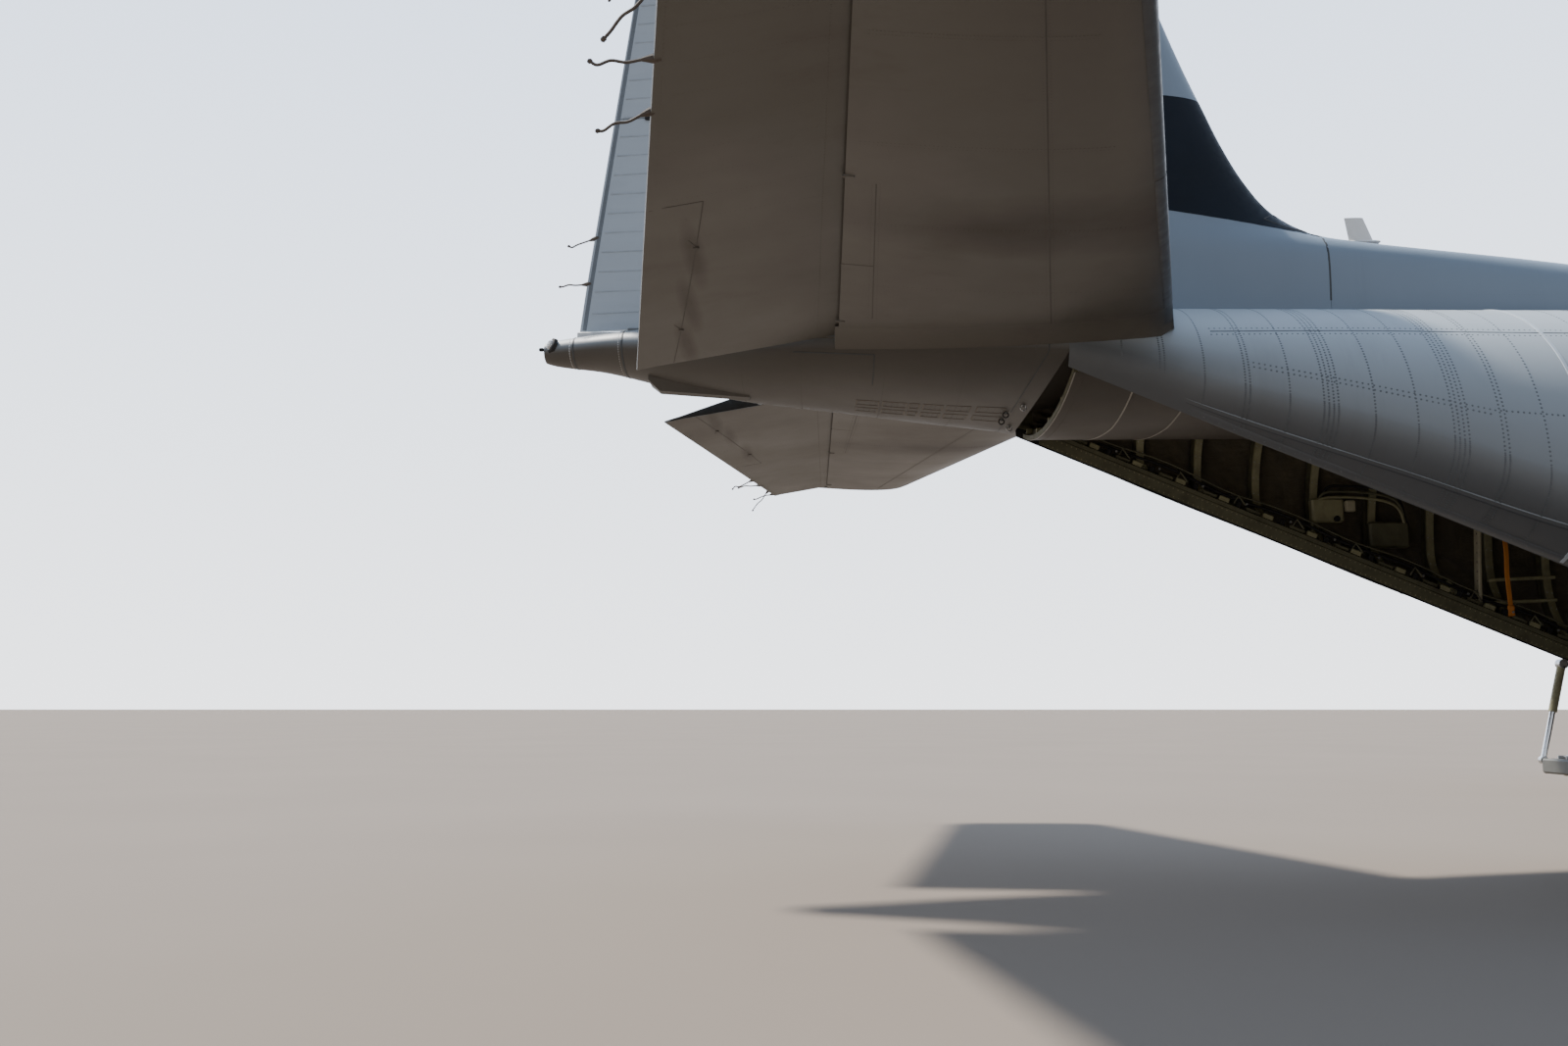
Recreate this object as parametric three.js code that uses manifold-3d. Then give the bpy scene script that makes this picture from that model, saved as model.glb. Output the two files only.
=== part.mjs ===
// Four-engine military transport plane as a 1:2 scale model, standing on its gear.
// The cargo ramp is level, the upper cargo door is raised and the elevators droop.
// X points to the nose, Y to the port side and Z up. The origin is on the ground under the middle.
import * as THREE from 'three';
import { mergeVertices } from 'three/addons/utils/BufferGeometryUtils.js';
import Module from 'manifold-3d';

const wasm = await Module();
wasm.setup();

// Every size below is the real plane's, in metres. MM turns it into the model's millimetres.
const MODEL_SCALE = 0.5;
const MM = 1000 * MODEL_SCALE;

// Gaps: SEAT between pieces that rest on each other, RUN around pieces that move
const SEAT = 0.0006;
const RUN = 0.024;
const PIN_END_GAP = 0.0019;

// Overall
const NOSE_X = 14.895;
const TAIL_X = -14.895;

// Cargo opening and the floor line
const SILL_HALF_WIDTH = 1.52;
const FLOOR_Z = 1.03;
const RAMP_HINGE_X = -1.46;
const DOOR_AFT_X = -10.08;
const SILL_START_Z = 0.74;
const SILL_SLOPE = 0.4235;
const sillZ = (x) => SILL_START_Z + SILL_SLOPE * (RAMP_HINGE_X - x);

// Fuselage
const HULL_RADIUS = 2.16;
const CROWN_Z = 5.2;
const HULL_MID_Z = CROWN_Z - HULL_RADIUS;
const BELLY_Z = 0.66;
const WALL = 0.09;
const RADOME_X = 13.75;
const NOSE_JOINT_X = 8.5;
const HULL_POINTS = 28;
const HULL_SEAT = 0.0016;

// Wing
const WING_LE_X = 5.14;
const WING_ROOT_CHORD = 4.88;
const WING_TIP_CHORD = 2.48;
const WING_KINK_Y = 5.59;
const WING_TIP_Y = 20.205;
const WING_ROOT_Z = 4.4;
const DIHEDRAL = Math.tan(THREE.MathUtils.degToRad(2.5));

// Tail
const STAB_HALF_SPAN = 8.025;
const ELEVATOR_HINGE_X = -12.075;
const STAB_Z = 4.93;
const ELEVATOR_INNER_Y = 1.12;
const ELEVATOR_DROOP = THREE.MathUtils.degToRad(16.5);
const TAIL_TOP_Z = 11.84;

// Landing gear
const MAIN_WHEEL_XS = [3.87, 2.35];
const MAIN_WHEEL_Y = 2.175;
const MAIN_TYRE_RADIUS = 0.71;
const MAIN_TYRE_WIDTH = 0.5;
const MAIN_LEG_Y = 1.76;
const WELL_INNER_Y = 1.6;
const WELL_OUTER_Y = 2.5;
const WELL_TOP_Z = 1.5;
const NOSE_WHEEL_X = 12.9;
const NOSE_WHEEL_Y = 0.26;
const NOSE_TYRE_RADIUS = 0.495;
const NOSE_TYRE_WIDTH = 0.33;
const NOSE_WELL = { x0: 12.2, x1: 13.58, halfWidth: 0.56, top: 1.45 };

// Propellers
const ENGINE_YS = [4.953, 10.16];
const HUB_Z = 3.84;
const PROP_X = 7.86;
const PROP_RADIUS = 2.055;
const BLADES = 6;
const SHAFT_RADIUS = 0.14;
const ENGINE_RADIUS = 0.36;

// Solids and meshes

function geometryFrom(points, faces) {
  const geometry = new THREE.BufferGeometry();
  geometry.setAttribute('position', new THREE.Float32BufferAttribute(points.flatMap((p) => [p.x * MM, p.y * MM, p.z * MM]), 3));
  geometry.setIndex(faces.flat());
  return geometry;
}

function signedVolume(geometry) {
  const position = geometry.getAttribute('position');
  const index = geometry.getIndex();
  const [a, b, c] = [new THREE.Vector3(), new THREE.Vector3(), new THREE.Vector3()];
  let total = 0;
  for (let i = 0; i < index.count; i += 3) {
    a.fromBufferAttribute(position, index.getX(i));
    b.fromBufferAttribute(position, index.getX(i + 1));
    c.fromBufferAttribute(position, index.getX(i + 2));
    total += a.dot(b.cross(c));
  }
  return total;
}

function solidFrom(geometry) {
  const bare = geometry.clone();
  for (const name of Object.keys(bare.attributes)) {
    if (name !== 'position') bare.deleteAttribute(name);
  }
  const merged = mergeVertices(bare, 0.0005);
  const index = Uint32Array.from(merged.getIndex().array);
  if (signedVolume(merged) < 0) index.reverse();
  const positions = Float32Array.from(merged.getAttribute('position').array);
  return new wasm.Manifold(new wasm.Mesh({ numProp: 3, vertProperties: positions, triVerts: index }));
}

function geometryOf(solid) {
  const mesh = solid.getMesh();
  const geometry = new THREE.BufferGeometry();
  geometry.setAttribute('position', new THREE.BufferAttribute(Float32Array.from(mesh.vertProperties), 3));
  geometry.setIndex(new THREE.BufferAttribute(Uint32Array.from(mesh.triVerts), 1));
  const flat = geometry.toNonIndexed();
  flat.computeVertexNormals();
  return flat;
}

// A closed solid through rings with the same number of points, with a fan at each end
function loft(rings) {
  const count = rings[0].length;
  const points = rings.flat();
  const faces = [];
  for (let r = 0; r + 1 < rings.length; r += 1) {
    for (let i = 0; i < count; i += 1) {
      const j = (i + 1) % count;
      const [a, b, c, d] = [r * count + i, r * count + j, (r + 1) * count + j, (r + 1) * count + i];
      faces.push([a, b, c], [a, c, d]);
    }
  }
  for (const [ring, flip] of [[0, true], [rings.length - 1, false]]) {
    const centre = new THREE.Vector3();
    for (const p of rings[ring]) centre.addScaledVector(p, 1 / count);
    points.push(centre);
    for (let i = 0; i < count; i += 1) {
      const [a, b] = [ring * count + i, ring * count + ((i + 1) % count)];
      faces.push(flip ? [b, a, points.length - 1] : [a, b, points.length - 1]);
    }
  }
  return solidFrom(geometryFrom(points, faces));
}

function box(x0, x1, y0, y1, z0, z1) {
  const geometry = new THREE.BoxGeometry((x1 - x0) * MM, (y1 - y0) * MM, (z1 - z0) * MM);
  geometry.translate(((x0 + x1) / 2) * MM, ((y0 + y1) / 2) * MM, ((z0 + z1) / 2) * MM);
  return solidFrom(geometry);
}

// A prism from a flat outline of any shape: place turns an outline point and a depth into a point in space
function prism(outline, depths, place) {
  const count = outline.length;
  const points = depths.flatMap((depth) => outline.map((p) => place(p, depth)));
  const ends = THREE.ShapeUtils.triangulateShape(outline.map((p) => new THREE.Vector2(...p)), []);
  const clockwise = THREE.ShapeUtils.isClockWise(outline.map((p) => new THREE.Vector2(...p)));
  const faces = [];
  for (const [a, b, c] of ends) faces.push([c, b, a], [a + count, b + count, c + count]);
  for (let i = 0; i < count; i += 1) {
    const j = (i + 1) % count;
    const quad = [[i, j, j + count], [i, j + count, i + count]];
    faces.push(...(clockwise ? quad.map(([a, b, c]) => [c, b, a]) : quad));
  }
  return solidFrom(geometryFrom(points, faces));
}

// A prism across the plane from a side-view outline of [x, z] points
const sidePrism = (outline, y0, y1) => prism(outline, [y0, y1], ([x, z], y) => new THREE.Vector3(x, y, z));

// A prism along the plane from a front-view outline of [y, z] points
const frontPrism = (outline, x0, x1) => prism(outline, [x0, x1], ([y, z], x) => new THREE.Vector3(x, y, z));

// A round bar between two points, with a radius at each end
function bar(from, to, radiusFrom, radiusTo = radiusFrom, sides = 8) {
  const [start, end] = [new THREE.Vector3(...from), new THREE.Vector3(...to)];
  const along = end.clone().sub(start).normalize();
  const side = new THREE.Vector3(Math.abs(along.z) > 0.9 ? 1 : 0, 0, Math.abs(along.z) > 0.9 ? 0 : 1);
  const u = side.cross(along).normalize();
  const v = along.clone().cross(u);
  const ring = (centre, radius) => Array.from({ length: sides }, (_, i) => {
    const angle = (i / sides) * 2 * Math.PI;
    return centre.clone().addScaledVector(u, radius * Math.cos(angle)).addScaledVector(v, radius * Math.sin(angle));
  });
  return loft([ring(start, radiusFrom), ring(end, radiusTo)]);
}

// A turned piece about a line along Y, from a closed profile of [radius, y] points
function turnedAboutY(profile, x, y, z, segments) {
  const outline = [...profile, profile[0]].map(([radius, along]) => new THREE.Vector2(radius * MM, along * MM));
  const geometry = new THREE.LatheGeometry(outline, segments);
  geometry.translate(x * MM, y * MM, z * MM);
  return solidFrom(geometry);
}

const union = (pieces) => pieces.reduce((whole, piece) => whole.add(piece));

function mirrored(solid) {
  return solidFrom(geometryOf(solid).scale(1, -1, 1));
}

// Fuselage

function superellipseRing(x, y, mid, halfWidth, up, down, upPower, downPower, count) {
  return Array.from({ length: count }, (_, i) => {
    const angle = (i / count) * 2 * Math.PI;
    const [c, s] = [Math.cos(angle), Math.sin(angle)];
    const power = s >= 0 ? upPower : downPower;
    const across = halfWidth * Math.sign(c) * Math.abs(c) ** (2 / power);
    const height = (s >= 0 ? up : down) * Math.sign(s) * Math.abs(s) ** (2 / power);
    return new THREE.Vector3(x, y + across, mid + height);
  });
}

// Bottom height of the rear fuselage where its skin has to pass through the sill line
function bottomFromSill(x, mid, halfWidth, power) {
  const share = (1 - (SILL_HALF_WIDTH / halfWidth) ** power) ** (1 / power);
  return mid - (mid - sillZ(x)) / share;
}

// Columns: x, top z, z of the widest point, bottom z, half width, power of the lower half
const REAR_ROWS = [
  [-2.6, 3.04, 2.16, 3.2],
  [-4.0, 3.04, 2.16, 2.7],
  [-6.0, 3.3, 2.144, 2.2],
  [-7.5, 3.8, 2.022, 2.1],
  [-9.0, 4.25, 1.789, 2.2],
].map(([x, mid, halfWidth, power]) => [x, CROWN_Z, mid, bottomFromSill(x, mid, halfWidth, power), halfWidth, power]);
const HULL = [
  [14.895, 2.34, 2.26, 2.18, 0.07, 2],
  [14.8, 2.58, 2.24, 1.9, 0.36, 2],
  [14.6, 2.8, 2.22, 1.64, 0.6, 2],
  [14.25, 3.02, 2.2, 1.38, 0.85, 2.1],
  [RADOME_X, 3.2, 2.2, 1.16, 1.08, 2.2],
  [13.35, 3.34, 2.24, 1.02, 1.24, 2.3],
  [12.95, 3.78, 2.34, 0.92, 1.42, 2.4],
  [12.6, 4.14, 2.44, 0.85, 1.58, 2.5],
  [12.0, 4.5, 2.62, 0.76, 1.8, 2.7],
  [11.2, 4.82, 2.82, 0.7, 2.0, 3.0],
  [10.4, 5.06, 2.96, 0.67, 2.12, 3.3],
  [9.6, 5.18, 3.03, BELLY_Z, 2.158, 3.5],
  [NOSE_JOINT_X, CROWN_Z, HULL_MID_Z, BELLY_Z, HULL_RADIUS, 3.5],
  [RAMP_HINGE_X, CROWN_Z, HULL_MID_Z, BELLY_Z, HULL_RADIUS, 3.5],
  ...REAR_ROWS,
  [DOOR_AFT_X, CROWN_Z, 4.58, 4.265, 1.6, 2.4],
  [-11.1, 5.19, 4.68, 4.34, 1.34, 2.3],
  [-12.0, 5.18, 4.76, 4.415, 1.08, 2.2],
  [-12.8, 5.17, 4.82, 4.48, 0.84, 2.1],
  [-13.65, 5.14, 4.87, 4.62, 0.58, 2],
  [-14.3, 5.09, 4.92, 4.76, 0.34, 2],
  [-14.74, 5.04, 4.92, 4.81, 0.18, 2],
  [TAIL_X, 5.0, 4.93, 4.86, 0.1, 2],
];

function hullRing([x, top, mid, bottom, halfWidth, power], grow) {
  return superellipseRing(x, 0, mid, halfWidth + grow, top - mid + grow, mid - bottom + grow, 2, power, HULL_POINTS);
}

// The whole hull, grown or shrunk, made once for each value
const hulls = new Map();
function wholeHull(grow) {
  const smallest = 0.05;
  if (!hulls.has(grow)) {
    hulls.set(grow, loft(HULL.filter((row) => row[4] + grow > smallest).map((row) => hullRing(row, grow))));
  }
  return hulls.get(grow);
}

const slab = (x0, x1) => box(x0, x1, -4, 4, -1, 13);
const hullBetween = (x0, x1, grow = 0) => wholeHull(grow).intersect(slab(x0, x1));
const shell = (x0, x1, wall = WALL) => hullBetween(x0, x1).subtract(wholeHull(-wall));

// Wings and tail surfaces

// Half thickness of the section at a share of the chord, for a thickness ratio of 1
function foilHalf(share) {
  const s = Math.min(Math.max(share, 0), 1);
  return 5 * (0.2969 * Math.sqrt(s) - 0.126 * s - 0.3516 * s ** 2 + 0.2843 * s ** 3 - 0.1036 * s ** 4);
}

// Shares of the chord where the section has a point, from the trailing edge over the top to the nose
const FOIL_SHARES = [1, 0.85, 0.7, 0.5, 0.35, 0.22, 0.12, 0.05, 0.015];

// Section points as [distance aft of the leading edge, height above the chord line]
function foilSection(chord, ratio, grow) {
  const half = (share) => foilHalf(share) * ratio * chord + grow + (share === 1 ? 0.006 : 0);
  const aft = (share) => share * chord + (share === 1 ? grow : 0);
  const upper = FOIL_SHARES.map((share) => [aft(share), half(share)]);
  const lower = FOIL_SHARES.map((share) => [aft(share), -half(share)]).reverse();
  return [...upper, [-grow, 0], ...lower];
}

// Columns: y, leading edge x, chord, height of the chord line, thickness ratio, nose-up angle in degrees
function wingRow(y) {
  const t = THREE.MathUtils.clamp((Math.abs(y) - WING_KINK_Y) / (WING_TIP_Y - WING_KINK_Y), 0, 1);
  const chord = THREE.MathUtils.lerp(WING_ROOT_CHORD, WING_TIP_CHORD, t);
  const leadingX = WING_LE_X - (WING_ROOT_CHORD - chord) / 4;
  const span = Math.abs(y) / WING_TIP_Y;
  return { y, leadingX, chord, z: WING_ROOT_Z + DIHEDRAL * Math.abs(y), ratio: 0.18 - 0.06 * span, twist: 3 * (1 - span) };
}

const STAB_ROOT = { leadingX: -8.77, chord: 5.25, ratio: 0.088 };
const STAB_TIP = { leadingX: -10.94, chord: 1.88, ratio: 0.085 };
function stabRow(y) {
  const t = Math.abs(y) / STAB_HALF_SPAN;
  const mix = (key) => THREE.MathUtils.lerp(STAB_ROOT[key], STAB_TIP[key], t);
  const [leadingX, chord, ratio] = ['leadingX', 'chord', 'ratio'].map(mix);
  const twist = -2;
  const toHinge = leadingX - ELEVATOR_HINGE_X;
  return { y, leadingX, chord, z: STAB_Z + toHinge * Math.sin(THREE.MathUtils.degToRad(twist)), ratio, twist };
}

// A point of a section: aft of the leading edge, above the chord line
function onSection(row, aft, up) {
  const angle = THREE.MathUtils.degToRad(row.twist);
  const x = row.leadingX - aft * Math.cos(angle) + up * Math.sin(angle);
  const z = row.z - aft * Math.sin(angle) + up * Math.cos(angle);
  return new THREE.Vector3(x, row.y, z);
}

// The hollow inside a surface: it stops short of the nose and of the share where hinged pieces start
const SKIN = 0.04;
function hollowLoft(rows, place, aftShare) {
  const shares = [aftShare, 0.35, 0.18, 0.06];
  const ring = (row) => {
    const side = (share) => Math.max(foilHalf(share) * row.ratio * row.chord - SKIN, 0.01);
    const upper = shares.map((share) => [share * row.chord, side(share)]);
    const lower = shares.map((share) => [share * row.chord, -side(share)]).reverse();
    return [...upper, ...lower].map(([aft, up]) => place(row, aft, up));
  };
  return loft(rows.map(ring));
}

function foilLoft(rows, grow = 0) {
  return loft(rows.map((row) => foilSection(row.chord, row.ratio, grow).map(([aft, up]) => onSection(row, aft, up))));
}

// A pin at each end of a hinge line, long enough to reach its seat across the running gap
function endPins(inner, outer) {
  const along = outer.clone().sub(inner).normalize().multiplyScalar(RUN - PIN_END_GAP);
  const root = along.clone().multiplyScalar(4);
  const pin = (from, step) => {
    const start = from.clone().addScaledVector(root, -step);
    return bar(start.toArray(), from.clone().addScaledVector(along, step).toArray(), 0.02, 0.02, 8);
  };
  return pin(inner, -1).add(pin(outer, 1));
}

// A hinged surface behind hingeShare of the chord, and the space that it needs in the fixed surface
function hingedSurface(rowAt, y0, y1, hingeShare, chordAft = null) {
  const sections = [y0, y1].map((y) => {
    const row = rowAt(y);
    const hinge = typeof hingeShare === 'function' ? hingeShare(row) : hingeShare * row.chord;
    const radius = foilHalf(hinge / row.chord) * row.ratio * row.chord * 0.94;
    return { row, hinge, radius, length: (chordAft ? chordAft(row) : row.chord) - hinge };
  });
  const arc = (from, to, steps) => Array.from({ length: steps + 1 }, (_, i) => from + ((to - from) * i) / steps);
  const round = ({ row, hinge, radius }, grow, spread) => arc(spread, -spread, 8).map((degrees) => {
    const angle = THREE.MathUtils.degToRad(degrees);
    return onSection(row, hinge - (radius + grow) * Math.cos(angle), (radius + grow) * Math.sin(angle));
  });
  const surfaceRing = (section) => {
    const { row, hinge, length } = section;
    const edge = 0.008;
    return [...round(section, 0, 88), onSection(row, hinge + length, -edge), onSection(row, hinge + length, edge)];
  };
  const cutterRing = (section, y) => {
    const { row, hinge, length, radius } = section;
    const moved = { ...section, row: { ...row, y } };
    const tall = radius + 0.3;
    const corners = [[hinge + 0.02, -tall], [hinge + length + 0.3, -tall], [hinge + length + 0.3, tall], [hinge + 0.02, tall]];
    return [...round(moved, RUN, 72), ...corners.map(([aft, up]) => onSection(moved.row, aft, up))];
  };
  const [inner, outer] = sections.map(({ row, hinge }) => onSection(row, hinge, 0));
  return {
    surface: loft(sections.map(surfaceRing)).add(endPins(inner, outer)),
    cutter: loft([cutterRing(sections[0], y0 - RUN), cutterRing(sections[1], y1 + RUN)]),
  };
}

// Model

const plane = new THREE.Group();

// Columns: colour, roughness, metalness
const FINISHES = {
  grey_paint: [0x8d979c, 0.55, 0.1],
  dark_paint: [0x23262b, 0.6, 0.1],
  interior: [0x4b4a3a, 0.8, 0],
  steel: [0xb9bcc0, 0.35, 0.8],
  tyre: [0x1d1d1f, 0.9, 0],
  glass: [0x223038, 0.1, 0],
  prop: [0x2b2d30, 0.5, 0.2],
};

function add(name, solid, finish) {
  const [color, roughness, metalness] = FINISHES[finish];
  const mesh = new THREE.Mesh(geometryOf(solid), new THREE.MeshStandardMaterial({ color, roughness, metalness }));
  mesh.name = name;
  plane.add(mesh);
}

// Wing, with its flaps and ailerons

const wingRows = (ys) => ys.map(wingRow);
const wingGrown = foilLoft(wingRows([-WING_KINK_Y, 0, WING_KINK_Y]), SEAT);
const wingOuterRows = [wingRow(WING_KINK_Y + SEAT), { ...wingRow(WING_TIP_Y - 0.3), ratio: 0.115 }];
const FLAP_HINGE = 0.72;
const AILERON_HINGE = 0.73;
// Columns: name, inner y, outer y, hinge share
const WING_SURFACES = [
  ['flap_inner', 2.42, 5.5, FLAP_HINGE],
  ['flap_outer', 5.68, 13.5, FLAP_HINGE],
  ['aileron', 13.62, 19.4, AILERON_HINGE],
];
const surfaces = Object.fromEntries(WING_SURFACES.map(([name, y0, y1, share]) => [name, hingedSurface(wingRow, y0, y1, share)]));

function buildWing() {
  const centre = foilLoft(wingRows([-WING_KINK_Y + SEAT, 0, WING_KINK_Y - SEAT]));
  const innerCut = surfaces.flap_inner.cutter;
  const centreHollow = hollowLoft(wingRows([-WING_KINK_Y - 0.1, 0, WING_KINK_Y + 0.1]), onSection, 0.6);
  const cutCentre = centre.subtract(innerCut).subtract(mirrored(innerCut)).subtract(centreHollow);
  add('wing_centre', cutCentre, 'grey_paint');
  const tipRow = wingRow(WING_TIP_Y);
  const tipCap = { ...tipRow, leadingX: tipRow.leadingX - 0.35, chord: tipRow.chord - 0.5, ratio: 0.04 };
  const outer = foilLoft([...wingOuterRows, tipCap])
    .subtract(hollowLoft(wingRows([WING_KINK_Y - 0.1, WING_TIP_Y - 0.6]), onSection, 0.6))
    .subtract(surfaces.flap_outer.cutter)
    .subtract(surfaces.aileron.cutter);
  add('wing_left', outer, 'grey_paint');
  add('wing_right', mirrored(outer), 'grey_paint');
  for (const [name, { surface }] of Object.entries(surfaces)) {
    add(`${name}_left`, surface, 'grey_paint');
    add(`${name}_right`, mirrored(surface), 'grey_paint');
  }
}

// Engines and propellers

// Columns: x, centre height above the hub, half width, half height, power
const NACELLE = [
  [7.62, 0, 0.42, 0.42, 2],
  [7.45, -0.06, 0.5, 0.56, 2.1],
  [6.9, -0.14, 0.56, 0.72, 2.4],
  [6.0, -0.12, 0.58, 0.76, 2.6],
  [4.6, -0.04, 0.58, 0.72, 2.6],
  [3.2, 0.04, 0.5, 0.56, 2.4],
  [2.5, 0.1, 0.4, 0.4, 2.2],
  [2.08, 0.17, 0.28, 0.26, 2],
];

const hubZ = (y) => HUB_Z + DIHEDRAL * (Math.abs(y) - ENGINE_YS[0]);

function buildNacelle(y) {
  const rings = NACELLE.map(([x, rise, halfWidth, half, power]) => (
    superellipseRing(x, y, hubZ(y) + rise, halfWidth, half, half, power, power, 16)
  ));
  const wing = Math.abs(y) < WING_KINK_Y ? wingGrown : foilLoft(wingOuterRows, SEAT);
  const hollow = loft(NACELLE.slice(1, -1).map(([x, rise, halfWidth, half, power]) => (
    superellipseRing(x, y, hubZ(y) + rise, halfWidth - SKIN, half - SKIN, half - SKIN, power, power, 16)
  )));
  const intake = bar([7.7, y, hubZ(y) - 0.42], [7.1, y, hubZ(y) - 0.42], 0.13);
  const shaftHole = bar([7.7, y, hubZ(y)], [7.1, y, hubZ(y)], SHAFT_RADIUS + HULL_SEAT);
  return loft(rings).subtract(hollow).subtract(wing).subtract(intake).subtract(shaftHole);
}

// The engine is one plain block with the shaft that carries the propeller
function buildEngine(y) {
  const block = bar([7.38, y, hubZ(y)], [4.6, y, hubZ(y)], ENGINE_RADIUS, ENGINE_RADIUS, 16);
  return block.add(bar([PROP_X - 0.2 - SEAT, y, hubZ(y)], [7.2, y, hubZ(y)], SHAFT_RADIUS));
}

// Columns: radius, chord, thickness, twist from the disc's plane in degrees, sweep back along the disc
const BLADE = [
  [0.26, 0.2, 0.16, 68, 0],
  [0.55, 0.3, 0.1, 58, -0.03],
  [1.0, 0.42, 0.06, 44, -0.05],
  [1.65, 0.42, 0.03, 32, 0.03],
  [PROP_RADIUS, 0.16, 0.014, 26, 0.2],
];

function buildBlade(angle, centre) {
  const rings = BLADE.map(([radius, chord, thick, twistDegrees, sweep]) => {
    const twist = THREE.MathUtils.degToRad(twistDegrees);
    const outline = [[0.5, 0], [0.2, 0.5], [-0.3, 0.4], [-0.5, 0], [-0.3, -0.2], [0.2, -0.3]];
    return outline.map(([along, up]) => {
      const [a, b] = [along * chord, up * thick];
      const [disc, ahead] = [a * Math.cos(twist) - b * Math.sin(twist) - sweep, a * Math.sin(twist) + b * Math.cos(twist)];
      const point = new THREE.Vector3(ahead, disc, radius);
      return point.applyAxisAngle(new THREE.Vector3(1, 0, 0), angle).add(centre);
    });
  });
  return loft(rings);
}

// Columns: x ahead of the disc, radius
const SPINNER = [[-0.2, 0.39], [0.12, 0.37], [0.4, 0.29], [0.62, 0.18], [0.76, 0.05]];

function buildPropeller(y) {
  const centre = new THREE.Vector3(PROP_X, y, hubZ(y));
  const spinner = loft(SPINNER.map(([ahead, radius]) => (
    superellipseRing(PROP_X + ahead, y, hubZ(y), radius, radius, radius, 2, 2, 12)
  )));
  const blades = Array.from({ length: BLADES }, (_, i) => buildBlade((i / BLADES) * 2 * Math.PI, centre));
  return union([spinner, ...blades]);
}

function buildEngines() {
  for (const [name, y] of [['inner', ENGINE_YS[0]], ['outer', ENGINE_YS[1]]]) {
    const nacelle = buildNacelle(y);
    add(`nacelle_${name}_left`, nacelle, 'grey_paint');
    add(`nacelle_${name}_right`, name === 'inner' ? buildNacelle(-y) : mirrored(nacelle), 'grey_paint');
    add(`engine_${name}_left`, buildEngine(y), 'steel');
    add(`engine_${name}_right`, buildEngine(-y), 'steel');
    add(`propeller_${name}_left`, buildPropeller(y), 'prop');
    add(`propeller_${name}_right`, buildPropeller(-y), 'prop');
  }
}

// Stabiliser and elevators

const STAB_SHOULDER_Y = STAB_HALF_SPAN - 0.35;
const stabGrown = foilLoft([-STAB_SHOULDER_Y, 0, STAB_SHOULDER_Y].map(stabRow), SEAT);
const toElevatorHinge = (row) => row.leadingX - ELEVATOR_HINGE_X;
const elevatorChord = (row) => toElevatorHinge(row) + THREE.MathUtils.mapLinear(row.y, 1.1, 8, 1.78, 0.75);
const elevator = hingedSurface(stabRow, ELEVATOR_INNER_Y, 7.75, toElevatorHinge, elevatorChord);

// Turns a solid about a line along Y through (x, z)
function turnedDown(solid, x, z, angle) {
  const geometry = geometryOf(solid);
  geometry.translate(-x * MM, 0, -z * MM).rotateY(angle).translate(x * MM, 0, z * MM);
  return solidFrom(geometry);
}

function buildStabiliser() {
  const tip = stabRow(STAB_HALF_SPAN);
  const shoulder = stabRow(STAB_SHOULDER_Y);
  const cap = { ...tip, leadingX: tip.leadingX - 0.4, chord: tip.chord - 0.45, ratio: 0.03 };
  const centreRow = stabRow(0);
  const full = foilLoft([{ ...cap, y: -cap.y }, { ...shoulder, y: -shoulder.y }, centreRow, shoulder, cap]);
  // Behind the hinge only the carry-through under the rudder is left
  const aftCut = box(-15, ELEVATOR_HINGE_X - 0.2, -ELEVATOR_INNER_Y, ELEVATOR_INNER_Y, 4, 6);
  const stabHollow = hollowLoft([-STAB_SHOULDER_Y, 0, STAB_SHOULDER_Y].map(stabRow), onSection, 0.5);
  // The hollow opens downwards inside the tail
  const drain = box(-10.8, -10.6, -0.1, 0.1, STAB_Z - 0.5, STAB_Z);
  const fixed = full.subtract(stabHollow).subtract(drain).subtract(aftCut);
  add('stabiliser', fixed.subtract(elevator.cutter).subtract(mirrored(elevator.cutter)), 'grey_paint');
  const drooped = turnedDown(elevator.surface, ELEVATOR_HINGE_X, STAB_Z, -ELEVATOR_DROOP);
  add('elevator_left', drooped, 'grey_paint');
  add('elevator_right', mirrored(drooped), 'grey_paint');
}

// Fin, dorsal fairing and rudder

// Columns: z, leading edge x, half thickness at the thickest
const FIN_ROWS = [
  [5.0, -0.4, 0.4],
  [5.22, -1.3, 0.39],
  [5.47, -3.1, 0.38],
  [5.72, -4.985, 0.37],
  [6.04, -7.395, 0.36],
  [6.24, -7.765, 0.35],
  [6.56, -8.035, 0.34],
  [6.96, -8.255, 0.33],
  [7.42, -8.455, 0.32],
  [11.3, -10.25, 0.2],
  [11.7, -10.75, 0.15],
  [TAIL_TOP_Z, -11.4, 0.05],
];
const finTrailingX = (z) => -14.515 + 0.144 * (z - 5.08);
const RUDDER = { z0: 5.19, z1: 11.25, hingeX0: -12.95, hingeX1: -12.75 };
const RUDDER_FOOT_DROP = 0.05;
const DORSAL_JOINT_X = -7.4;

function finRow([z, leadingX, half]) {
  const trailing = z > 11.6 ? finTrailingX(11.3) + (z - 11.3) * 0.6 * -1 + 0.35 : finTrailingX(z);
  return { z, leadingX, chord: leadingX - trailing, ratio: (2 * half) / (leadingX - trailing) };
}

const onFin = (row, aft, side) => new THREE.Vector3(row.leadingX - aft, side, row.z);

function finSurface() {
  return loft(FIN_ROWS.map(finRow).map((row) => (
    foilSection(row.chord, row.ratio, 0).map(([aft, side]) => onFin(row, aft, side))
  )));
}

function finRowAt(z) {
  const above = FIN_ROWS.findIndex((row) => row[0] > z);
  const [low, high] = [FIN_ROWS[above - 1], FIN_ROWS[above]];
  const t = (z - low[0]) / (high[0] - low[0]);
  return finRow(low.map((value, i) => THREE.MathUtils.lerp(value, high[i], t)));
}

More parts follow.
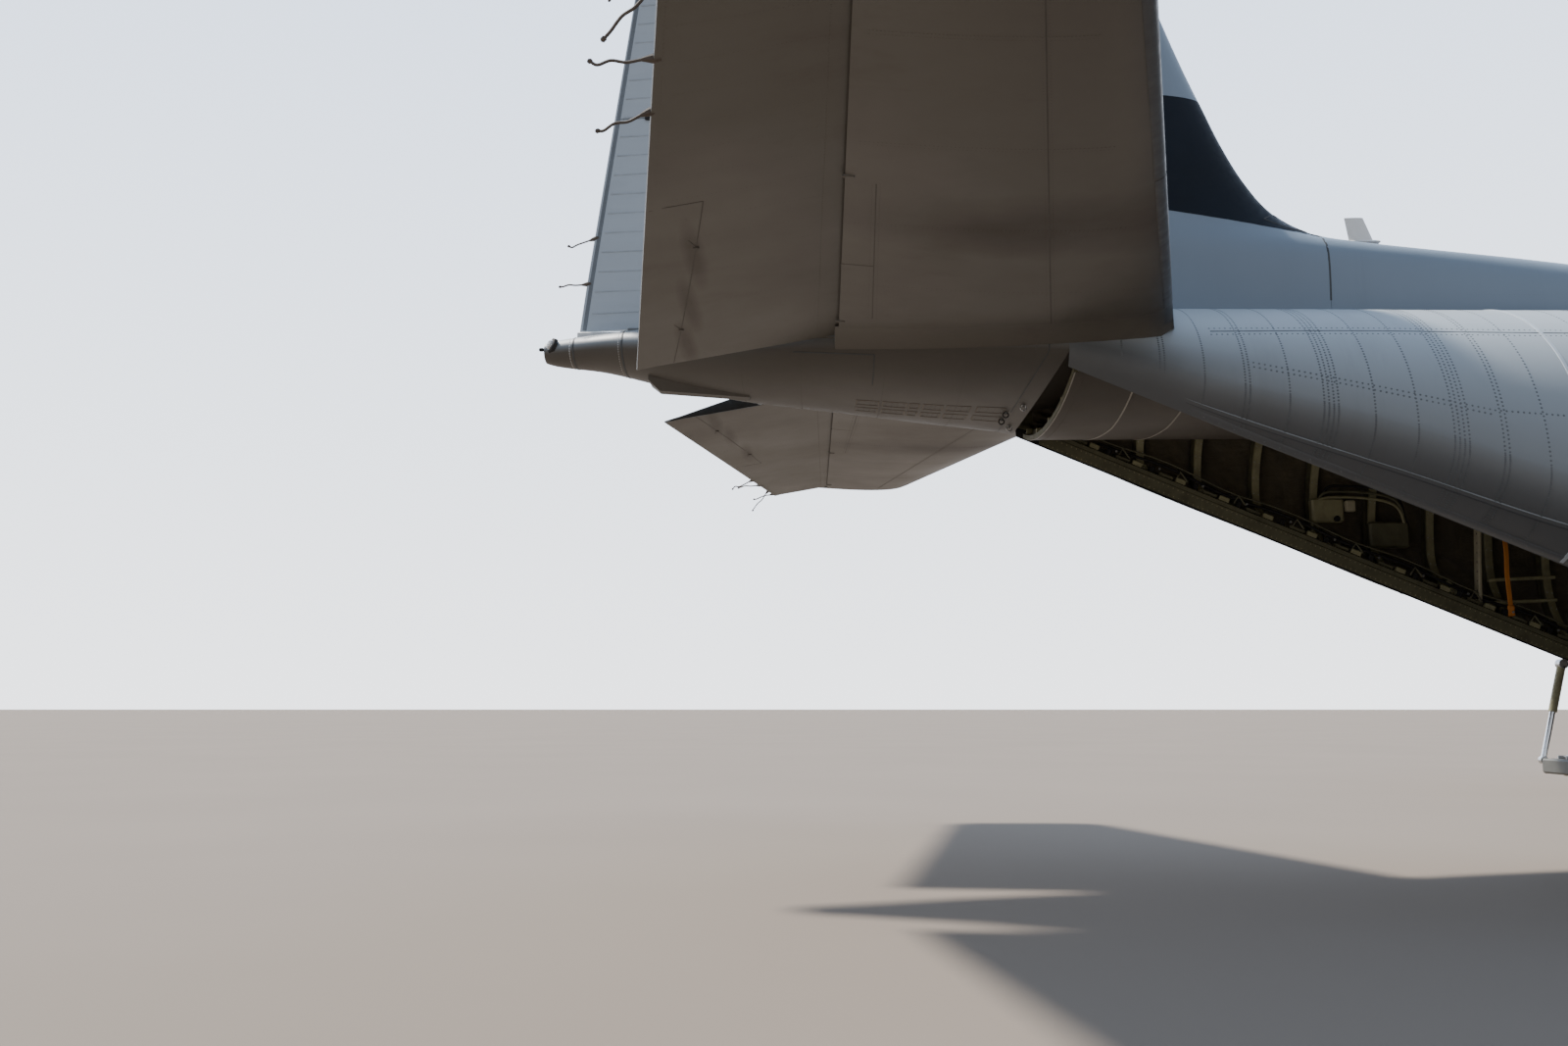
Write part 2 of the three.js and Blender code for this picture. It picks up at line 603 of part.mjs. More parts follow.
function rudderSections() {
  const rows = [[RUDDER.z0, RUDDER.hingeX0], [RUDDER.z1, RUDDER.hingeX1]];
  return rows.map(([z, hingeX]) => {
    const row = finRowAt(z);
    const hinge = row.leadingX - hingeX;
    return { row, hinge, radius: foilHalf(hinge / row.chord) * row.ratio * row.chord * 0.94, z };
  });
}

// footDrop lowers the trailing edge of the ring, so that the foot follows the tail's top
function rudderRing({ row, hinge, radius }, z, grow, spread, cutter, footDrop = 0) {
  const arc = Array.from({ length: 9 }, (_, i) => THREE.MathUtils.degToRad(spread - (2 * spread * i) / 8));
  const nose = arc.map((angle) => [hinge - (radius + grow) * Math.cos(angle), (radius + grow) * Math.sin(angle)]);
  const wide = radius + 0.3;
  const back = cutter
    ? [[hinge + 0.02, -wide], [row.chord + 0.4, -wide], [row.chord + 0.4, wide], [hinge + 0.02, wide]]
    : [[row.chord, -0.012], [row.chord, 0.012]];
  const drop = (aft) => (footDrop * Math.max(0, aft - hinge)) / (row.chord - hinge);
  return [...nose, ...back].map(([aft, side]) => onFin({ ...row, z: z - drop(aft) }, aft, side));
}

function buildFin(hullGrown) {
  const sections = rudderSections();
  const [low, high] = sections;
  const [foot, head] = sections.map(({ row, hinge, z }) => onFin({ ...row, z }, hinge, 0));
  const rings = [rudderRing(low, low.z, 0, 88, false, RUDDER_FOOT_DROP), rudderRing(high, high.z, 0, 88, false)];
  const rudder = loft(rings).add(endPins(foot, head));
  // The space reaches down into the tail, so that nothing of the fin is left under the rudder
  const cutter = loft([rudderRing(low, low.z - 0.2, RUN, 72, true), rudderRing(high, high.z + RUN, RUN, 72, true)]);
  const whole = finSurface().subtract(hullGrown).subtract(stabGrown);
  const ahead = box(DORSAL_JOINT_X + SEAT, 0, -1, 1, 4.5, 8);
  const behind = box(-16, DORSAL_JOINT_X, -1, 1, 4.5, 12);
  const finHollow = hollowLoft([5.9, 6.24, 7.42, 11.2].map((z) => finRowAt(z)), onFin, 0.7);
  const finOpening = box(-11.4, -9.4, -0.12, 0.12, 5, 6.2);
  add('dorsal_fin', whole.intersect(ahead), 'grey_paint');
  add('fin', whole.intersect(behind).subtract(finHollow).subtract(finOpening).subtract(cutter), 'grey_paint');
  add('rudder', rudder, 'grey_paint');
}

// Fuselage pieces

// The crew door's skin is slanted in plan view, from (x0, y0) to (x1, y1), and it swings about that line
const CREW_DOOR = { x0: 11.35, y0: 1.525, x1: 12.12, y1: 1.29, z0: 1.12, z1: 2.62 };
const TROOP_DOOR = { x0: -1.34, x1: -0.43, z0: 1.05, z1: 2.88 };

function doorHole({ x0, x1, z0, z1 }, side, grow) {
  const ys = side > 0 ? [0.9, 3] : [-3, -0.9];
  return box(x0 - grow, x1 + grow, ...ys, z0 - grow, z1 + grow);
}

// The crew door's hole, with its ends square to the slanted skin
function crewDoorHole(z0, grow) {
  const { x0, y0, x1, y1, z1 } = CREW_DOOR;
  const along = new THREE.Vector2(x1 - x0, y1 - y0).normalize();
  const corner = (x, y, end, depth) => [x + end * along.x * grow - along.y * depth, y + end * along.y * grow + along.x * depth];
  const outline = [corner(x0, y0, -1, -0.5), corner(x1, y1, 1, -0.5), corner(x1, y1, 1, 0.8), corner(x0, y0, -1, 0.8)];
  return prism(outline, [z0, z1 + grow], ([x, y], z) => new THREE.Vector3(x, y, z));
}

// Windscreen and side windows, as front-view and side-view outlines
const FRONT_PANES = [
  [[-0.28, 3.46], [0.28, 3.46], [0.26, 4.0], [-0.26, 4.0]],
  [[0.36, 3.44], [0.86, 3.38], [0.84, 3.86], [0.34, 3.99]],
  [[-0.36, 3.44], [-0.86, 3.38], [-0.84, 3.86], [-0.34, 3.99]],
];
const SIDE_PANES = [
  [[12.92, 3.3], [12.5, 3.3], [12.42, 3.86], [12.62, 3.9]],
  [[12.4, 3.28], [11.95, 3.3], [11.98, 3.82], [12.32, 3.87]],
  [[12.98, 2.72], [12.5, 2.66], [12.46, 3.14], [12.9, 3.16]],
];

function cutPanes(body) {
  let result = body;
  for (const pane of FRONT_PANES) result = result.subtract(frontPrism(pane, 12.6, 13.6));
  for (const pane of SIDE_PANES) {
    result = result.subtract(sidePrism(pane, 0.95, 2.4)).subtract(sidePrism(pane, -2.4, -0.95));
  }
  return result;
}

const NOSE_WALL = 0.07;

function buildNose() {
  const well = box(NOSE_WELL.x0, NOSE_WELL.x1, -NOSE_WELL.halfWidth, NOSE_WELL.halfWidth, 0, NOSE_WELL.top);
  add('radome', hullBetween(RADOME_X + SEAT, NOSE_X), 'dark_paint');
  const skin = cutPanes(shell(NOSE_JOINT_X + SEAT, RADOME_X, NOSE_WALL)).subtract(well);
  // The crew door rests on its lower edge, where its hinge is
  add('nose_section', skin.subtract(crewDoorHole(CREW_DOOR.z0 - SEAT, RUN / 2)), 'grey_paint');
  const doorSkin = shell(CREW_DOOR.x0 - 0.2, CREW_DOOR.x1 + 0.2, NOSE_WALL);
  add('crew_door', doorSkin.intersect(crewDoorHole(CREW_DOOR.z0, 0)), 'grey_paint');

  // One curved pane inside the skin fills all the cockpit windows
  const paneZone = box(11.8, 13.3, -2, 2, 2.55, 4.1);
  const panes = wholeHull(-NOSE_WALL - HULL_SEAT).subtract(wholeHull(-NOSE_WALL - 0.03)).intersect(paneZone);
  add('cockpit_glazing', panes, 'glass');

  // Flight deck on the block that carries it, with the rear bulkhead and the crew door's entry
  const fill = hullBetween(10.3, 13.66, -NOSE_WALL - HULL_SEAT);
  const deck = fill.intersect(box(10.3, 13.66, -3, 3, 0, 2.02));
  const bulkhead = fill.intersect(box(10.3, 10.42, -3, 3, 1.9, 6));
  const entry = box(CREW_DOOR.x0 - 0.06, CREW_DOOR.x1 + 0.06, 0.35, 3, 1.08, 3);
  add('flight_deck', deck.add(bulkhead).subtract(well).subtract(entry), 'interior');
  add('instrument_panel', sidePrism([[13.0, 2.02 + SEAT], [13.3, 2.02 + SEAT], [13.28, 2.95], [12.92, 2.95]], -0.85, 0.85), 'dark_paint');
  for (const [name, y] of [['left', 0.55], ['right', -0.55]]) {
    const base = box(11.9, 12.3, y - 0.14, y + 0.14, 2.02 + SEAT, 2.42);
    const pan = box(11.82, 12.36, y - 0.24, y + 0.24, 2.4, 2.5);
    const back = sidePrism([[11.92, 2.45], [11.8, 3.3], [11.68, 3.3], [11.78, 2.4]], y - 0.24, y + 0.24);
    add(`pilot_seat_${name}`, union([base, pan, back]), 'interior');
  }
}

const cargoCut = (halfWidth) => sidePrism(
  [[RAMP_HINGE_X, -1], [RAMP_HINGE_X, sillZ(RAMP_HINGE_X) + 0.5], [DOOR_AFT_X, sillZ(DOOR_AFT_X) + 0.5], [DOOR_AFT_X, -1]],
  -halfWidth,
  halfWidth,
);

function wheelWell(grow = 0) {
  const reach = MAIN_TYRE_RADIUS + 0.06 + grow;
  const [front, back] = [MAIN_WHEEL_XS[0] + reach, MAIN_WHEEL_XS[1] - reach];
  return box(back, front, WELL_INNER_Y - grow, WELL_OUTER_Y, -1, WELL_TOP_Z + grow);
}

function buildCentre() {
  const well = wheelWell();
  const lining = hullBetween(RAMP_HINGE_X, NOSE_JOINT_X).intersect(wheelWell(0.045));
  const wells = well.add(mirrored(well));
  const skin = shell(RAMP_HINGE_X + SEAT, NOSE_JOINT_X)
    .add(lining)
    .add(mirrored(lining))
    .subtract(wells)
    .subtract(wingGrown);
  const holes = doorHole(TROOP_DOOR, 1, SEAT).add(doorHole(TROOP_DOOR, -1, SEAT));
  add('centre_fuselage', skin.subtract(holes), 'grey_paint');
  const doorSkin = shell(TROOP_DOOR.x0 - 0.05, TROOP_DOOR.x1 + 0.5);
  add('paratroop_door_left', doorSkin.intersect(doorHole(TROOP_DOOR, 1, 0)), 'grey_paint');
  add('paratroop_door_right', doorSkin.intersect(doorHole(TROOP_DOOR, -1, 0)), 'grey_paint');
  const lined = wheelWell(0.05);
  const floor = hullBetween(RAMP_HINGE_X + 0.03, 10.28, -WALL - HULL_SEAT)
    .intersect(box(-5, 11, -3, 3, 0, FLOOR_Z))
    .subtract(lined)
    .subtract(mirrored(lined));
  add('cargo_floor', floor, 'interior');
}

function buildRear() {
  const skin = shell(DOOR_AFT_X + SEAT, RAMP_HINGE_X).subtract(cargoCut(SILL_HALF_WIDTH)).subtract(stabGrown);
  add('aft_fuselage', skin, 'grey_paint');
  const tail = hullBetween(TAIL_X, DOOR_AFT_X);
  const hollow = hullBetween(-13.6, DOOR_AFT_X + 0.1, -WALL);
  const wedge = sidePrism([[-12.85, 4.62], [-12.85, 4.47], [-13.71, 4.54], [-13.81, 4.63], [-13.81, 4.76]], -0.16, 0.16);
  // The skin ends further aft at the bottom, where the door's edge swings
  const doorSwing = sidePrism([[DOOR_AFT_X, 4.5], [-10.27, 4.17], [-10.0, 4.17], [-10.0, 4.5]], -2, 2);
  add('tail_section', tail.subtract(hollow).subtract(doorSwing).add(wedge).subtract(stabGrown), 'grey_paint');
}

// Ramp and upper cargo door

const RAMP_TIP_X = -4.81;
const RAMP_HALF_WIDTH = SILL_HALF_WIDTH - 0.03;
const DOOR_HALF_WIDTH = 1.44;
const DOOR_LENGTH = 5.74;
const RAMP_NOSE_RADIUS = 0.1;
const PIN_RADIUS = 0.03;
const RAMP_PIVOT = { x: RAMP_HINGE_X - 0.16, z: FLOOR_Z - 0.012 - RAMP_NOSE_RADIUS };

function buildRamp() {
  const top = RAMP_PIVOT.z + RAMP_NOSE_RADIUS;
  const front = [90, 60, 30, 0, -30, -60, -90].map(THREE.MathUtils.degToRad).map((angle) => [
    RAMP_PIVOT.x + RAMP_NOSE_RADIUS * Math.cos(angle),
    RAMP_PIVOT.z + RAMP_NOSE_RADIUS * Math.sin(angle),
  ]);
  const outline = [...front, [RAMP_TIP_X, top - 0.15], [RAMP_TIP_X, top]];
  const reach = SILL_HALF_WIDTH - SEAT;
  const pins = bar([RAMP_PIVOT.x, -reach, RAMP_PIVOT.z], [RAMP_PIVOT.x, reach, RAMP_PIVOT.z], PIN_RADIUS, PIN_RADIUS, 8);
  add('cargo_ramp', sidePrism(outline, -RAMP_HALF_WIDTH, RAMP_HALF_WIDTH).add(pins), 'interior');
}

// Raised door: its skin is level, with a curved underside
function buildCargoDoor() {
  const [aft, front] = [DOOR_AFT_X + 0.06, DOOR_AFT_X + 0.06 + DOOR_LENGTH];
  const under = (y) => 4.165 + 0.195 * (Math.abs(y) / DOOR_HALF_WIDTH) ** 2.2;
  const thickness = (y) => 0.12 - 0.05 * (Math.abs(y) / DOOR_HALF_WIDTH) ** 6;
  const ys = [-1, -0.88, -0.7, -0.45, -0.2, 0, 0.2, 0.45, 0.7, 0.88, 1].map((share) => share * DOOR_HALF_WIDTH);
  const outline = [...ys.map((y) => [y, under(y)]), ...[...ys].reverse().map((y) => [y, under(y) + thickness(y)])];
  const reach = SILL_HALF_WIDTH - SEAT;
  const [pinX, pinZ, inside] = [aft + 0.05, 4.4, DOOR_HALF_WIDTH - 0.06];
  const pin = bar([pinX, inside, pinZ], [pinX, reach, pinZ], PIN_RADIUS, PIN_RADIUS, 8);
  add('cargo_door', frontPrism(outline, aft, front).add(pin).add(mirrored(pin)), 'grey_paint');
}

// Landing gear

// Columns: x, outer y, top z, bottom z
const SPONSON = [
  [7.5, 2.0, 1.75, 1.15],
  [7.0, 2.36, 2.05, 0.82],
  [6.2, 2.62, 2.2, 0.62],
  [4.9, 2.74, 2.26, 0.55],
  [1.2, 2.74, 2.22, 0.55],
  [0.2, 2.6, 2.08, 0.66],
  [-0.6, 2.34, 1.86, 0.9],
  [-1.1, 2.05, 1.64, 1.18],
];

function buildSponsons(hullGrown) {
  const innerY = 1.5;
  const rings = SPONSON.map(([x, outer, top, bottom]) => {
    const [mid, half] = [(top + bottom) / 2, (top - bottom) / 2];
    return superellipseRing(x, innerY, mid, outer - innerY, half, half, 2.6, 2.6, 24);
  });
  const sponson = loft(rings).subtract(hullGrown).subtract(wheelWell(0.0)).intersect(box(-3, 9, 0, 4, 0, 3));
  add('sponson_left', sponson, 'grey_paint');
  add('sponson_right', mirrored(sponson), 'grey_paint');
}

const AXLE_RADIUS = 0.06;
const BORE_CLEARANCE = 0.0018;

function wheel(radius, width, x, y, z) {
  const [half, bore, shoulder] = [width / 2, AXLE_RADIUS + BORE_CLEARANCE, radius * 0.6];
  const profile = [
    [bore, -half * 0.75],
    [shoulder, -half * 0.75],
    [radius * 0.86, -half],
    [radius, -half * 0.5],
    [radius, half * 0.5],
    [radius * 0.86, half],
    [shoulder, half * 0.75],
    [bore, half * 0.75],
  ];
  return turnedAboutY(profile, x, y, z, 24);
}

function buildMainGear() {
  const inner = MAIN_LEG_Y;
  const legs = MAIN_WHEEL_XS.map((x) => union([
    bar([x, inner, WELL_TOP_Z - SEAT], [x, inner, 1.0], 0.1),
    bar([x, inner, 1.02], [x, inner, MAIN_TYRE_RADIUS - 0.09], 0.075),
    bar([x, inner - 0.05, MAIN_TYRE_RADIUS], [x, MAIN_WHEEL_Y + MAIN_TYRE_WIDTH / 2 - 0.04, MAIN_TYRE_RADIUS], AXLE_RADIUS),
  ]));
  const strut = bar([MAIN_WHEEL_XS[0], inner, 1.2], [MAIN_WHEEL_XS[1], inner, 1.2], 0.045);
  const gear = union([...legs, strut]);
  add('main_gear_left', gear, 'steel');
  add('main_gear_right', mirrored(gear), 'steel');
  for (const [place, x] of [['front', MAIN_WHEEL_XS[0]], ['rear', MAIN_WHEEL_XS[1]]]) {
    add(`main_wheel_${place}_left`, wheel(MAIN_TYRE_RADIUS, MAIN_TYRE_WIDTH, x, MAIN_WHEEL_Y, MAIN_TYRE_RADIUS), 'tyre');
    add(`main_wheel_${place}_right`, wheel(MAIN_TYRE_RADIUS, MAIN_TYRE_WIDTH, x, -MAIN_WHEEL_Y, MAIN_TYRE_RADIUS), 'tyre');
  }
}

function buildNoseGear() {
  const [x, axleZ] = [NOSE_WHEEL_X, NOSE_TYRE_RADIUS];
  const sleeve = bar([x, 0, NOSE_WELL.top - SEAT], [x, 0, 1.04], 0.1, 0.1, 12);
  // The bore's flats clear the fork's corners as it turns
  const boreSides = 24;
  const boreRadius = (AXLE_RADIUS + BORE_CLEARANCE) / Math.cos(Math.PI / boreSides);
  const bore = bar([x, 0, 1.38], [x, 0, 0.9], boreRadius, boreRadius, boreSides);
  const brace = bar([x + 0.06, 0, 1.12], [13.4, 0, NOSE_WELL.top - 0.045], 0.04);
  add('nose_gear_leg', sleeve.add(brace).subtract(bore), 'steel');
  const axleReach = NOSE_WHEEL_Y + NOSE_TYRE_WIDTH / 2 - 0.03;
  const fork = union([
    bar([x, 0, 1.36], [x, 0, axleZ - 0.08], AXLE_RADIUS, AXLE_RADIUS, 12),
    bar([x, -axleReach, axleZ], [x, axleReach, axleZ], AXLE_RADIUS),
  ]);
  add('nose_gear_fork', fork, 'steel');
  for (const [side, y] of [['left', NOSE_WHEEL_Y], ['right', -NOSE_WHEEL_Y]]) {
    add(`nose_wheel_${side}`, wheel(NOSE_TYRE_RADIUS, NOSE_TYRE_WIDTH, x, y, axleZ), 'tyre');
  }
}

const hullGrown = wholeHull(SEAT);
buildNose();
buildCentre();
buildRear();
buildRamp();
buildCargoDoor();
buildSponsons(hullGrown);
buildWing();
buildEngines();
buildStabiliser();
buildFin(hullGrown);
buildMainGear();
buildNoseGear();

export default plane;
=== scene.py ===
"""Looks of a four-engine military transport plane at half of real size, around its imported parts.

Sizes in this script are metres of the real plane, as in the part's own source, and SCALE turns them into the
model's. X points to the nose, Y to the port side and Z up.
"""
import random
from math import atan, atan2, copysign, cos, dist, exp, hypot, pi, radians, sin, sqrt, tan

import bmesh
import bpy
import numpy as np
from mathutils import Matrix, Vector


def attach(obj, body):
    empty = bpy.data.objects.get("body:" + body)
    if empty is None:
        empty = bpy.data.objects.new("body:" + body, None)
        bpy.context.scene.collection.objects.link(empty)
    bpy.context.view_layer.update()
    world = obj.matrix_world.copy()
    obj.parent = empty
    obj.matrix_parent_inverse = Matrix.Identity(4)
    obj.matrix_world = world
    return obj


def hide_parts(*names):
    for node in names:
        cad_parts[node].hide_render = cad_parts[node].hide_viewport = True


SCALE = 0.5
SIDES = ((1, "left"), (-1, "right"))
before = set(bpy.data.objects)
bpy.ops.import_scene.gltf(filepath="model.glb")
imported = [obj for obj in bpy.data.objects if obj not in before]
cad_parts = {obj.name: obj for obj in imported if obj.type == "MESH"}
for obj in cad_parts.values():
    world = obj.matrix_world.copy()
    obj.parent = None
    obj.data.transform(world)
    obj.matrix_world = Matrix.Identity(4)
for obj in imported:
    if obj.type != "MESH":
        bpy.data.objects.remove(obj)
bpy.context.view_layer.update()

# Camera at the photograph's viewing angle, and the light

CAMERA_AT = (-12.225, -12.9, 1.53)
CAMERA_TURN = atan(32 / 1400)
CAMERA_RISE = atan(188.5 / 1400)

camera = bpy.data.objects.new("camera", bpy.data.cameras.new("camera"))
camera.data.lens = 31.5
camera.data.sensor_width = 36
camera.data.clip_start = 0.05
camera.data.clip_end = 2000
camera.location = [SCALE * c for c in CAMERA_AT]
camera.rotation_euler = (pi / 2 + CAMERA_RISE, 0, CAMERA_TURN)
bpy.context.collection.objects.link(camera)
bpy.context.scene.camera = camera

SUN_FROM = Vector((-0.42, 0.36, 0.83))
sun = bpy.data.objects.new("sun", bpy.data.lights.new("sun", "SUN"))
sun.data.energy = 8.5
sun.data.angle = radians(4)
sun.data.color = (1.0, 0.95, 0.88)
sun.rotation_euler = SUN_FROM.to_track_quat("Z", "Y").to_euler()
bpy.context.collection.objects.link(sun)


def node(tree, kind, inputs=None, **settings):
    """Adds a shader node. An input is a value or another node's output."""
    made = tree.nodes.new(kind)
    for key, value in settings.items():
        setattr(made, key, value)
    for key, value in (inputs or {}).items():
        if isinstance(value, bpy.types.NodeSocket):
            tree.links.new(value, made.inputs[key])
        else:
            made.inputs[key].default_value = value
    return made


def build_sky():
    world = bpy.data.worlds.new("sky")
    bpy.context.scene.world = world
    world.use_nodes = True
    tree = world.node_tree
    background = tree.nodes["Background"]
    place = node(tree, "ShaderNodeTexCoord").outputs["Generated"]
    apart = node(tree, "ShaderNodeSeparateXYZ", {0: place})
    ramp = node(tree, "ShaderNodeValToRGB", {0: apart.outputs["Z"]})
    ramp.color_ramp.elements[0].position = 0.0
    ramp.color_ramp.elements[0].color = (1.0, 1.03, 1.08, 1)
    ramp.color_ramp.elements[1].position = 0.75
    ramp.color_ramp.elements[1].color = (0.50, 0.66, 0.92, 1)
    # The sky is brightest on the port side, where the sun stands
    glow = node(tree, "ShaderNodeMapRange", {0: apart.outputs["Y"], 1: -0.3, 2: 0.8, 3: 0.8, 4: 2.7},
                interpolation_type="SMOOTHSTEP").outputs[0]
    tree.links.new(ramp.outputs[0], background.inputs["Color"])
    tree.links.new(glow, background.inputs["Strength"])


FLOOR_REACH = 600


def build_floor():
    """A pale floor that throws soft, warm light on the plane's underside."""
    material = bpy.data.materials.new("floor")
    material.use_nodes = True
    tree = material.node_tree
    shader = tree.nodes["Principled BSDF"]
    place = node(tree, "ShaderNodeTexCoord").outputs["Object"]
    grain = node(tree, "ShaderNodeTexNoise", {"Vector": place, "Scale": 0.35, "Detail": 8.0}).outputs[0]
    pale = node(tree, "ShaderNodeMix", {0: grain, 6: (0.185, 0.155, 0.128, 1), 7: (0.215, 0.183, 0.152, 1)},
                data_type="RGBA")
    tree.links.new(pale.outputs[2], shader.inputs["Base Color"])
    shader.inputs["Roughness"].default_value = 0.95
    shader.inputs["Specular IOR Level"].default_value = 0.1
    mesh = bpy.data.meshes.new("floor")
    corners = [(x * FLOOR_REACH, y * FLOOR_REACH, 0) for x, y in ((-1, -1), (1, -1), (1, 1), (-1, 1))]
    mesh.from_pydata(corners, [], [(0, 1, 2, 3)])
    mesh.materials.append(material)
    floor = bpy.data.objects.new("floor", mesh)
    bpy.context.collection.objects.link(floor)


build_sky()
build_floor()

# Materials


def stretch(tree, place, scales):
    return node(tree, "ShaderNodeVectorMath", {0: place, 1: scales}, operation="MULTIPLY").outputs[0]


def start_material(name):
    """A new material with its tree, its shader and places in metres of the real plane."""
    material = bpy.data.materials.new(name)
    material.use_nodes = True
    tree = material.node_tree
    place = node(tree, "ShaderNodeTexCoord").outputs["Object"]
    return material, tree, tree.nodes["Principled BSDF"], stretch(tree, place, (1 / SCALE,) * 3)


def calc(tree, operation, a, b=0.0):
    return node(tree, "ShaderNodeMath", {0: a, 1: b, 2: 0.0}, operation=operation).outputs[0]


def noise(tree, place, scale, detail=4.0, rough=0.55):
    """Noise from 0 to 1. scale is one number, or three for streaks."""
    if isinstance(scale, tuple):
        place, scale = stretch(tree, place, scale), 1.0
    inputs = {"Vector": place, "Scale": scale, "Detail": detail, "Roughness": rough}
    return node(tree, "ShaderNodeTexNoise", inputs).outputs[0]


def times(tree, a, b):
    return calc(tree, "MULTIPLY", a, b)


def tint(tree, colour, factor):
    """A colour, or another node's colour, times a factor."""
    return node(tree, "ShaderNodeVectorMath", {0: colour, "Scale": factor}, operation="SCALE").outputs[0]


def spread(tree, value, low, high, to_low=0.0, to_high=1.0):
    """Maps low to high onto to_low to to_high, and holds the ends."""
    return node(tree, "ShaderNodeMapRange", {0: value, 1: low, 2: high, 3: to_low, 4: to_high}).outputs[0]


def blend_colour(tree, share, first, second):
    return node(tree, "ShaderNodeMix", {0: share, 6: first, 7: second}, data_type="RGBA").outputs[2]


def set_bump(tree, shader, height, depth):
    bump = node(tree, "ShaderNodeBump", {"Height": height, "Distance": depth * SCALE, "Strength": 1.0})
    tree.links.new(bump.outputs[0], shader.inputs["Normal"])


def axis_of(tree, place, which):
    return node(tree, "ShaderNodeSeparateXYZ", {0: place}).outputs[which]


def line_mask(tree, coordinate, pitch, offset, half_width):
    """1 on thin lines at offset + k * pitch along a coordinate, 0 elsewhere."""
    moved = calc(tree, "SUBTRACT", coordinate, offset)
    away = calc(tree, "PINGPONG", moved, pitch / 2)
    return spread(tree, away, half_width, half_width * 2.2, 1.0, 0.0)


def dot_mask(tree, along, across, pitch, row_pitch, row_offset, row_away, radius):
    """1 on rows of small dots: rows at row_offset + k * row_pitch across, each side by row_away."""
    moved = calc(tree, "SUBTRACT", across, row_offset)
    near = calc(tree, "PINGPONG", moved, row_pitch / 2)
    off_row = calc(tree, "SUBTRACT", near, row_away)
    step = calc(tree, "PINGPONG", along, pitch / 2)
    squares = calc(tree, "ADD", times(tree, off_row, off_row), times(tree, step, step))
    return spread(tree, calc(tree, "SQRT", squares), radius * 0.6, radius, 1.0, 0.0)


def round_coordinate(tree, place, middle, radius):
    """Distance around the fuselage from the starboard side, in metres."""
    height = calc(tree, "SUBTRACT", axis_of(tree, place, 2), middle)
    angle = calc(tree, "ARCTAN2", height, axis_of(tree, place, 1))
    return times(tree, angle, radius)


def soft_spot(tree, place, centre, radii, strength):
    """strength inside a soft-edged ellipsoid and 0 outside it."""
    moved = node(tree, "ShaderNodeVectorMath", {0: place, 1: centre}, operation="SUBTRACT").outputs[0]
    scaled = stretch(tree, moved, tuple(1 / r for r in radii))
    away = node(tree, "ShaderNodeVectorMath", {0: scaled}, operation="LENGTH").outputs["Value"]
    uneven = times(tree, noise(tree, place, 1.6, 5.0, 0.6), 0.5)
    return spread(tree, calc(tree, "ADD", away, uneven), 0.55, 1.25, strength, 0.0)


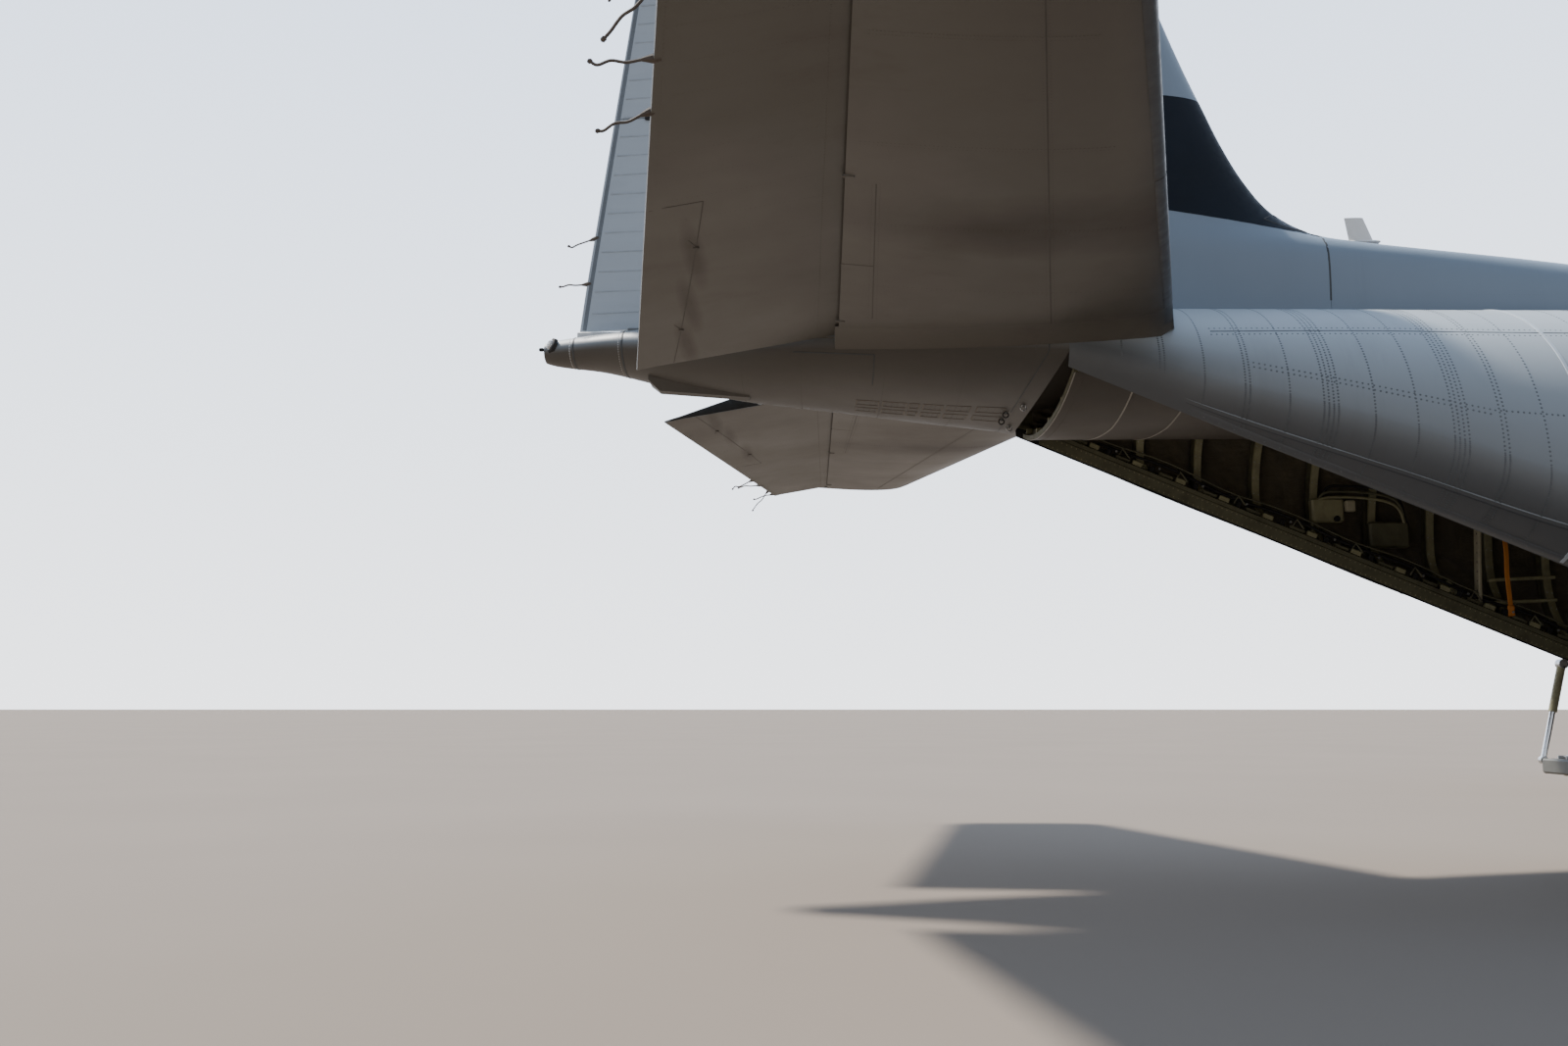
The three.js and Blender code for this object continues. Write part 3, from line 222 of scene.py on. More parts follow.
def painted_skin(name, colour, around=None, seams=(), rivets=(), streak=(0.35, 5.0, 5.0), rough=0.5,
                 mottle=0.16, stain=0.25, dirt=(0.075, 0.068, 0.058), underside_shade=None,
                 lift=None, stain_and_shade_spots=(), nose_shade=None, underside_shade_turn=(0.25, -0.45), gloss=0.5):
    """Weathered paint over riveted sheet. seams and rivets name an axis x, y, z or r (round the fuselage).

    underside_shade is the colour of painted shade, warm as if lit from the floor, on faces that look down,
    which fades in over underside_shade_turn; lift is painted light and shade, from darker faces that look
    sideways to lighter faces that look up; and nose_shade is the colour of painted shade on the lower front
    of a leading edge.
    stain_and_shade_spots holds centres, radii, colours and strengths of stains and of painted shade.
    """
    material, tree, shader, place = start_material(name)
    axes = {"x": axis_of(tree, place, 0), "y": axis_of(tree, place, 1), "z": axis_of(tree, place, 2)}
    if around:
        axes["r"] = round_coordinate(tree, place, *around)
    cloudy = noise(tree, place, 0.55, 7.0, 0.62)
    fine = noise(tree, place, 9.0, 5.0, 0.6)
    streaks = noise(tree, place, streak, 5.0, 0.6)
    shade = calc(tree, "ADD", times(tree, cloudy, mottle), times(tree, streaks, mottle * 0.8))
    shade = calc(tree, "ADD", shade, times(tree, fine, mottle * 0.25))
    value = calc(tree, "ADD", shade, 1.0 - mottle * 1.02)
    facing = node(tree, "ShaderNodeTexCoord").outputs["Normal"]
    upward = axis_of(tree, facing, 2)
    # Painted light and shade: faces that look up are made lighter, faces that look sideways darker
    top_lit = times(tree, value, spread(tree, upward, -0.1, 0.75, *lift)) if lift else value
    shown = tint(tree, colour, top_lit)
    line_total = None
    for axis, pitch, offset, half_width in seams:
        mask = line_mask(tree, axes[axis], pitch, offset, half_width)
        line_total = mask if line_total is None else calc(tree, "MAXIMUM", line_total, mask)
        panel = calc(tree, "FLOOR", calc(tree, "DIVIDE", calc(tree, "SUBTRACT", axes[axis], offset), pitch))
        random_tint = node(tree, "ShaderNodeTexWhiteNoise", {"W": panel}, noise_dimensions="1D").outputs[0]
        shown = tint(tree, shown, spread(tree, random_tint, 0, 1, 0.955, 1.03))
    # Painted shade: faces that look down fade to a darker, warmer colour
    if underside_shade:
        down = spread(tree, upward, *underside_shade_turn)
        shown = blend_colour(tree, times(tree, down, 0.92), shown, tint(tree, underside_shade, value))
    # Painted shade on the lower front of a leading edge
    if nose_shade:
        ahead = spread(tree, axis_of(tree, facing, 0), 0.12, 0.6, 0.0, 0.85)
        ahead = times(tree, ahead, spread(tree, upward, 0.35, 0.0))
        shown = blend_colour(tree, ahead, shown, (*nose_shade, 1))
    # Soft spots: stains, and painted shade where one part shades another
    for centre, radii, spot_colour, strength in stain_and_shade_spots:
        under = times(tree, soft_spot(tree, place, centre, radii, strength), spread(tree, upward, 0.45, 0.0))
        shown = blend_colour(tree, under, shown, (*spot_colour, 1))
    stained = noise(tree, place, (streak[0] * 1.7, streak[1] * 0.55, streak[2] * 0.55), 6.0, 0.7)
    stained = times(tree, spread(tree, stained, 0.56, 0.8), stain)
    shown = blend_colour(tree, stained, shown, (*dirt, 1))
    height = times(tree, cloudy, 0.12)
    if line_total is not None:
        shown = blend_colour(tree, times(tree, line_total, 0.55), shown, (*[c * 0.28 for c in colour], 1))
        height = calc(tree, "SUBTRACT", height, line_total)
    for along, across, pitch, row_pitch, row_offset, row_away, radius in rivets:
        dots = dot_mask(tree, axes[along], axes[across], pitch, row_pitch, row_offset, row_away, radius)
        shown = blend_colour(tree, times(tree, dots, 0.3), shown, (*[min(1, c * 1.7) for c in colour], 1))
        height = calc(tree, "ADD", height, times(tree, dots, 0.8))
    tree.links.new(shown, shader.inputs["Base Color"])
    tree.links.new(spread(tree, cloudy, 0.3, 0.7, rough - 0.06, rough + 0.1), shader.inputs["Roughness"])
    shader.inputs["Specular IOR Level"].default_value = gloss
    set_bump(tree, shader, height, 0.006)
    return material


def plain_finish(name, colour, rough, grain, variation, dirt, dirt_share=0.3,
                 metal=0.0, depth=0.001, coat=0.0, wear=None, gloss=0.5):
    """A one-colour finish with grain, stains and, where wear is given, bare patches of that colour."""
    material, tree, shader, place = start_material(name)
    grainy = noise(tree, place, grain, 6.0, 0.6)
    cloudy = noise(tree, place, 1.3, 6.0, 0.6)
    value = spread(tree, calc(tree, "ADD", grainy, cloudy), 0.6, 1.4, 1 - variation, 1 + variation)
    shown = tint(tree, colour, value)
    if dirt:
        share = times(tree, spread(tree, noise(tree, place, 3.1, 7.0, 0.7), 0.5, 0.72), dirt_share)
        shown = blend_colour(tree, share, shown, (*dirt, 1))
    if wear:
        share = spread(tree, noise(tree, place, 22.0, 8.0, 0.72), 0.66, 0.72)
        shown = blend_colour(tree, share, shown, (*wear, 1))
    tree.links.new(shown, shader.inputs["Base Color"])
    worn = spread(tree, grainy, 0.3, 0.7, max(rough - 0.1, 0.03), min(rough + 0.1, 1))
    tree.links.new(worn, shader.inputs["Roughness"])
    shader.inputs["Metallic"].default_value = metal
    shader.inputs["Coat Weight"].default_value = coat
    shader.inputs["Specular IOR Level"].default_value = gloss
    set_bump(tree, shader, grainy, depth)
    return material


HULL_MIDDLE = (3.04, 2.16)  # height of the fuselage's centre line, and its radius
GREY = (0.235, 0.262, 0.280)

# Columns of seams: axis, pitch, offset, half width. Columns of rivets: axis along the row, axis across,
# pitch, pitch of the rows, offset of the rows, distance to each side, radius. Columns of the spots of stain
# and
# painted shade: centre, radii, colour, strength. The colours for faces that look down, the brightness of
# faces that look up, the dark leading edges and the spots on the rear hull are painted light and shade.
PAINTED_SKINS = {
    "hull": dict(
        name="hull_paint", colour=GREY, around=HULL_MIDDLE,
        seams=[("x", 2.56, -8.5, 0.005), ("r", 1.13, 0.35, 0.004)],
        rivets=[("r", "x", 0.05, 0.64, -8.04, 0.028, 0.009), ("x", "r", 0.05, 1.13, 0.35, 0.03, 0.009)],
    ),
    "rear": dict(
        name="rear_hull_paint", colour=GREY, streak=(0.8, 0.8, 0.28), stain=0.22, mottle=0.13,
        underside_shade=(0.084, 0.089, 0.096), lift=(0.75, 1.46), underside_shade_turn=(0.05, -0.8),
        # Painted shade on the hull under the stabiliser's roots
        stain_and_shade_spots=[((-9.5, y, 4.62), (1.35, 1.0, 0.55), (0.060, 0.068, 0.075), 0.75) for y in (1.75, -1.75)],
    ),
    "tail": dict(
        name="tail_paint", colour=(0.185, 0.200, 0.208), streak=(0.8, 0.8, 0.3), stain=0.45,
        dirt=(0.060, 0.050, 0.038), underside_shade=(0.062, 0.055, 0.046), gloss=0.3, lift=(0.85, 1.46),
    ),
    "fin": dict(
        name="fin_paint", colour=(0.180, 0.228, 0.284), streak=(2.0, 2.0, 0.4), stain=0.12, mottle=0.1,
    ),
    "rudder": dict(
        name="rudder_paint", colour=(0.36, 0.41, 0.46), streak=(0.8, 3.0, 9.0), stain=0.12, mottle=0.14,
    ),
    "stab": dict(
        name="stabiliser_paint", colour=GREY, streak=(0.30, 1.6, 1.5), stain=0.62, rough=0.46, gloss=0.3,
        dirt=(0.056, 0.040, 0.027), mottle=0.12, underside_shade=(0.080, 0.069, 0.054), nose_shade=(0.024, 0.026, 0.030),
        stain_and_shade_spots=[((-10.35, y, 4.9), (2.1, 0.62, 1.0), (0.034, 0.024, 0.016), 0.85) for y in (3.95, -3.95)],
    ),
    "elevator": dict(
        name="elevator_paint", colour=GREY, streak=(0.35, 2.2, 2.0), stain=0.5, rough=0.48, gloss=0.3,
        dirt=(0.056, 0.042, 0.028), mottle=0.12, underside_shade=(0.076, 0.066, 0.051),
        stain_and_shade_spots=[((x, side * y, 4.5), (0.09, 0.8, 0.9), (0.030, 0.019, 0.010), 0.75)
                 for side in (1, -1) for x, y in ((-13.30, 1.6), (-13.19, 2.6), (-13.06, 3.7))],
    ),
    "wing": dict(
        name="wing_paint", colour=GREY, seams=[("y", 1.83, 0.6, 0.005), ("x", 0.86, 4.35, 0.004)],
        rivets=[("x", "y", 0.05, 1.83, 0.6, 0.03, 0.009), ("y", "x", 0.05, 0.86, 4.35, 0.03, 0.009)],
        streak=(0.5, 4.0, 4.0), stain=0.35, underside_shade=(0.135, 0.132, 0.125),
    ),
    "control": dict(
        name="control_paint", colour=(0.25, 0.275, 0.29), seams=[("y", 0.46, 0.2, 0.004)],
        rivets=[("x", "y", 0.05, 0.46, 0.2, 0.022, 0.008)], streak=(0.6, 4.5, 4.0), stain=0.3,
    ),
    "nacelle": dict(
        name="nacelle_paint", colour=(0.22, 0.245, 0.262),
        seams=[("x", 1.15, 7.25, 0.005), ("z", 0.62, 3.7, 0.004)],
        rivets=[("z", "x", 0.05, 1.15, 7.25, 0.03, 0.009)], streak=(0.5, 4.0, 4.0), stain=0.45,
    ),
    # The door's downward outer skin: its dark brown is painted shade, with stains
    "door_skin_shade": dict(
        name="cargo_door_shaded_paint", colour=(0.066, 0.058, 0.048), gloss=0.15, streak=(0.9, 3.5, 3.5), stain=0.6,
        dirt=(0.034, 0.027, 0.020),
    ),
}

# Columns: finish, name of the material, colour, roughness, grain, variation, colour of the dirt, the rest
PLAIN_FINISHES = [
    ("radome", "radome_paint", (0.16, 0.178, 0.19), 0.42, 5, 0.12, (0.1, 0.09, 0.08),
     dict(depth=0.0006, coat=0.15)),
    ("black", "black_panel", (0.006, 0.009, 0.015), 0.55, 14, 0.3, (0.014, 0.017, 0.022), dict(gloss=0.16)),
    ("boot", "boot_rubber", (0.035, 0.037, 0.040), 0.62, 18, 0.25, (0.10, 0.10, 0.095), {}),
    ("blade", "blade_paint", (0.028, 0.029, 0.031), 0.45, (4.0, 9.0, 9.0), 0.3, (0.1, 0.1, 0.1),
     dict(dirt_share=0.25)),
    ("tip", "blade_tip_paint", (0.42, 0.42, 0.40), 0.5, 9, 0.15, (0.1, 0.1, 0.09), {}),
    ("olive", "bay_paint", (0.115, 0.112, 0.066), 0.55, 8, 0.28, (0.022, 0.018, 0.012),
     dict(dirt_share=0.55, wear=(0.16, 0.15, 0.12))),
    ("olive_light", "frame_paint", (0.30, 0.285, 0.165), 0.5, 8, 0.25, (0.03, 0.026, 0.018),
     dict(dirt_share=0.5, wear=(0.22, 0.21, 0.18))),
    ("steel", "gear_steel", (0.50, 0.51, 0.52), 0.34, 30, 0.15, (0.08, 0.07, 0.06),
     dict(metal=0.9, dirt_share=0.4)),
    ("white", "white_paint", (0.74, 0.74, 0.72), 0.42, 12, 0.06, (0.25, 0.23, 0.2), {}),
    ("gear_white", "gear_paint", (0.55, 0.56, 0.55), 0.45, 12, 0.12, (0.09, 0.075, 0.06),
     dict(dirt_share=0.6)),
    ("chrome", "oleo_chrome", (0.75, 0.76, 0.78), 0.12, 40, 0.05, None, dict(metal=1.0, depth=0.0001)),
    ("tyre", "tyre_rubber", (0.020, 0.020, 0.021), 0.82, 45, 0.35, (0.10, 0.085, 0.065),
     dict(dirt_share=0.35, depth=0.002)),
    ("dark", "dark_cavity", (0.012, 0.012, 0.012), 0.8, 10, 0.3, None, {}),
    ("hot", "exhaust_metal", (0.16, 0.125, 0.10), 0.42, 14, 0.4, (0.02, 0.018, 0.016), dict(metal=0.85)),
    ("orange", "orange_strap", (0.62, 0.22, 0.035), 0.7, (200.0, 200.0, 60.0), 0.18, None, dict(depth=0.002)),
    ("tan", "tan_arm", (0.40, 0.37, 0.26), 0.55, 16, 0.2, (0.08, 0.06, 0.04), {}),
    ("strip", "tail_strip", (0.56, 0.57, 0.57), 0.4, 12, 0.15, (0.2, 0.19, 0.17), {}),
    ("hull_band", "hull_band", (0.40, 0.45, 0.50), 0.5, 10, 0.15, (0.14, 0.14, 0.14), {}),
    ("stringer_shade", "stringer_shade", (0.055, 0.062, 0.070), 0.6, 10, 0.2, None, {}),
    ("rivet", "rivet_heads", (0.098, 0.110, 0.120), 0.5, 14, 0.3, None, {}),
    ("rudder_edge", "rudder_edge", (0.125, 0.145, 0.165), 0.5, 14, 0.2, (0.06, 0.06, 0.06), {}),
    ("rudder_rib", "rudder_rib", (0.305, 0.345, 0.385), 0.5, 12, 0.2, None, {}),
    ("pale", "sealing_band", (0.47, 0.50, 0.51), 0.5, 10, 0.15, (0.18, 0.17, 0.15), {}),
    ("seam", "seam_shadow", (0.05, 0.055, 0.058), 0.7, 10, 0.3, None, {}),
    ("door_seam", "door_seam", (0.27, 0.25, 0.215), 0.6, 12, 0.3, (0.05, 0.042, 0.034), dict(dirt_share=0.5)),
    ("stab_seam", "stabiliser_seam", (0.060, 0.054, 0.046), 0.7, 10, 0.3, None, {}),
    ("fin_seam", "fin_seam", (0.09, 0.105, 0.12), 0.6, 10, 0.25, None, {}),
    # Dark strip on the stabiliser's leading edge, painted shade
    ("stab_nose_shade", "stabiliser_leading_edge_shade", (0.050, 0.053, 0.058), 0.5, 9, 0.18, (0.03, 0.028, 0.026),
     dict(dirt_share=0.4)),
    ("bare_lip", "bare_intake_lip", (0.42, 0.42, 0.41), 0.32, 9, 0.18, (0.12, 0.11, 0.10),
     dict(metal=0.75, dirt_share=0.5)),
    ("panel_edge", "panel_edge", (0.105, 0.082, 0.056), 0.6, 14, 0.3, (0.03, 0.025, 0.02),
     dict(dirt_share=0.6)),
    ("ramp", "ramp_paint", (0.085, 0.085, 0.075), 0.6, 9, 0.3, (0.20, 0.19, 0.17),
     dict(dirt_share=0.35, wear=(0.32, 0.31, 0.29))),
    ("wick", "wick_brown", (0.075, 0.060, 0.048), 0.8, 60, 0.3, None, {}),
    ("red", "red_lens", (0.55, 0.02, 0.015), 0.12, 10, 0.1, None, dict(coat=0.6)),
    ("green", "green_lens", (0.02, 0.40, 0.10), 0.12, 10, 0.1, None, dict(coat=0.6)),
    ("screen", "screen_glass", (0.010, 0.014, 0.018), 0.10, 6, 0.3, None, dict(coat=0.8)),
    ("web", "troop_webbing", (0.34, 0.05, 0.035), 0.85, (90.0, 90.0, 30.0), 0.22, None, dict(depth=0.004)),
]


def glass_finish(name, colour, rough, alpha_share):
    """Tinted clear plastic or glass with a little dust."""
    material, tree, shader, place = start_material(name)
    dust = spread(tree, noise(tree, place, 2.2, 6.0, 0.6), 0.35, 0.75, 0.0, 0.22)
    tree.links.new(blend_colour(tree, dust, (*colour, 1), (0.4, 0.4, 0.38, 1)), shader.inputs["Base Color"])
    tree.links.new(calc(tree, "ADD", dust, rough), shader.inputs["Roughness"])
    shader.inputs["Transmission Weight"].default_value = alpha_share
    shader.inputs["IOR"].default_value = 1.45
    set_bump(tree, shader, dust, 0.0004)
    return material


def quilt_finish(name, colour):
    """Woven nylon of an insulation blanket, with sewn lines that follow its tufts."""
    material, tree, shader, place = start_material(name)
    weave = times(tree, *(calc(tree, "PINGPONG", axis_of(tree, place, axis), 0.006) for axis in (0, 2)))
    cloudy = noise(tree, place, 1.7, 7.0, 0.65)
    worn = spread(tree, noise(tree, place, 6.0, 6.0, 0.7), 0.5, 0.75, 0.0, 0.45)
    value = spread(tree, cloudy, 0.25, 0.75, 0.55, 1.35)
    shown = blend_colour(tree, worn, tint(tree, colour, value), (*[c * 0.4 for c in colour], 1))
    tree.links.new(shown, shader.inputs["Base Color"])
    shader.inputs["Roughness"].default_value = 0.72
    shader.inputs["Sheen Weight"].default_value = 0.25
    creases = noise(tree, place, (3.0, 3.0, 8.0), 8.0, 0.7)
    height = calc(tree, "ADD", times(tree, weave, 20000.0), times(tree, creases, 2.4))
    set_bump(tree, shader, height, 0.008)
    return material


PAINT = {finish: painted_skin(**looks) for finish, looks in PAINTED_SKINS.items()}
for finish, *columns, rest in PLAIN_FINISHES:
    PAINT[finish] = plain_finish(*columns, **rest)
# The blankets' own olive brown, darkened further as painted shade of the bay's inside
PAINT["quilt"] = quilt_finish("blanket_nylon_shaded", (0.092, 0.076, 0.044))
PAINT["cushion"] = quilt_finish("cushion_cloth", (0.10, 0.105, 0.085))
PAINT["glass"] = glass_finish("cockpit_glass", (0.10, 0.125, 0.135), 0.06, 0.45)
PAINT["lens"] = glass_finish("clear_lens", (0.92, 0.94, 0.95), 0.05, 0.55)

# Mesh building


def unit(v):
    v = Vector(v)
    return v.normalized() if v.length > 1e-12 else UP


def each(normals, path):
    return [normals] * len(path) if isinstance(normals, Vector) else normals


def circle(count):
    """Angles round a full turn, without the last one, which is the first again."""
    return [2 * pi * k / count for k in range(count)]


UP, DOWN = Vector((0, 0, 1)), Vector((0, 0, -1))
RIBBON_TOP = 0.8  # width of a ribbon's top as a share of its foot
SHARP_ANGLE = 35  # degrees over which an edge is drawn sharp


class Piece:
    """Gathers the points and faces of one object, with a finish for each face."""

    def __init__(self, name):
        self.name = name
        self.points = []
        self.faces = []
        self.finishes = []
        self.names = []

    def finish_index(self, finish):
        if finish not in self.names:
            self.names.append(finish)
        return self.names.index(finish)

    def put(self, points, faces, finish):
        base = len(self.points)
        index = self.finish_index(finish)
        self.points.extend(tuple(p) for p in points)
        self.faces.extend(tuple(i + base for i in face) for face in faces)
        self.finishes.extend([index] * len(faces))

    def loft(self, rings, finish, caps=(True, True)):
        count = len(rings[0])
        faces = []
        for r in range(len(rings) - 1):
            for i in range(count):
                j = (i + 1) % count
                faces.append((r * count + i, r * count + j, (r + 1) * count + j, (r + 1) * count + i))
        if caps[0]:
            faces.append(tuple(reversed(range(count))))
        if caps[1]:
            faces.append(tuple(range((len(rings) - 1) * count, len(rings) * count)))
        self.put([p for ring in rings for p in ring], faces, finish)

    def plate(self, outer, inner, finish, inner_finish=None, edge_finish=None, wrap=False, keep=None):
        """A thick sheet between two grids of points. keep(row, column) is False where a cell is left open."""
        rows, cols = len(outer), len(outer[0])
        base = len(self.points)
        self.points.extend(tuple(p) for row in outer for p in row)
        self.points.extend(tuple(p) for row in inner for p in row)
        shift = rows * cols
        wide = cols if wrap else cols - 1
        outside = self.finish_index(finish)
        inside = self.finish_index(inner_finish or finish)
        edge = self.finish_index(edge_finish or finish)

        def there(r, c):
            if wrap:
                c %= cols
            inside_grid = 0 <= r < rows - 1 and 0 <= c < wide
            return inside_grid and (keep is None or keep(r, c))

        def at(r, c):
            return base + r * cols + c % cols

        def add(face, finish_number):
            self.faces.append(face)
            self.finishes.append(finish_number)

        for r in range(rows - 1):
            for c in range(wide):
                if not there(r, c):
                    continue
                a, b, d, e = at(r, c), at(r, c + 1), at(r + 1, c + 1), at(r + 1, c)
                add((a, b, d, e), outside)
                add((e + shift, d + shift, b + shift, a + shift), inside)
                edges = (((r - 1, c), a, b), ((r, c + 1), b, d), ((r + 1, c), d, e), ((r, c - 1), e, a))
                for beside, p, q in edges:
                    if not there(*beside):
                        add((q, p, p + shift, q + shift), edge)

    def block(self, centre, size, finish, bevel=0.01, turn=None):
        """A box with chamfered edges, turned by a matrix about its centre."""
        hx, hy, hz = (s / 2 for s in size)
        b = min(bevel, hx * 0.9, hy * 0.9, hz * 0.9)

        def ring(inset, z):
            x, y = hx - inset, hy - inset
            corners = ((x, y - b), (x - b, y), (-x + b, y), (-x, y - b),
                       (-x, -y + b), (-x + b, -y), (x - b, -y), (x, -y + b))
            return [Vector((px, py, z)) for px, py in corners]

        rings = [ring(b, -hz), ring(0, -hz + b), ring(0, hz - b), ring(b, hz)]
        matrix = turn or Matrix.Identity(3)
        self.loft([[matrix @ p + Vector(centre) for p in points] for points in rings], finish)

    def bar(self, start, end, width, thick, finish, bevel=0.006, up=(0, 0, 1)):
        """A chamfered bar between two points."""
        start, end = Vector(start), Vector(end)
        along = unit(end - start)
        side = unit(along.cross(Vector(up)))
        over = side.cross(along)
        turn = Matrix((along, side, over)).transposed()
        self.block((start + end) / 2, ((end - start).length, width, thick), finish, bevel, turn)

    def tube(self, path, radius, finish, sides=10, closed=False):
        path = [Vector(p) for p in path]
        radii = radius if isinstance(radius, (list, tuple)) else [radius] * len(path)
        count = len(path)
        side = None
        rings = []
        for i, p in enumerate(path):
            before = path[i - 1] if i or closed else p
            after = path[(i + 1) % count] if i + 1 < count or closed else p
            along = unit(after - before)
            if side is None:
                side = unit(along.cross(Vector((0.31, 0.2, 0.93))))
            side = unit(side - along * side.dot(along))
            over = along.cross(side)
            rings.append([p + radii[i] * (cos(t) * side + sin(t) * over) for t in circle(sides)])
        if closed:
            rings.append(rings[0])
        self.loft(rings, finish, caps=(not closed,) * 2)

    def turned(self, profile, origin, axis, finish, sides=32, caps=(True, True)):
        """A turned shape from [along, radius] points about an axis through origin."""
        axis, origin = unit(axis), Vector(origin)
        side = unit(axis.cross(UP if abs(axis.z) < 0.9 else Vector((1, 0, 0))))
        over = axis.cross(side)
        rings = [[origin + axis * along + radius * (cos(t) * side + sin(t) * over) for t in circle(sides)]
                 for along, radius in profile]
        self.loft(rings, finish, caps=caps)

    def ribbon(self, path, normals, width, height, finish, sink=0.004):
        """A flat strip raised over a surface, along a path on it. normals may be one vector for all."""
        rings = []
        last = len(path) - 1
        for i, (point, normal) in enumerate(zip(path, each(normals, path))):
            along = unit(Vector(path[min(i + 1, last)]) - Vector(path[max(i - 1, 0)]))
            up = unit(normal)
            across = unit(along.cross(up)) * (width / 2)
            low, high = Vector(point) - up * sink, Vector(point) + up * height
            rings.append([low - across, low + across, high + across * RIBBON_TOP, high - across * RIBBON_TOP])
        self.loft(rings, finish)

    def studs(self, path, normals, radius, height, finish, sides=5):
        """Low domed heads at points. normals may be one vector for all."""
        index = self.finish_index(finish)
        for point, normal in zip(path, each(normals, path)):
            up = unit(normal)
            side = unit(up.cross(Vector((0.2, 0.5, 0.84))))
            over = up.cross(side)
            base = len(self.points)
            centre = Vector(point)
            self.points.append(tuple(centre + up * height))
            for t in circle(sides):
                offset = radius * (cos(t) * side + sin(t) * over)
                self.points.append(tuple(centre + offset - up * height * 0.2))
            for k in range(sides):
                self.faces.append((base, base + 1 + k, base + 1 + (k + 1) % sides))
                self.finishes.append(index)

    def make(self, body, slot, replaces=(), angle=SHARP_ANGLE, outward=True):
        mesh = bpy.data.meshes.new(self.name)
        mesh.from_pydata([tuple(SCALE * c for c in p) for p in self.points], [], self.faces)
        for name in self.names:
            mesh.materials.append(PAINT[name])
        mesh.polygons.foreach_set("material_index", self.finishes)
        if outward:
            edit = bmesh.new()
            edit.from_mesh(mesh)
            bmesh.ops.recalc_face_normals(edit, faces=edit.faces)
            edit.to_mesh(mesh)
            edit.free()
        mesh.polygons.foreach_set("use_smooth", [True] * len(mesh.polygons))
        mesh.set_sharp_from_angle(angle=radians(angle))
        made = bpy.data.objects.new(self.name, mesh)
        bpy.context.collection.objects.link(made)
        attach(made, body)
        if replaces:
            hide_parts(*replaces)
        return made


def cut(target, cutters):
    """Cuts closed pieces out of an object and removes them."""
    edit = bmesh.new()
    for cutter in cutters:
        mesh = bpy.data.meshes.new("cutter")
        mesh.from_pydata([tuple(SCALE * c for c in p) for p in cutter.points], [], cutter.faces)
        edit.from_mesh(mesh)
        bpy.data.meshes.remove(mesh)
    bmesh.ops.recalc_face_normals(edit, faces=edit.faces)
    whole = bpy.data.meshes.new("cutters")
    edit.to_mesh(whole)
    edit.free()
    tool = bpy.data.objects.new("cutters", whole)
    bpy.context.collection.objects.link(tool)
    change = target.modifiers.new("cut", "BOOLEAN")
    change.object = tool
    change.operation = "DIFFERENCE"
    change.solver = "EXACT"
    bpy.context.view_layer.update()
    graph = bpy.context.evaluated_depsgraph_get()
    result = bpy.data.meshes.new_from_object(target.evaluated_get(graph))
    target.modifiers.clear()
    old, target.data = target.data, result
    result.name = old.name
    bpy.data.meshes.remove(old)
    bpy.data.objects.remove(tool)
    bpy.data.meshes.remove(whole)
    result.set_sharp_from_angle(angle=radians(SHARP_ANGLE))


def outline_prism(outline, near, far, place):
    """A closed cutter from a flat outline: place turns an outline point and a depth into a point."""
    cutter = Piece("cutter")
    cutter.loft([[place(p, near) for p in outline], [place(p, far) for p in outline]], "dark")
    return cutter


def spaced(low, high, count):
    return [low + (high - low) * i / (count - 1) for i in range(count)]


# Shapes shared with the part's own source


def monotone(rows):
    """Returns a smooth reading of table rows by their first column, with no overshoot between rows."""
    table = np.array(sorted(rows), float)
    xs, ys = table[:, 0], table[:, 1:]
    gaps = np.diff(xs)
    slopes = np.diff(ys, axis=0) / gaps[:, None]
    tangents = np.zeros_like(ys)
    tangents[0], tangents[-1] = slopes[0], slopes[-1]
    for i in range(1, len(xs) - 1):
        for k in range(ys.shape[1]):
            a, b = slopes[i - 1, k], slopes[i, k]
            if a * b > 0:
                w1, w2 = 2 * gaps[i] + gaps[i - 1], gaps[i] + 2 * gaps[i - 1]
                tangents[i, k] = (w1 + w2) / (w1 / a + w2 / b)

    def read(x):
        x = min(max(x, xs[0]), xs[-1])
        i = min(int(np.searchsorted(xs, x, "right")) - 1, len(xs) - 2)
        h = gaps[i]
        t = (x - xs[i]) / h
        return (
            (2 * t**3 - 3 * t**2 + 1) * ys[i]
            + (t**3 - 2 * t**2 + t) * h * tangents[i]
            + (3 * t**2 - 2 * t**3) * ys[i + 1]
            + (t**3 - t**2) * h * tangents[i + 1]
        )

    return read


NOSE_X, RADOME_X, NOSE_JOINT_X = 14.895, 13.75, 8.5
RAMP_HINGE_X, DOOR_AFT_X = -1.46, -10.08
SILL_SLOPE = 0.4235
SILL_HALF_WIDTH, FLOOR_Z, WALL, NOSE_WALL = 1.52, 1.03, 0.09, 0.07
CROWN_Z = 5.2


def sill_z(x):
    return 0.74 + SILL_SLOPE * (RAMP_HINGE_X - x)


def rear_row(x, mid, half, power):
    share = (1 - (SILL_HALF_WIDTH / half) ** power) ** (1 / power)
    return (x, CROWN_Z, mid, mid - (mid - sill_z(x)) / share, half, power)


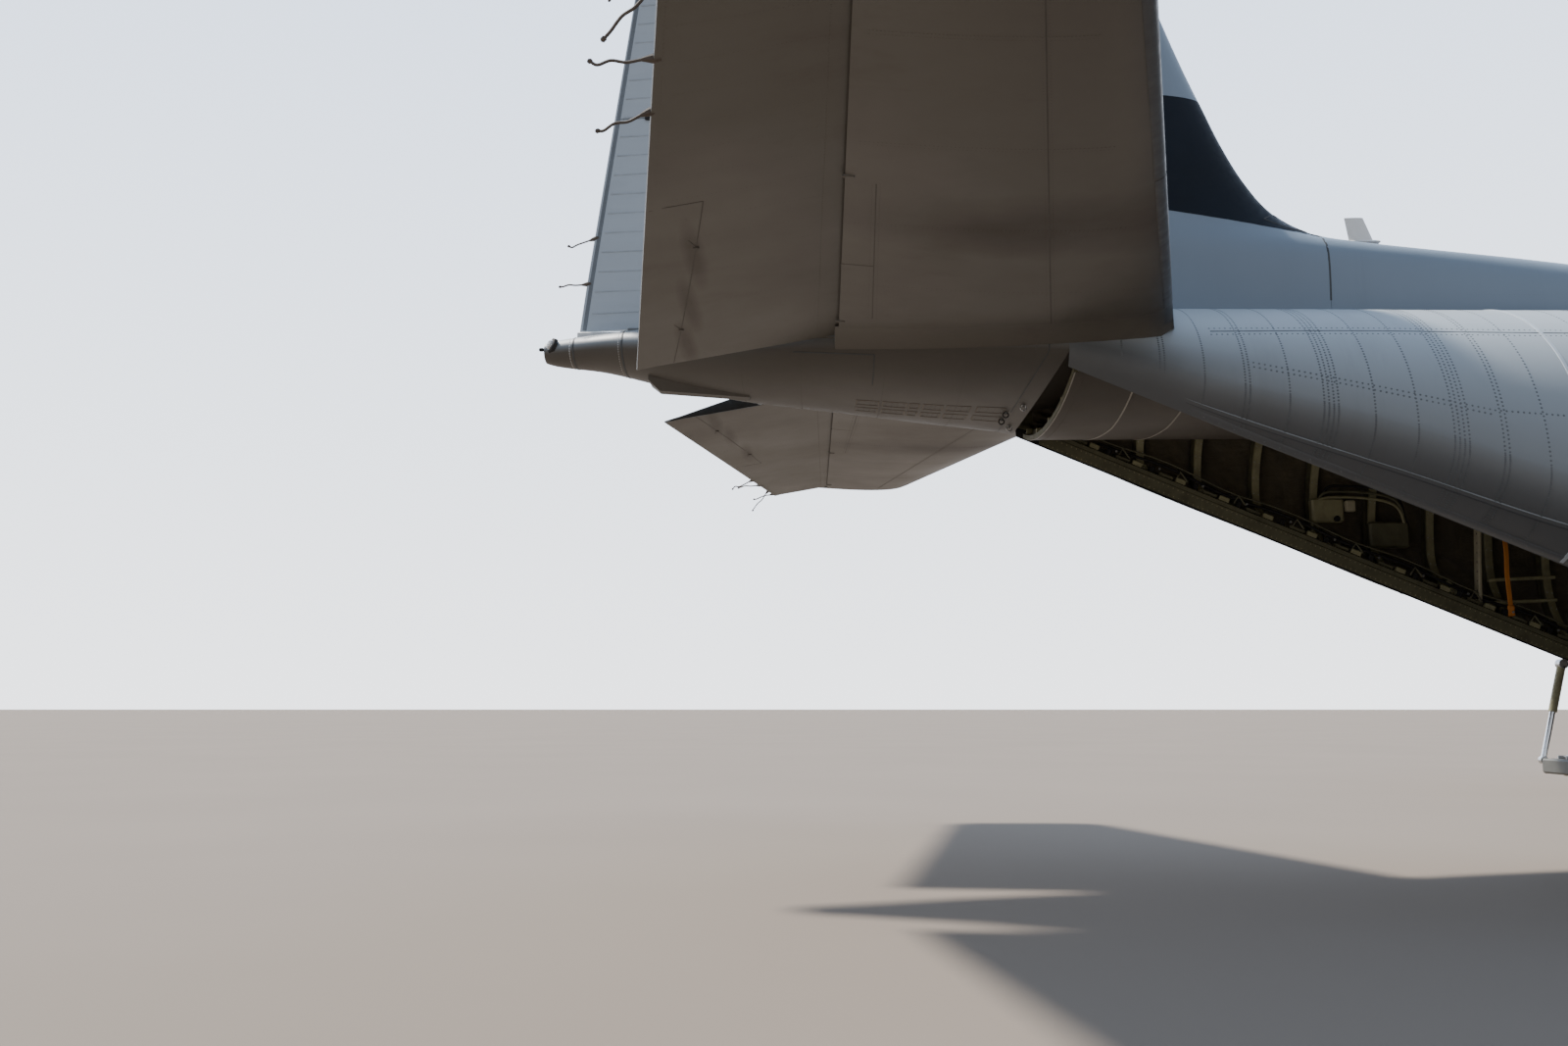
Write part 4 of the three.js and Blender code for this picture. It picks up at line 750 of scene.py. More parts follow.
# Columns: x, top z, z of the widest point, bottom z, half width, power of the lower half
HULL_ROWS = [
    (14.895, 2.34, 2.26, 2.18, 0.07, 2), (14.8, 2.58, 2.24, 1.9, 0.36, 2),
    (14.6, 2.8, 2.22, 1.64, 0.6, 2), (14.25, 3.02, 2.2, 1.38, 0.85, 2.1),
    (13.75, 3.2, 2.2, 1.16, 1.08, 2.2), (13.35, 3.34, 2.24, 1.02, 1.24, 2.3),
    (12.95, 3.78, 2.34, 0.92, 1.42, 2.4), (12.6, 4.14, 2.44, 0.85, 1.58, 2.5),
    (12.0, 4.5, 2.62, 0.76, 1.8, 2.7), (11.2, 4.82, 2.82, 0.7, 2.0, 3.0),
    (10.4, 5.06, 2.96, 0.67, 2.12, 3.3), (9.6, 5.18, 3.03, 0.66, 2.158, 3.5),
    (8.5, 5.2, 3.04, 0.66, 2.16, 3.5), (-1.46, 5.2, 3.04, 0.66, 2.16, 3.5),
    rear_row(-2.6, 3.04, 2.16, 3.2), rear_row(-4.0, 3.04, 2.16, 2.7), rear_row(-6.0, 3.3, 2.144, 2.2),
    rear_row(-7.5, 3.8, 2.022, 2.1), rear_row(-9.0, 4.25, 1.789, 2.2),
    (-10.08, 5.2, 4.58, 4.265, 1.6, 2.4), (-11.1, 5.19, 4.68, 4.34, 1.34, 2.3),
    (-12.0, 5.18, 4.76, 4.415, 1.08, 2.2), (-12.8, 5.17, 4.82, 4.48, 0.84, 2.1),
    (-13.65, 5.14, 4.87, 4.62, 0.58, 2), (-14.3, 5.09, 4.92, 4.76, 0.34, 2),
    (-14.74, 5.04, 4.92, 4.81, 0.18, 2), (-14.895, 5.0, 4.93, 4.86, 0.1, 2),
]
hull_row = monotone(HULL_ROWS)


def rounding(c, s, power):
    """How far a rounded section of half size 1 reaches in the direction (c, s)."""
    return (abs(c) ** power + abs(s) ** power) ** (-1 / power)


def hull_point(x, angle, grow=0.0):
    """A point of the fuselage skin. angle is measured from the port side, over the crown."""
    top, mid, bottom, half, power = hull_row(x)
    c, s = cos(angle), sin(angle)
    p = 2.0 if s >= 0 else power
    reach = rounding(c, s, p)
    height = (top - mid if s >= 0 else mid - bottom) + grow
    return Vector((x, (half + grow) * reach * c, mid + height * reach * s))


def hull_normal(x, angle):
    step = 0.01
    along = hull_point(x + step, angle) - hull_point(x - step, angle)
    around = hull_point(x, angle + step) - hull_point(x, angle - step)
    return unit(around.cross(along))


def solve(function, low, high, target, steps=40):
    """The place between low and high where a rising or falling function meets target."""
    rising = function(high) > function(low)
    for _ in range(steps):
        middle = (low + high) / 2
        if (function(middle) < target) == rising:
            low = middle
        else:
            high = middle
    return (low + high) / 2


def hull_angle(x, z, side):
    """The angle at which the skin has height z, on the port side (1) or the starboard side (-1)."""
    found = solve(lambda a: hull_point(x, a).z, -pi / 2, pi / 2, z, 26)
    return on_side(found, side)


def on_hull(x, z, side, grow=0.0):
    return hull_point(x, hull_angle(x, z, side), grow)


def sill_angle(x):
    """The angle of the cargo opening's edge on the port side."""
    if hull_row(x)[3] < SILL_HALF_WIDTH:
        return -pi / 2
    return solve(lambda a: hull_point(x, a).y, -pi / 2, 0, SILL_HALF_WIDTH)


def on_side(angle, side):
    """The angle of the port side, or its mirror image on the starboard side."""
    return angle if side > 0 else pi - angle


def skin_places(places):
    """Points and outward normals of the fuselage at (x, angle) places, for strips and rivets."""
    return [hull_point(*q) for q in places], [hull_normal(*q) for q in places]


def hull_path(x, from_angle, to_angle, count):
    return skin_places([(x, a) for a in spaced(from_angle, to_angle, count)])


def foil_half(share):
    s = min(max(share, 0.0), 1.0)
    return 5 * (0.2969 * sqrt(s) - 0.126 * s - 0.3516 * s**2 + 0.2843 * s**3 - 0.1036 * s**4)


BLUNT = 0.006  # half thickness of a trailing edge
DIHEDRAL = tan(radians(2.5))
WING_TIP_Y, WING_KINK_Y, WING_ROOT_CHORD, WING_TIP_CHORD = 20.205, 5.59, 4.88, 2.48


def mix(a, b, t):
    return a + (b - a) * t


class Section:
    """One section of a wing or tail surface, with its leading edge, chord and twist."""

    def __init__(self, y, leading_x, chord, z, ratio, twist):
        self.y, self.leading_x, self.chord, self.z, self.ratio = y, leading_x, chord, z, ratio
        self.sin, self.cos = sin(radians(twist)), cos(radians(twist))

    def half(self, aft):
        share = aft / self.chord
        return foil_half(share) * self.ratio * self.chord + BLUNT * max(share, 0)

    def at(self, aft, up):
        x = self.leading_x - aft * self.cos + up * self.sin
        return Vector((x, self.y, self.z - aft * self.sin + up * self.cos))

    def on_skin(self, aft, side, grow=0.0):
        return self.at(aft, side * (self.half(aft) + grow))


def wing_section(y):
    t = min(max((abs(y) - WING_KINK_Y) / (WING_TIP_Y - WING_KINK_Y), 0), 1)
    chord = mix(WING_ROOT_CHORD, WING_TIP_CHORD, t)
    span = abs(y) / WING_TIP_Y
    z, ratio, twist = 4.4 + DIHEDRAL * abs(y), 0.18 - 0.06 * span, 3 * (1 - span)
    return Section(y, 5.14 - (WING_ROOT_CHORD - chord) / 4, chord, z, ratio, twist)


ELEVATOR_HINGE_X, STAB_Z, STAB_HALF_SPAN = -12.075, 4.93, 8.025


def stab_section(y):
    t = abs(y) / STAB_HALF_SPAN
    leading = mix(-8.77, -10.94, t)
    z = STAB_Z + (leading - ELEVATOR_HINGE_X) * sin(radians(-2))
    return Section(y, leading, mix(5.25, 1.88, t), z, mix(0.088, 0.085, t), -2)


def to_hinge(section):
    """Where the elevators' hinge lies along a section's chord."""
    return section.leading_x - ELEVATOR_HINGE_X


def nose_shares(start, end, count):
    """Distances along a chord, close together near the nose."""
    return [start + (end - start) * (1 - cos(pi / 2 * i / (count - 1))) for i in range(count)]


FOIL_COUNT = 22


def skin_ring(section, start=0.0, end=None, flat_front=False):
    """The closed outline of a section, or of the part of it between two places along the chord."""
    afts = nose_shares(start, section.chord if end is None else end, FOIL_COUNT)
    upper = [section.on_skin(a, 1) for a in reversed(afts)]
    lower = [section.on_skin(a, -1) for a in (afts if flat_front else afts[1:])]
    return upper + lower


RUN = 0.024  # gap round doors and hinged surfaces
COVE_COUNT = 9
COVE_HALF_ANGLE = radians(72)
NOSE_SHARE = 0.94  # radius of a hinged surface's nose, as a share of the half thickness at its hinge


def cove_ring(section, hinge, start=0.0, flat_front=False):
    """A section that ends in a hollow round the nose of a hinged surface."""
    radius = section.half(hinge) * NOSE_SHARE + RUN
    angles = spaced(-COVE_HALF_ANGLE, COVE_HALF_ANGLE, COVE_COUNT)
    hollow = [section.at(hinge - radius * cos(a), radius * sin(a)) for a in angles[1:-1]]
    return skin_ring(section, start, hinge - radius * cos(COVE_HALF_ANGLE), flat_front) + hollow


def nose_arc(section, hinge, first, last, count):
    """Points round the nose of a hinged surface, between two angles in degrees."""
    radius = section.half(hinge) * NOSE_SHARE
    angles = spaced(radians(first), radians(last), count)
    return [section.at(hinge - radius * cos(a), radius * sin(a)) for a in angles]


def hinged_half(section, hinge, share):
    """Half thickness of a hinged surface. share runs from the hinge line to the trailing edge."""
    return max(section.half(hinge) * NOSE_SHARE * (1 - share) ** 0.94, 0.008)


def hinged_at(section, hinge, chord, share, up):
    return section.at(hinge + share * (chord - hinge), up * hinged_half(section, hinge, share))


def hinged_ring(section, hinge, chord):
    """A hinged surface behind its hinge line: a round nose and slightly curved sides."""
    shares = [0.06, 0.16, 0.3, 0.46, 0.62, 0.78, 0.9, 1.0]
    lower = [hinged_at(section, hinge, chord, share, -1) for share in shares]
    upper = [hinged_at(section, hinge, chord, share, 1) for share in reversed(shares)]
    return nose_arc(section, hinge, 88, -88, 17) + lower + upper


def add_edge_strip(piece, sections, reach, thick, finish):
    """A strip wrapped round a leading edge."""
    rings = []
    for s in sections:
        afts = nose_shares(0.0, reach, 9)
        upper = [s.on_skin(a, 1, thick) + Vector((thick, 0, 0)) * (a < 0.01) for a in reversed(afts)]
        rings.append(upper + [s.on_skin(a, -1, thick) for a in afts[1:]])
    within = [[p - Vector((2 * thick, 0, 0)) for p in ring] for ring in rings]
    piece.plate(rings, within, finish)


# Fuselage

RING_COUNT = 97


def hull_shell(piece, xs, angles, wall, keep=None):
    """A closed wall of the fuselage."""
    outer, inner = ([[hull_point(x, a, grow) for a in angles] for x in xs] for grow in (0.0, -wall))
    piece.plate(outer, inner, "hull", "olive", "olive", wrap=True, keep=keep)


def build_aft_fuselage():
    def angles(x):
        low = sill_angle(x)
        return spaced(low, pi - low, RING_COUNT)

    xs = spaced(DOOR_AFT_X, RAMP_HINGE_X, 90)
    rows_out, rows_in = [], []
    for x in xs:
        outer = [hull_point(x, a) for a in angles(x)]
        inner = [hull_point(x, a, -WALL) for a in angles(x)]
        # The lower edge is pulled onto the straight sill line
        if x < -2.6:
            for ring in (outer, inner):
                drop = sill_z(x) - outer[0].z
                mid = hull_row(x)[1]
                low = outer[0].z
                for p in ring:
                    if p.z < mid:
                        p.z += drop * (mid - p.z) / max(mid - low, 0.01)
        for p in [*outer, *inner]:
            if abs(p.y) < SILL_HALF_WIDTH and p.z < sill_z(x) + 0.5:
                p.y = copysign(SILL_HALF_WIDTH, p.y)
        rows_out.append(outer)
        rows_in.append(inner)
    piece = Piece("aft_skin")
    piece.plate(rows_out, rows_in, "rear", "olive", "dark")
    piece.make("airframe", "hull_paint", ["aft_fuselage"])


TROOP_DOOR = (-1.34, -0.43, 1.05, 2.88)  # x0, x1, z0, z1 of a paratroop door's opening
WELL = (1.58, 4.64, 1.6, 2.5, 1.5)  # x0, x1, y0, y1 and top z of a main gear's well


def centre_angles():
    """Angles round the fuselage that include the edges of the troop doors."""
    marks = sorted({hull_angle(0, z, side) % (2 * pi) for z in TROOP_DOOR[2:] for side in (1, -1)})
    whole = []
    for i, low in enumerate(marks):
        high = marks[(i + 1) % len(marks)] + (2 * pi if i + 1 == len(marks) else 0)
        count = max(2, round((high - low) / (2 * pi) * RING_COUNT))
        whole += spaced(low, high, count + 1)[:-1]
    return whole


def build_centre_fuselage():
    angles = centre_angles()
    x0, x1, z0, z1 = TROOP_DOOR
    xs = [RAMP_HINGE_X, x0, *spaced(x0, x1, 5)[1:], *spaced(x1, NOSE_JOINT_X, 36)[1:]]

    def keep(r, c):
        x = (xs[r] + xs[r + 1]) / 2
        here = angles[c]
        after = angles[(c + 1) % len(angles)]
        if after < here:
            after += 2 * pi
        p = hull_point(x, (here + after) / 2)
        in_door = x0 < x < x1 and z0 < p.z < z1 and abs(p.y) > 1
        return not in_door

    piece = Piece("centre_skin")
    hull_shell(piece, xs, angles, WALL, keep)
    made = piece.make("airframe", "hull_paint", ["centre_fuselage"])
    cut(made, [well_box(side) for side in (1, -1)])


def well_box(side, grow=0.0):
    x0, x1, y0, y1, top = WELL
    cutter = Piece("cutter")
    cutter.block(((x0 + x1) / 2, side * (y0 + y1) / 2, (top + grow - 1) / 2),
                 (x1 - x0 + 2 * grow, y1 - y0 + 2 * grow, top + grow + 1), "dark", 0.001)
    return cutter


def build_paratroop_door(side, name):
    """A patch of the fuselage skin, with stiffeners inside, a handle and a round window."""
    play = 0.006
    x0, x1, z0, z1 = (place + gap for place, gap in zip(TROOP_DOOR, (play, -play, play, -play)))
    piece = Piece(f"paratroop_door_skin_{name}")
    xs, zs = spaced(x0, x1, 11), spaced(z0, z1, 21)
    outer = [[on_hull(x, z, side) for z in zs] for x in xs]
    inner = [[on_hull(x, z, side, -WALL) for z in zs] for x in xs]
    piece.plate(outer, inner, "hull", "olive", "olive_light")
    middle = (x0 + x1) / 2
    handle = on_hull(middle + 0.2, mix(z0, z1, 0.45), side, 0.012)
    piece.block(handle, (0.16, 0.03, 0.035), "steel", 0.008)
    for share in (0.2, 0.5, 0.8):
        z = mix(z0, z1, share)
        path = [on_hull(x, z, side, -WALL) for x in spaced(x0 + 0.06, x1 - 0.06, 7)]
        piece.ribbon(path, Vector((0, -side, 0)), 0.07, 0.035, "olive_light")
    centre, normal = on_hull(middle, 2.3, side, 0.002), hull_normal(middle, hull_angle(middle, 2.3, side))
    piece.turned([(-0.004, 0.195), (0.008, 0.19), (0.008, 0.16)], centre, normal, "steel", 24)
    piece.turned([(-0.002, 0.16), (0.006, 0.16 * 0.98)], centre, normal, "glass", 24)
    piece.make("airframe", "hull_paint", [f"paratroop_door_{name}"])


# Aft x and y, front x and y, foot z and top z of the crew door, whose skin is slanted in plan view
CREW_DOOR = (11.35, 1.525, 12.12, 1.29, 1.12, 2.62)
# Corners of the cockpit's panes: y and z of those in front, x and z of those at the sides
FRONT_PANES = [
    [(-0.28, 3.46), (0.28, 3.46), (0.26, 4.0), (-0.26, 4.0)],
    [(0.36, 3.44), (0.86, 3.38), (0.84, 3.86), (0.34, 3.99)],
    [(-0.36, 3.44), (-0.86, 3.38), (-0.84, 3.86), (-0.34, 3.99)],
]
SIDE_PANES = [
    [(12.92, 3.3), (12.5, 3.3), (12.42, 3.86), (12.62, 3.9)],
    [(12.4, 3.28), (11.95, 3.3), (11.98, 3.82), (12.32, 3.87)],
    [(12.98, 2.72), (12.5, 2.66), (12.46, 3.14), (12.9, 3.16)],
]
NOSE_WELL = (12.2, 13.58, 0.56, 1.45)  # x0, x1, half width and top z


def crew_outline(grow):
    x0, y0, x1, y1 = CREW_DOOR[:4]
    along = unit((x1 - x0, y1 - y0, 0))
    across = Vector((-along.y, along.x, 0))
    corners = (((x0, y0), -1, -0.5), ((x1, y1), 1, -0.5), ((x1, y1), 1, 0.8), ((x0, y0), -1, 0.8))
    return [Vector((*p, 0)) + along * end * grow + across * depth for p, end, depth in corners]


def hull_x(y, z):
    """Where the nose's skin is at a given place in front view."""
    def shares(x):
        top, mid, _, half, _ = hull_row(x)
        return y / half, (z - mid) / (top - mid)

    x = solve(lambda x: hypot(*shares(x)) - 1, 11.5, 14.2, 0)
    across, up = shares(x)
    angle = atan2(up, across)
    return hull_point(x, angle), hull_normal(x, angle)


def rounded(outline):
    """An outline with its corners rounded."""
    share, steps = 0.22, 4
    result = []
    count = len(outline)
    for i in range(count):
        corner = Vector((*outline[i], 0))
        before, after = Vector((*outline[i - 1], 0)), Vector((*outline[(i + 1) % count], 0))
        size = share * min((before - corner).length, (after - corner).length)
        start = corner + unit(before - corner) * size
        end = corner + unit(after - corner) * size
        for k in range(steps + 1):
            t = k / steps
            p = (1 - t) ** 2 * start + 2 * t * (1 - t) * corner + t**2 * end
            result.append((p.x, p.y))
    return result


def dense(outline):
    """An outline with points no more than about 6 cm apart."""
    step = 0.06
    result = []
    for i, p in enumerate(outline):
        q = outline[(i + 1) % len(outline)]
        count = max(1, round(hypot(q[0] - p[0], q[1] - p[1]) / step))
        result += [(mix(p[0], q[0], k / count), mix(p[1], q[1], k / count)) for k in range(count)]
    return result


def pane_grid(outline, surface, depth):
    """Rows of points over a four-cornered pane, at a depth below the skin."""
    a, b, c, d = outline
    rows = []
    shares = spaced(-0.04, 1.04, 9)
    for u in shares:
        low = (mix(a[0], b[0], u), mix(a[1], b[1], u))
        high = (mix(d[0], c[0], u), mix(d[1], c[1], u))
        row = []
        for v in shares:
            p, n = surface(mix(low[0], high[0], v), mix(low[1], high[1], v))
            row.append(p - n * depth)
        rows.append(row)
    return rows


def side_surface(side):
    def at(x, z):
        angle = hull_angle(x, z, side)
        return hull_point(x, angle), hull_normal(x, angle)

    return at


def build_nose():
    """The nose section with its openings for the windows, the crew door and the nose gear."""
    piece = Piece("nose_skin")
    hull_shell(piece, spaced(NOSE_JOINT_X, RADOME_X, 52), circle(RING_COUNT - 1), NOSE_WALL)
    made = piece.make("airframe", "hull_paint", ["nose_section"])
    cutters = []
    for pane in FRONT_PANES:
        cutters.append(outline_prism(rounded(pane), 12.6, 13.6, lambda p, x: (x, p[0], p[1])))
    for pane in SIDE_PANES:
        for side in (1, -1):
            near, far = 0.95 * side, 2.4 * side
            cutters.append(outline_prism(rounded(pane), near, far, lambda p, y: (p[0], y, p[1])))
    x0, x1, half, top = NOSE_WELL
    well = Piece("cutter")
    well.block(((x0 + x1) / 2, 0, top / 2), (x1 - x0, 2 * half, top), "dark", 0.001)
    foot_z, top_z = CREW_DOOR[4] - 0.001, CREW_DOOR[5] + RUN / 2
    door = outline_prism(crew_outline(RUN / 2), foot_z, top_z, lambda p, z: (p.x, p.y, z))
    cut(made, cutters + [well, door])


def build_windows():
    """The cockpit's panes, and the frames with fasteners round them."""
    frames, glass = Piece("window_frames"), Piece("cockpit_windows")
    jobs = [(pane, hull_x) for pane in FRONT_PANES]
    jobs += [(pane, side_surface(side)) for pane in SIDE_PANES for side in (1, -1)]
    for pane, surface in jobs:
        rim = [surface(*p) for p in dense(rounded(pane))]
        frames.tube([p + n * 0.002 for p, n in rim], 0.016, "seam", 8, closed=True)
        middle = sum((p for p, _ in rim), Vector()) / len(rim)
        heads = [p + n * 0.001 + unit(p - middle) * 0.045 for p, n in rim]
        frames.studs(heads, [n for _, n in rim], 0.009, 0.004, "steel")
        glass.plate(pane_grid(pane, surface, 0.025), pane_grid(pane, surface, 0.045), "glass")
    frames.make("airframe", "hull_paint")
    glass.make("airframe", "cockpit_glass", ["cockpit_glazing"])


def build_radome():
    cone = Piece("radome_skin")
    angles = circle(RING_COUNT - 1)
    start = RADOME_X + 0.0006
    xs = [start + (NOSE_X - start) * sin(pi / 2 * i / 26) for i in range(27)]
    cone.loft([[hull_point(x, a) for a in angles] for x in xs], "radome")
    path, normals = hull_path(RADOME_X + 0.03, 0, 2 * pi, 73)
    cone.ribbon(path, normals, 0.05, 0.003, "seam")
    cone.make("airframe", "radome_paint", ["radome"])


def build_crew_door():
    """The crew door's skin patch, with its steps on the inner face."""
    x0, y0, x1, y1, z0, z1 = CREW_DOOR
    piece = Piece("crew_door_skin")
    columns, zs = spaced(0, 1, 11), spaced(z0, z1, 25)
    along = unit((x1 - x0, y1 - y0, 0))
    out = Vector((-along.y, along.x, 0))

    def place(t, z, wall):
        foot = Vector((mix(x0, x1, t), mix(y0, y1, t), z))

        def off_skin(reach):
            p = foot + out * reach
            return p.y - on_hull(p.x, z, 1, -wall).y

        # Slides along the door's own outward line to the skin
        return foot + out * solve(off_skin, -0.6, 1.2, 0, 30)

    outer = [[place(t, z, 0) for z in zs] for t in columns]
    inner = [[place(t, z, NOSE_WALL) for z in zs] for t in columns]
    piece.plate(outer, inner, "hull", "olive", "olive_light")
    for share in (0.12, 0.34, 0.56, 0.78):
        z = mix(z0, z1, share)
        start, end = place(0.12, z, NOSE_WALL + 0.02), place(0.88, z, NOSE_WALL + 0.02)
        piece.bar(start - out * 0.08, end - out * 0.08, 0.2, 0.03, "steel")
    for t in (0.06, 0.94):
        rail = [place(t, z, NOSE_WALL + 0.03) for z in spaced(z0 + 0.05, z1 - 0.05, 12)]
        piece.tube(rail, 0.018, "steel", 8)
    handle = place(0.7, mix(z0, z1, 0.62), -0.012)
    piece.block(handle, (0.15, 0.03, 0.04), "steel", 0.008)
    piece.make("crew_door", "hull_paint", ["crew_door"])


build_aft_fuselage()
build_centre_fuselage()
build_nose()
build_windows()
build_radome()
build_crew_door()
for side, name in SIDES:
    build_paratroop_door(side, name)


# Rear hull details: rivet rows, lap seams and the stringer above the sill


def skin_line(start, end, side, count):
    """Points and normals on the skin between two (x, z) places."""
    xs, zs = spaced(start[0], end[0], count), spaced(start[1], end[1], count)
    return skin_places([(x, hull_angle(x, z, side)) for x, z in zip(xs, zs)])


# Columns: x of a rivet frame, rows of rivets in it
REAR_FRAMES = [
    (-9.66, 1), (-9.34, 2), (-9.01, 1), (-8.68, 2), (-8.36, 1), (-8.05, 4), (-7.72, 1), (-7.40, 1),
    (-7.08, 4), (-6.75, 2), (-6.43, 1), (-5.76, 1), (-5.44, 4), (-5.12, 1), (-4.80, 1), (-4.48, 2),
    (-4.16, 1), (-3.84, 4), (-3.52, 1), (-3.20, 1), (-2.88, 2), (-2.56, 1), (-2.24, 4), (-1.92, 1),
]
RIVET_PITCH = 0.044
# Columns: start and end of a lap seam's rivet row, as x and z
REAR_LAPS = [
    ((-8.62, 4.34), (-6.84, 3.89)), ((-8.62, 4.30), (-6.84, 3.85)), ((-8.9, 4.70), (-5.9, 4.70)),
    ((-8.9, 4.63), (-5.9, 4.63)), ((-5.9, 4.66), (-1.5, 4.66)), ((-6.8, 3.88), (-1.5, 3.40)),
]


def build_rear_rivets(side, name):
    piece = Piece(f"rear_rivets_{name}")
    places = []
    for x, rows in REAR_FRAMES:
        for k in range(rows):
            at = x + (k - (rows - 1) / 2) * 0.036
            low = sill_angle(at) + 0.03
            count = round((pi / 2 - low) * hull_row(at)[3] / RIVET_PITCH)
            places += [(at, on_side(angle, side)) for angle in spaced(low, pi / 2, count)]
    piece.studs(*skin_places(places), 0.0105, 0.0034, "rivet")
    for start, end in REAR_LAPS:
        count = round(dist(start, end) / RIVET_PITCH)
        piece.studs(*skin_line(start, end, side, count), 0.0105, 0.0034, "rivet")
    piece.make("airframe", "hull_paint", angle=80, outward=False)


def build_rear_seams(side, name):
    """The lap seam, the stringer, two bands and the edge strap of one side."""
    trim = Piece(f"rear_seams_{name}")
    trim.ribbon(*skin_line((-8.9, 4.665), (-1.5, 4.665), side, 60), 0.012, 0.0015, "seam")
    # The stringer above the sill, and the shadow under it
    for shift, width, finish in ((0.0, 0.045, "rear"), (-0.022, 0.016, "stringer_shade")):
        places = []
        for x in spaced(-9.3, -2.2, 70):
            angle = sill_angle(x) + mix(0.14, 0.33, min((x + 9.3) / 3.4, 1)) + shift
            places.append((x, on_side(angle, side)))
        trim.ribbon(*skin_places(places), width, 0.005, finish)
    for x in (-6.10, -3.0):
        low = on_side(sill_angle(x) + 0.02, side)
        trim.ribbon(*hull_path(x, low, pi / 2, 50), 0.034, 0.006, "hull_band")
    # Edge strap along the cargo opening, with its fasteners
    edge = [(x, on_side(sill_angle(x) + 0.045, side)) for x in spaced(-9.95, -2.7, 60)]
    points, normals = skin_places(edge)
    trim.ribbon(points, normals, 0.1, 0.002, "rear")
    trim.studs([p + n * 0.002 for p, n in zip(points, normals)], normals, 0.010, 0.005, "rear")
    trim.make("airframe", "hull_paint")


BAY_FRAMES = [-9.36, -8.75, -8.12, -7.48, -6.85, -6.22, -5.6, -4.98, -4.38, -3.76, -3.14, -2.52, -1.92]


def inner_wall(x, angle, depth):
    """A point inside the cargo bay's wall, at a depth below the inner face of the skin."""
    return hull_point(x, angle, -WALL - depth)


def frame_foot(x):
    """The lowest angle at which a frame stands clear of the ramp's and the door's way."""
    if x < -9.5:
        return sill_angle(x) + 0.3
    return solve(lambda a: inner_wall(x, a, 0.17).y, sill_angle(x), 0, SILL_HALF_WIDTH)


def build_bay_frames():
    """Olive frames that stand in from the skin, each with a foot on the sill beam."""
    piece = Piece("bay_frames")
    for x in BAY_FRAMES:
        low = frame_foot(x)
        angles = spaced(low, pi - low, 61)
        web = [inner_wall(x, a, 0) for a in angles]
        inward = [-hull_normal(x, a) for a in angles]
        piece.ribbon(web, inward, 0.035, 0.11, "olive", 0.0)
        cap = [inner_wall(x, a, 0.115) for a in angles]
        piece.ribbon(cap, inward, 0.085, 0.016, "olive_light", 0.0)
        for end in (low, pi - low):
            turn = 1 if end < pi / 2 else -1
            foot = [inner_wall(x, end + turn * a, 0.06) for a in (0.02, 0.07, 0.13)]
            piece.tube(foot, [0.08, 0.055, 0.03], "olive_light", 8)
        spots = [inner_wall(x + dx, a, 0.131) for a in angles[::2] for dx in (-0.026, 0.026)]
        piece.studs(spots, [-hull_normal(x, a) for a in angles[::2] for _ in range(2)], 0.008, 0.006, "steel")
    piece.make("airframe", "interior_paint")


# Columns: distance from the middle of the plane, height above the sill line
SILL_OUTLINE = [
    (1.504, 0.022), (1.504, 0.15), (1.512, 0.16), (1.512, 0.205), (1.53, 0.22), (1.63, 0.235), (1.63, 0.14),
    (1.55, 0.07), (1.52, 0.022),
]
# Columns: size and finish of the ledges and latches that repeat along a sill
SILL_BLOCKS = [
    ((0.11, 0.06, 0.06), "olive_light"), ((0.05, 0.045, 0.09), "dark"), ((0.16, 0.05, 0.035), "olive"),
]


def build_sills():
    """The longeron beams along both edges of the cargo opening, with ledges, latches and hooks."""
    piece = Piece("sill_beams")
    for side in (1, -1):
        rings = []
        for x in spaced(-9.84, -1.74, 70):
            rings.append([(x, side * y, sill_z(x) + rise) for y, rise in SILL_OUTLINE])
        piece.loft(rings, "olive")
        tilt = Matrix.Rotation(atan(SILL_SLOPE), 3, "Y")
        for i, x in enumerate(spaced(-9.7, -1.9, 53)):
            z = sill_z(x) + 0.225
            size, finish = SILL_BLOCKS[i % 3]
            piece.block((x, side * 1.56, z + 0.02), size, finish, 0.008, tilt)
            if i % 3 == 1:
                pin = (x + 0.08, side * 1.535, z + 0.03)
                piece.turned([(0, 0.014), (0.012, 0.012)], pin, (0, -side, 0), "steel", 8)
            if i % 4 == 1:
                hook = ((-0.05, 1.55, 0.04), (0, 1.535, 0.12), (0.07, 1.54, 0.02))
                piece.tube([(x + along, side * y, z + rise) for along, y, rise in hook], 0.010, "olive", 6)
        path = [(x, side * (1.585 + 0.012 * sin(3.1 * x)), sill_z(x) + 0.33 + 0.02 * sin(5 * x))
                for x in spaced(-9.2, -2, 90)]
        piece.tube(path, 0.014, "dark", 6)
        piece.tube([(x, y * 0.995, z + 0.05) for x, y, z in path], 0.009, "olive", 6)
        rivets = [(x, side * 1.504, sill_z(x) + dz) for x in spaced(-9.8, -1.8, 160) for dz in (0.04, 0.13)]
        piece.studs(rivets, Vector((0, -side, 0)), 0.008, 0.004, "olive_light")
    piece.make("airframe", "interior_paint")


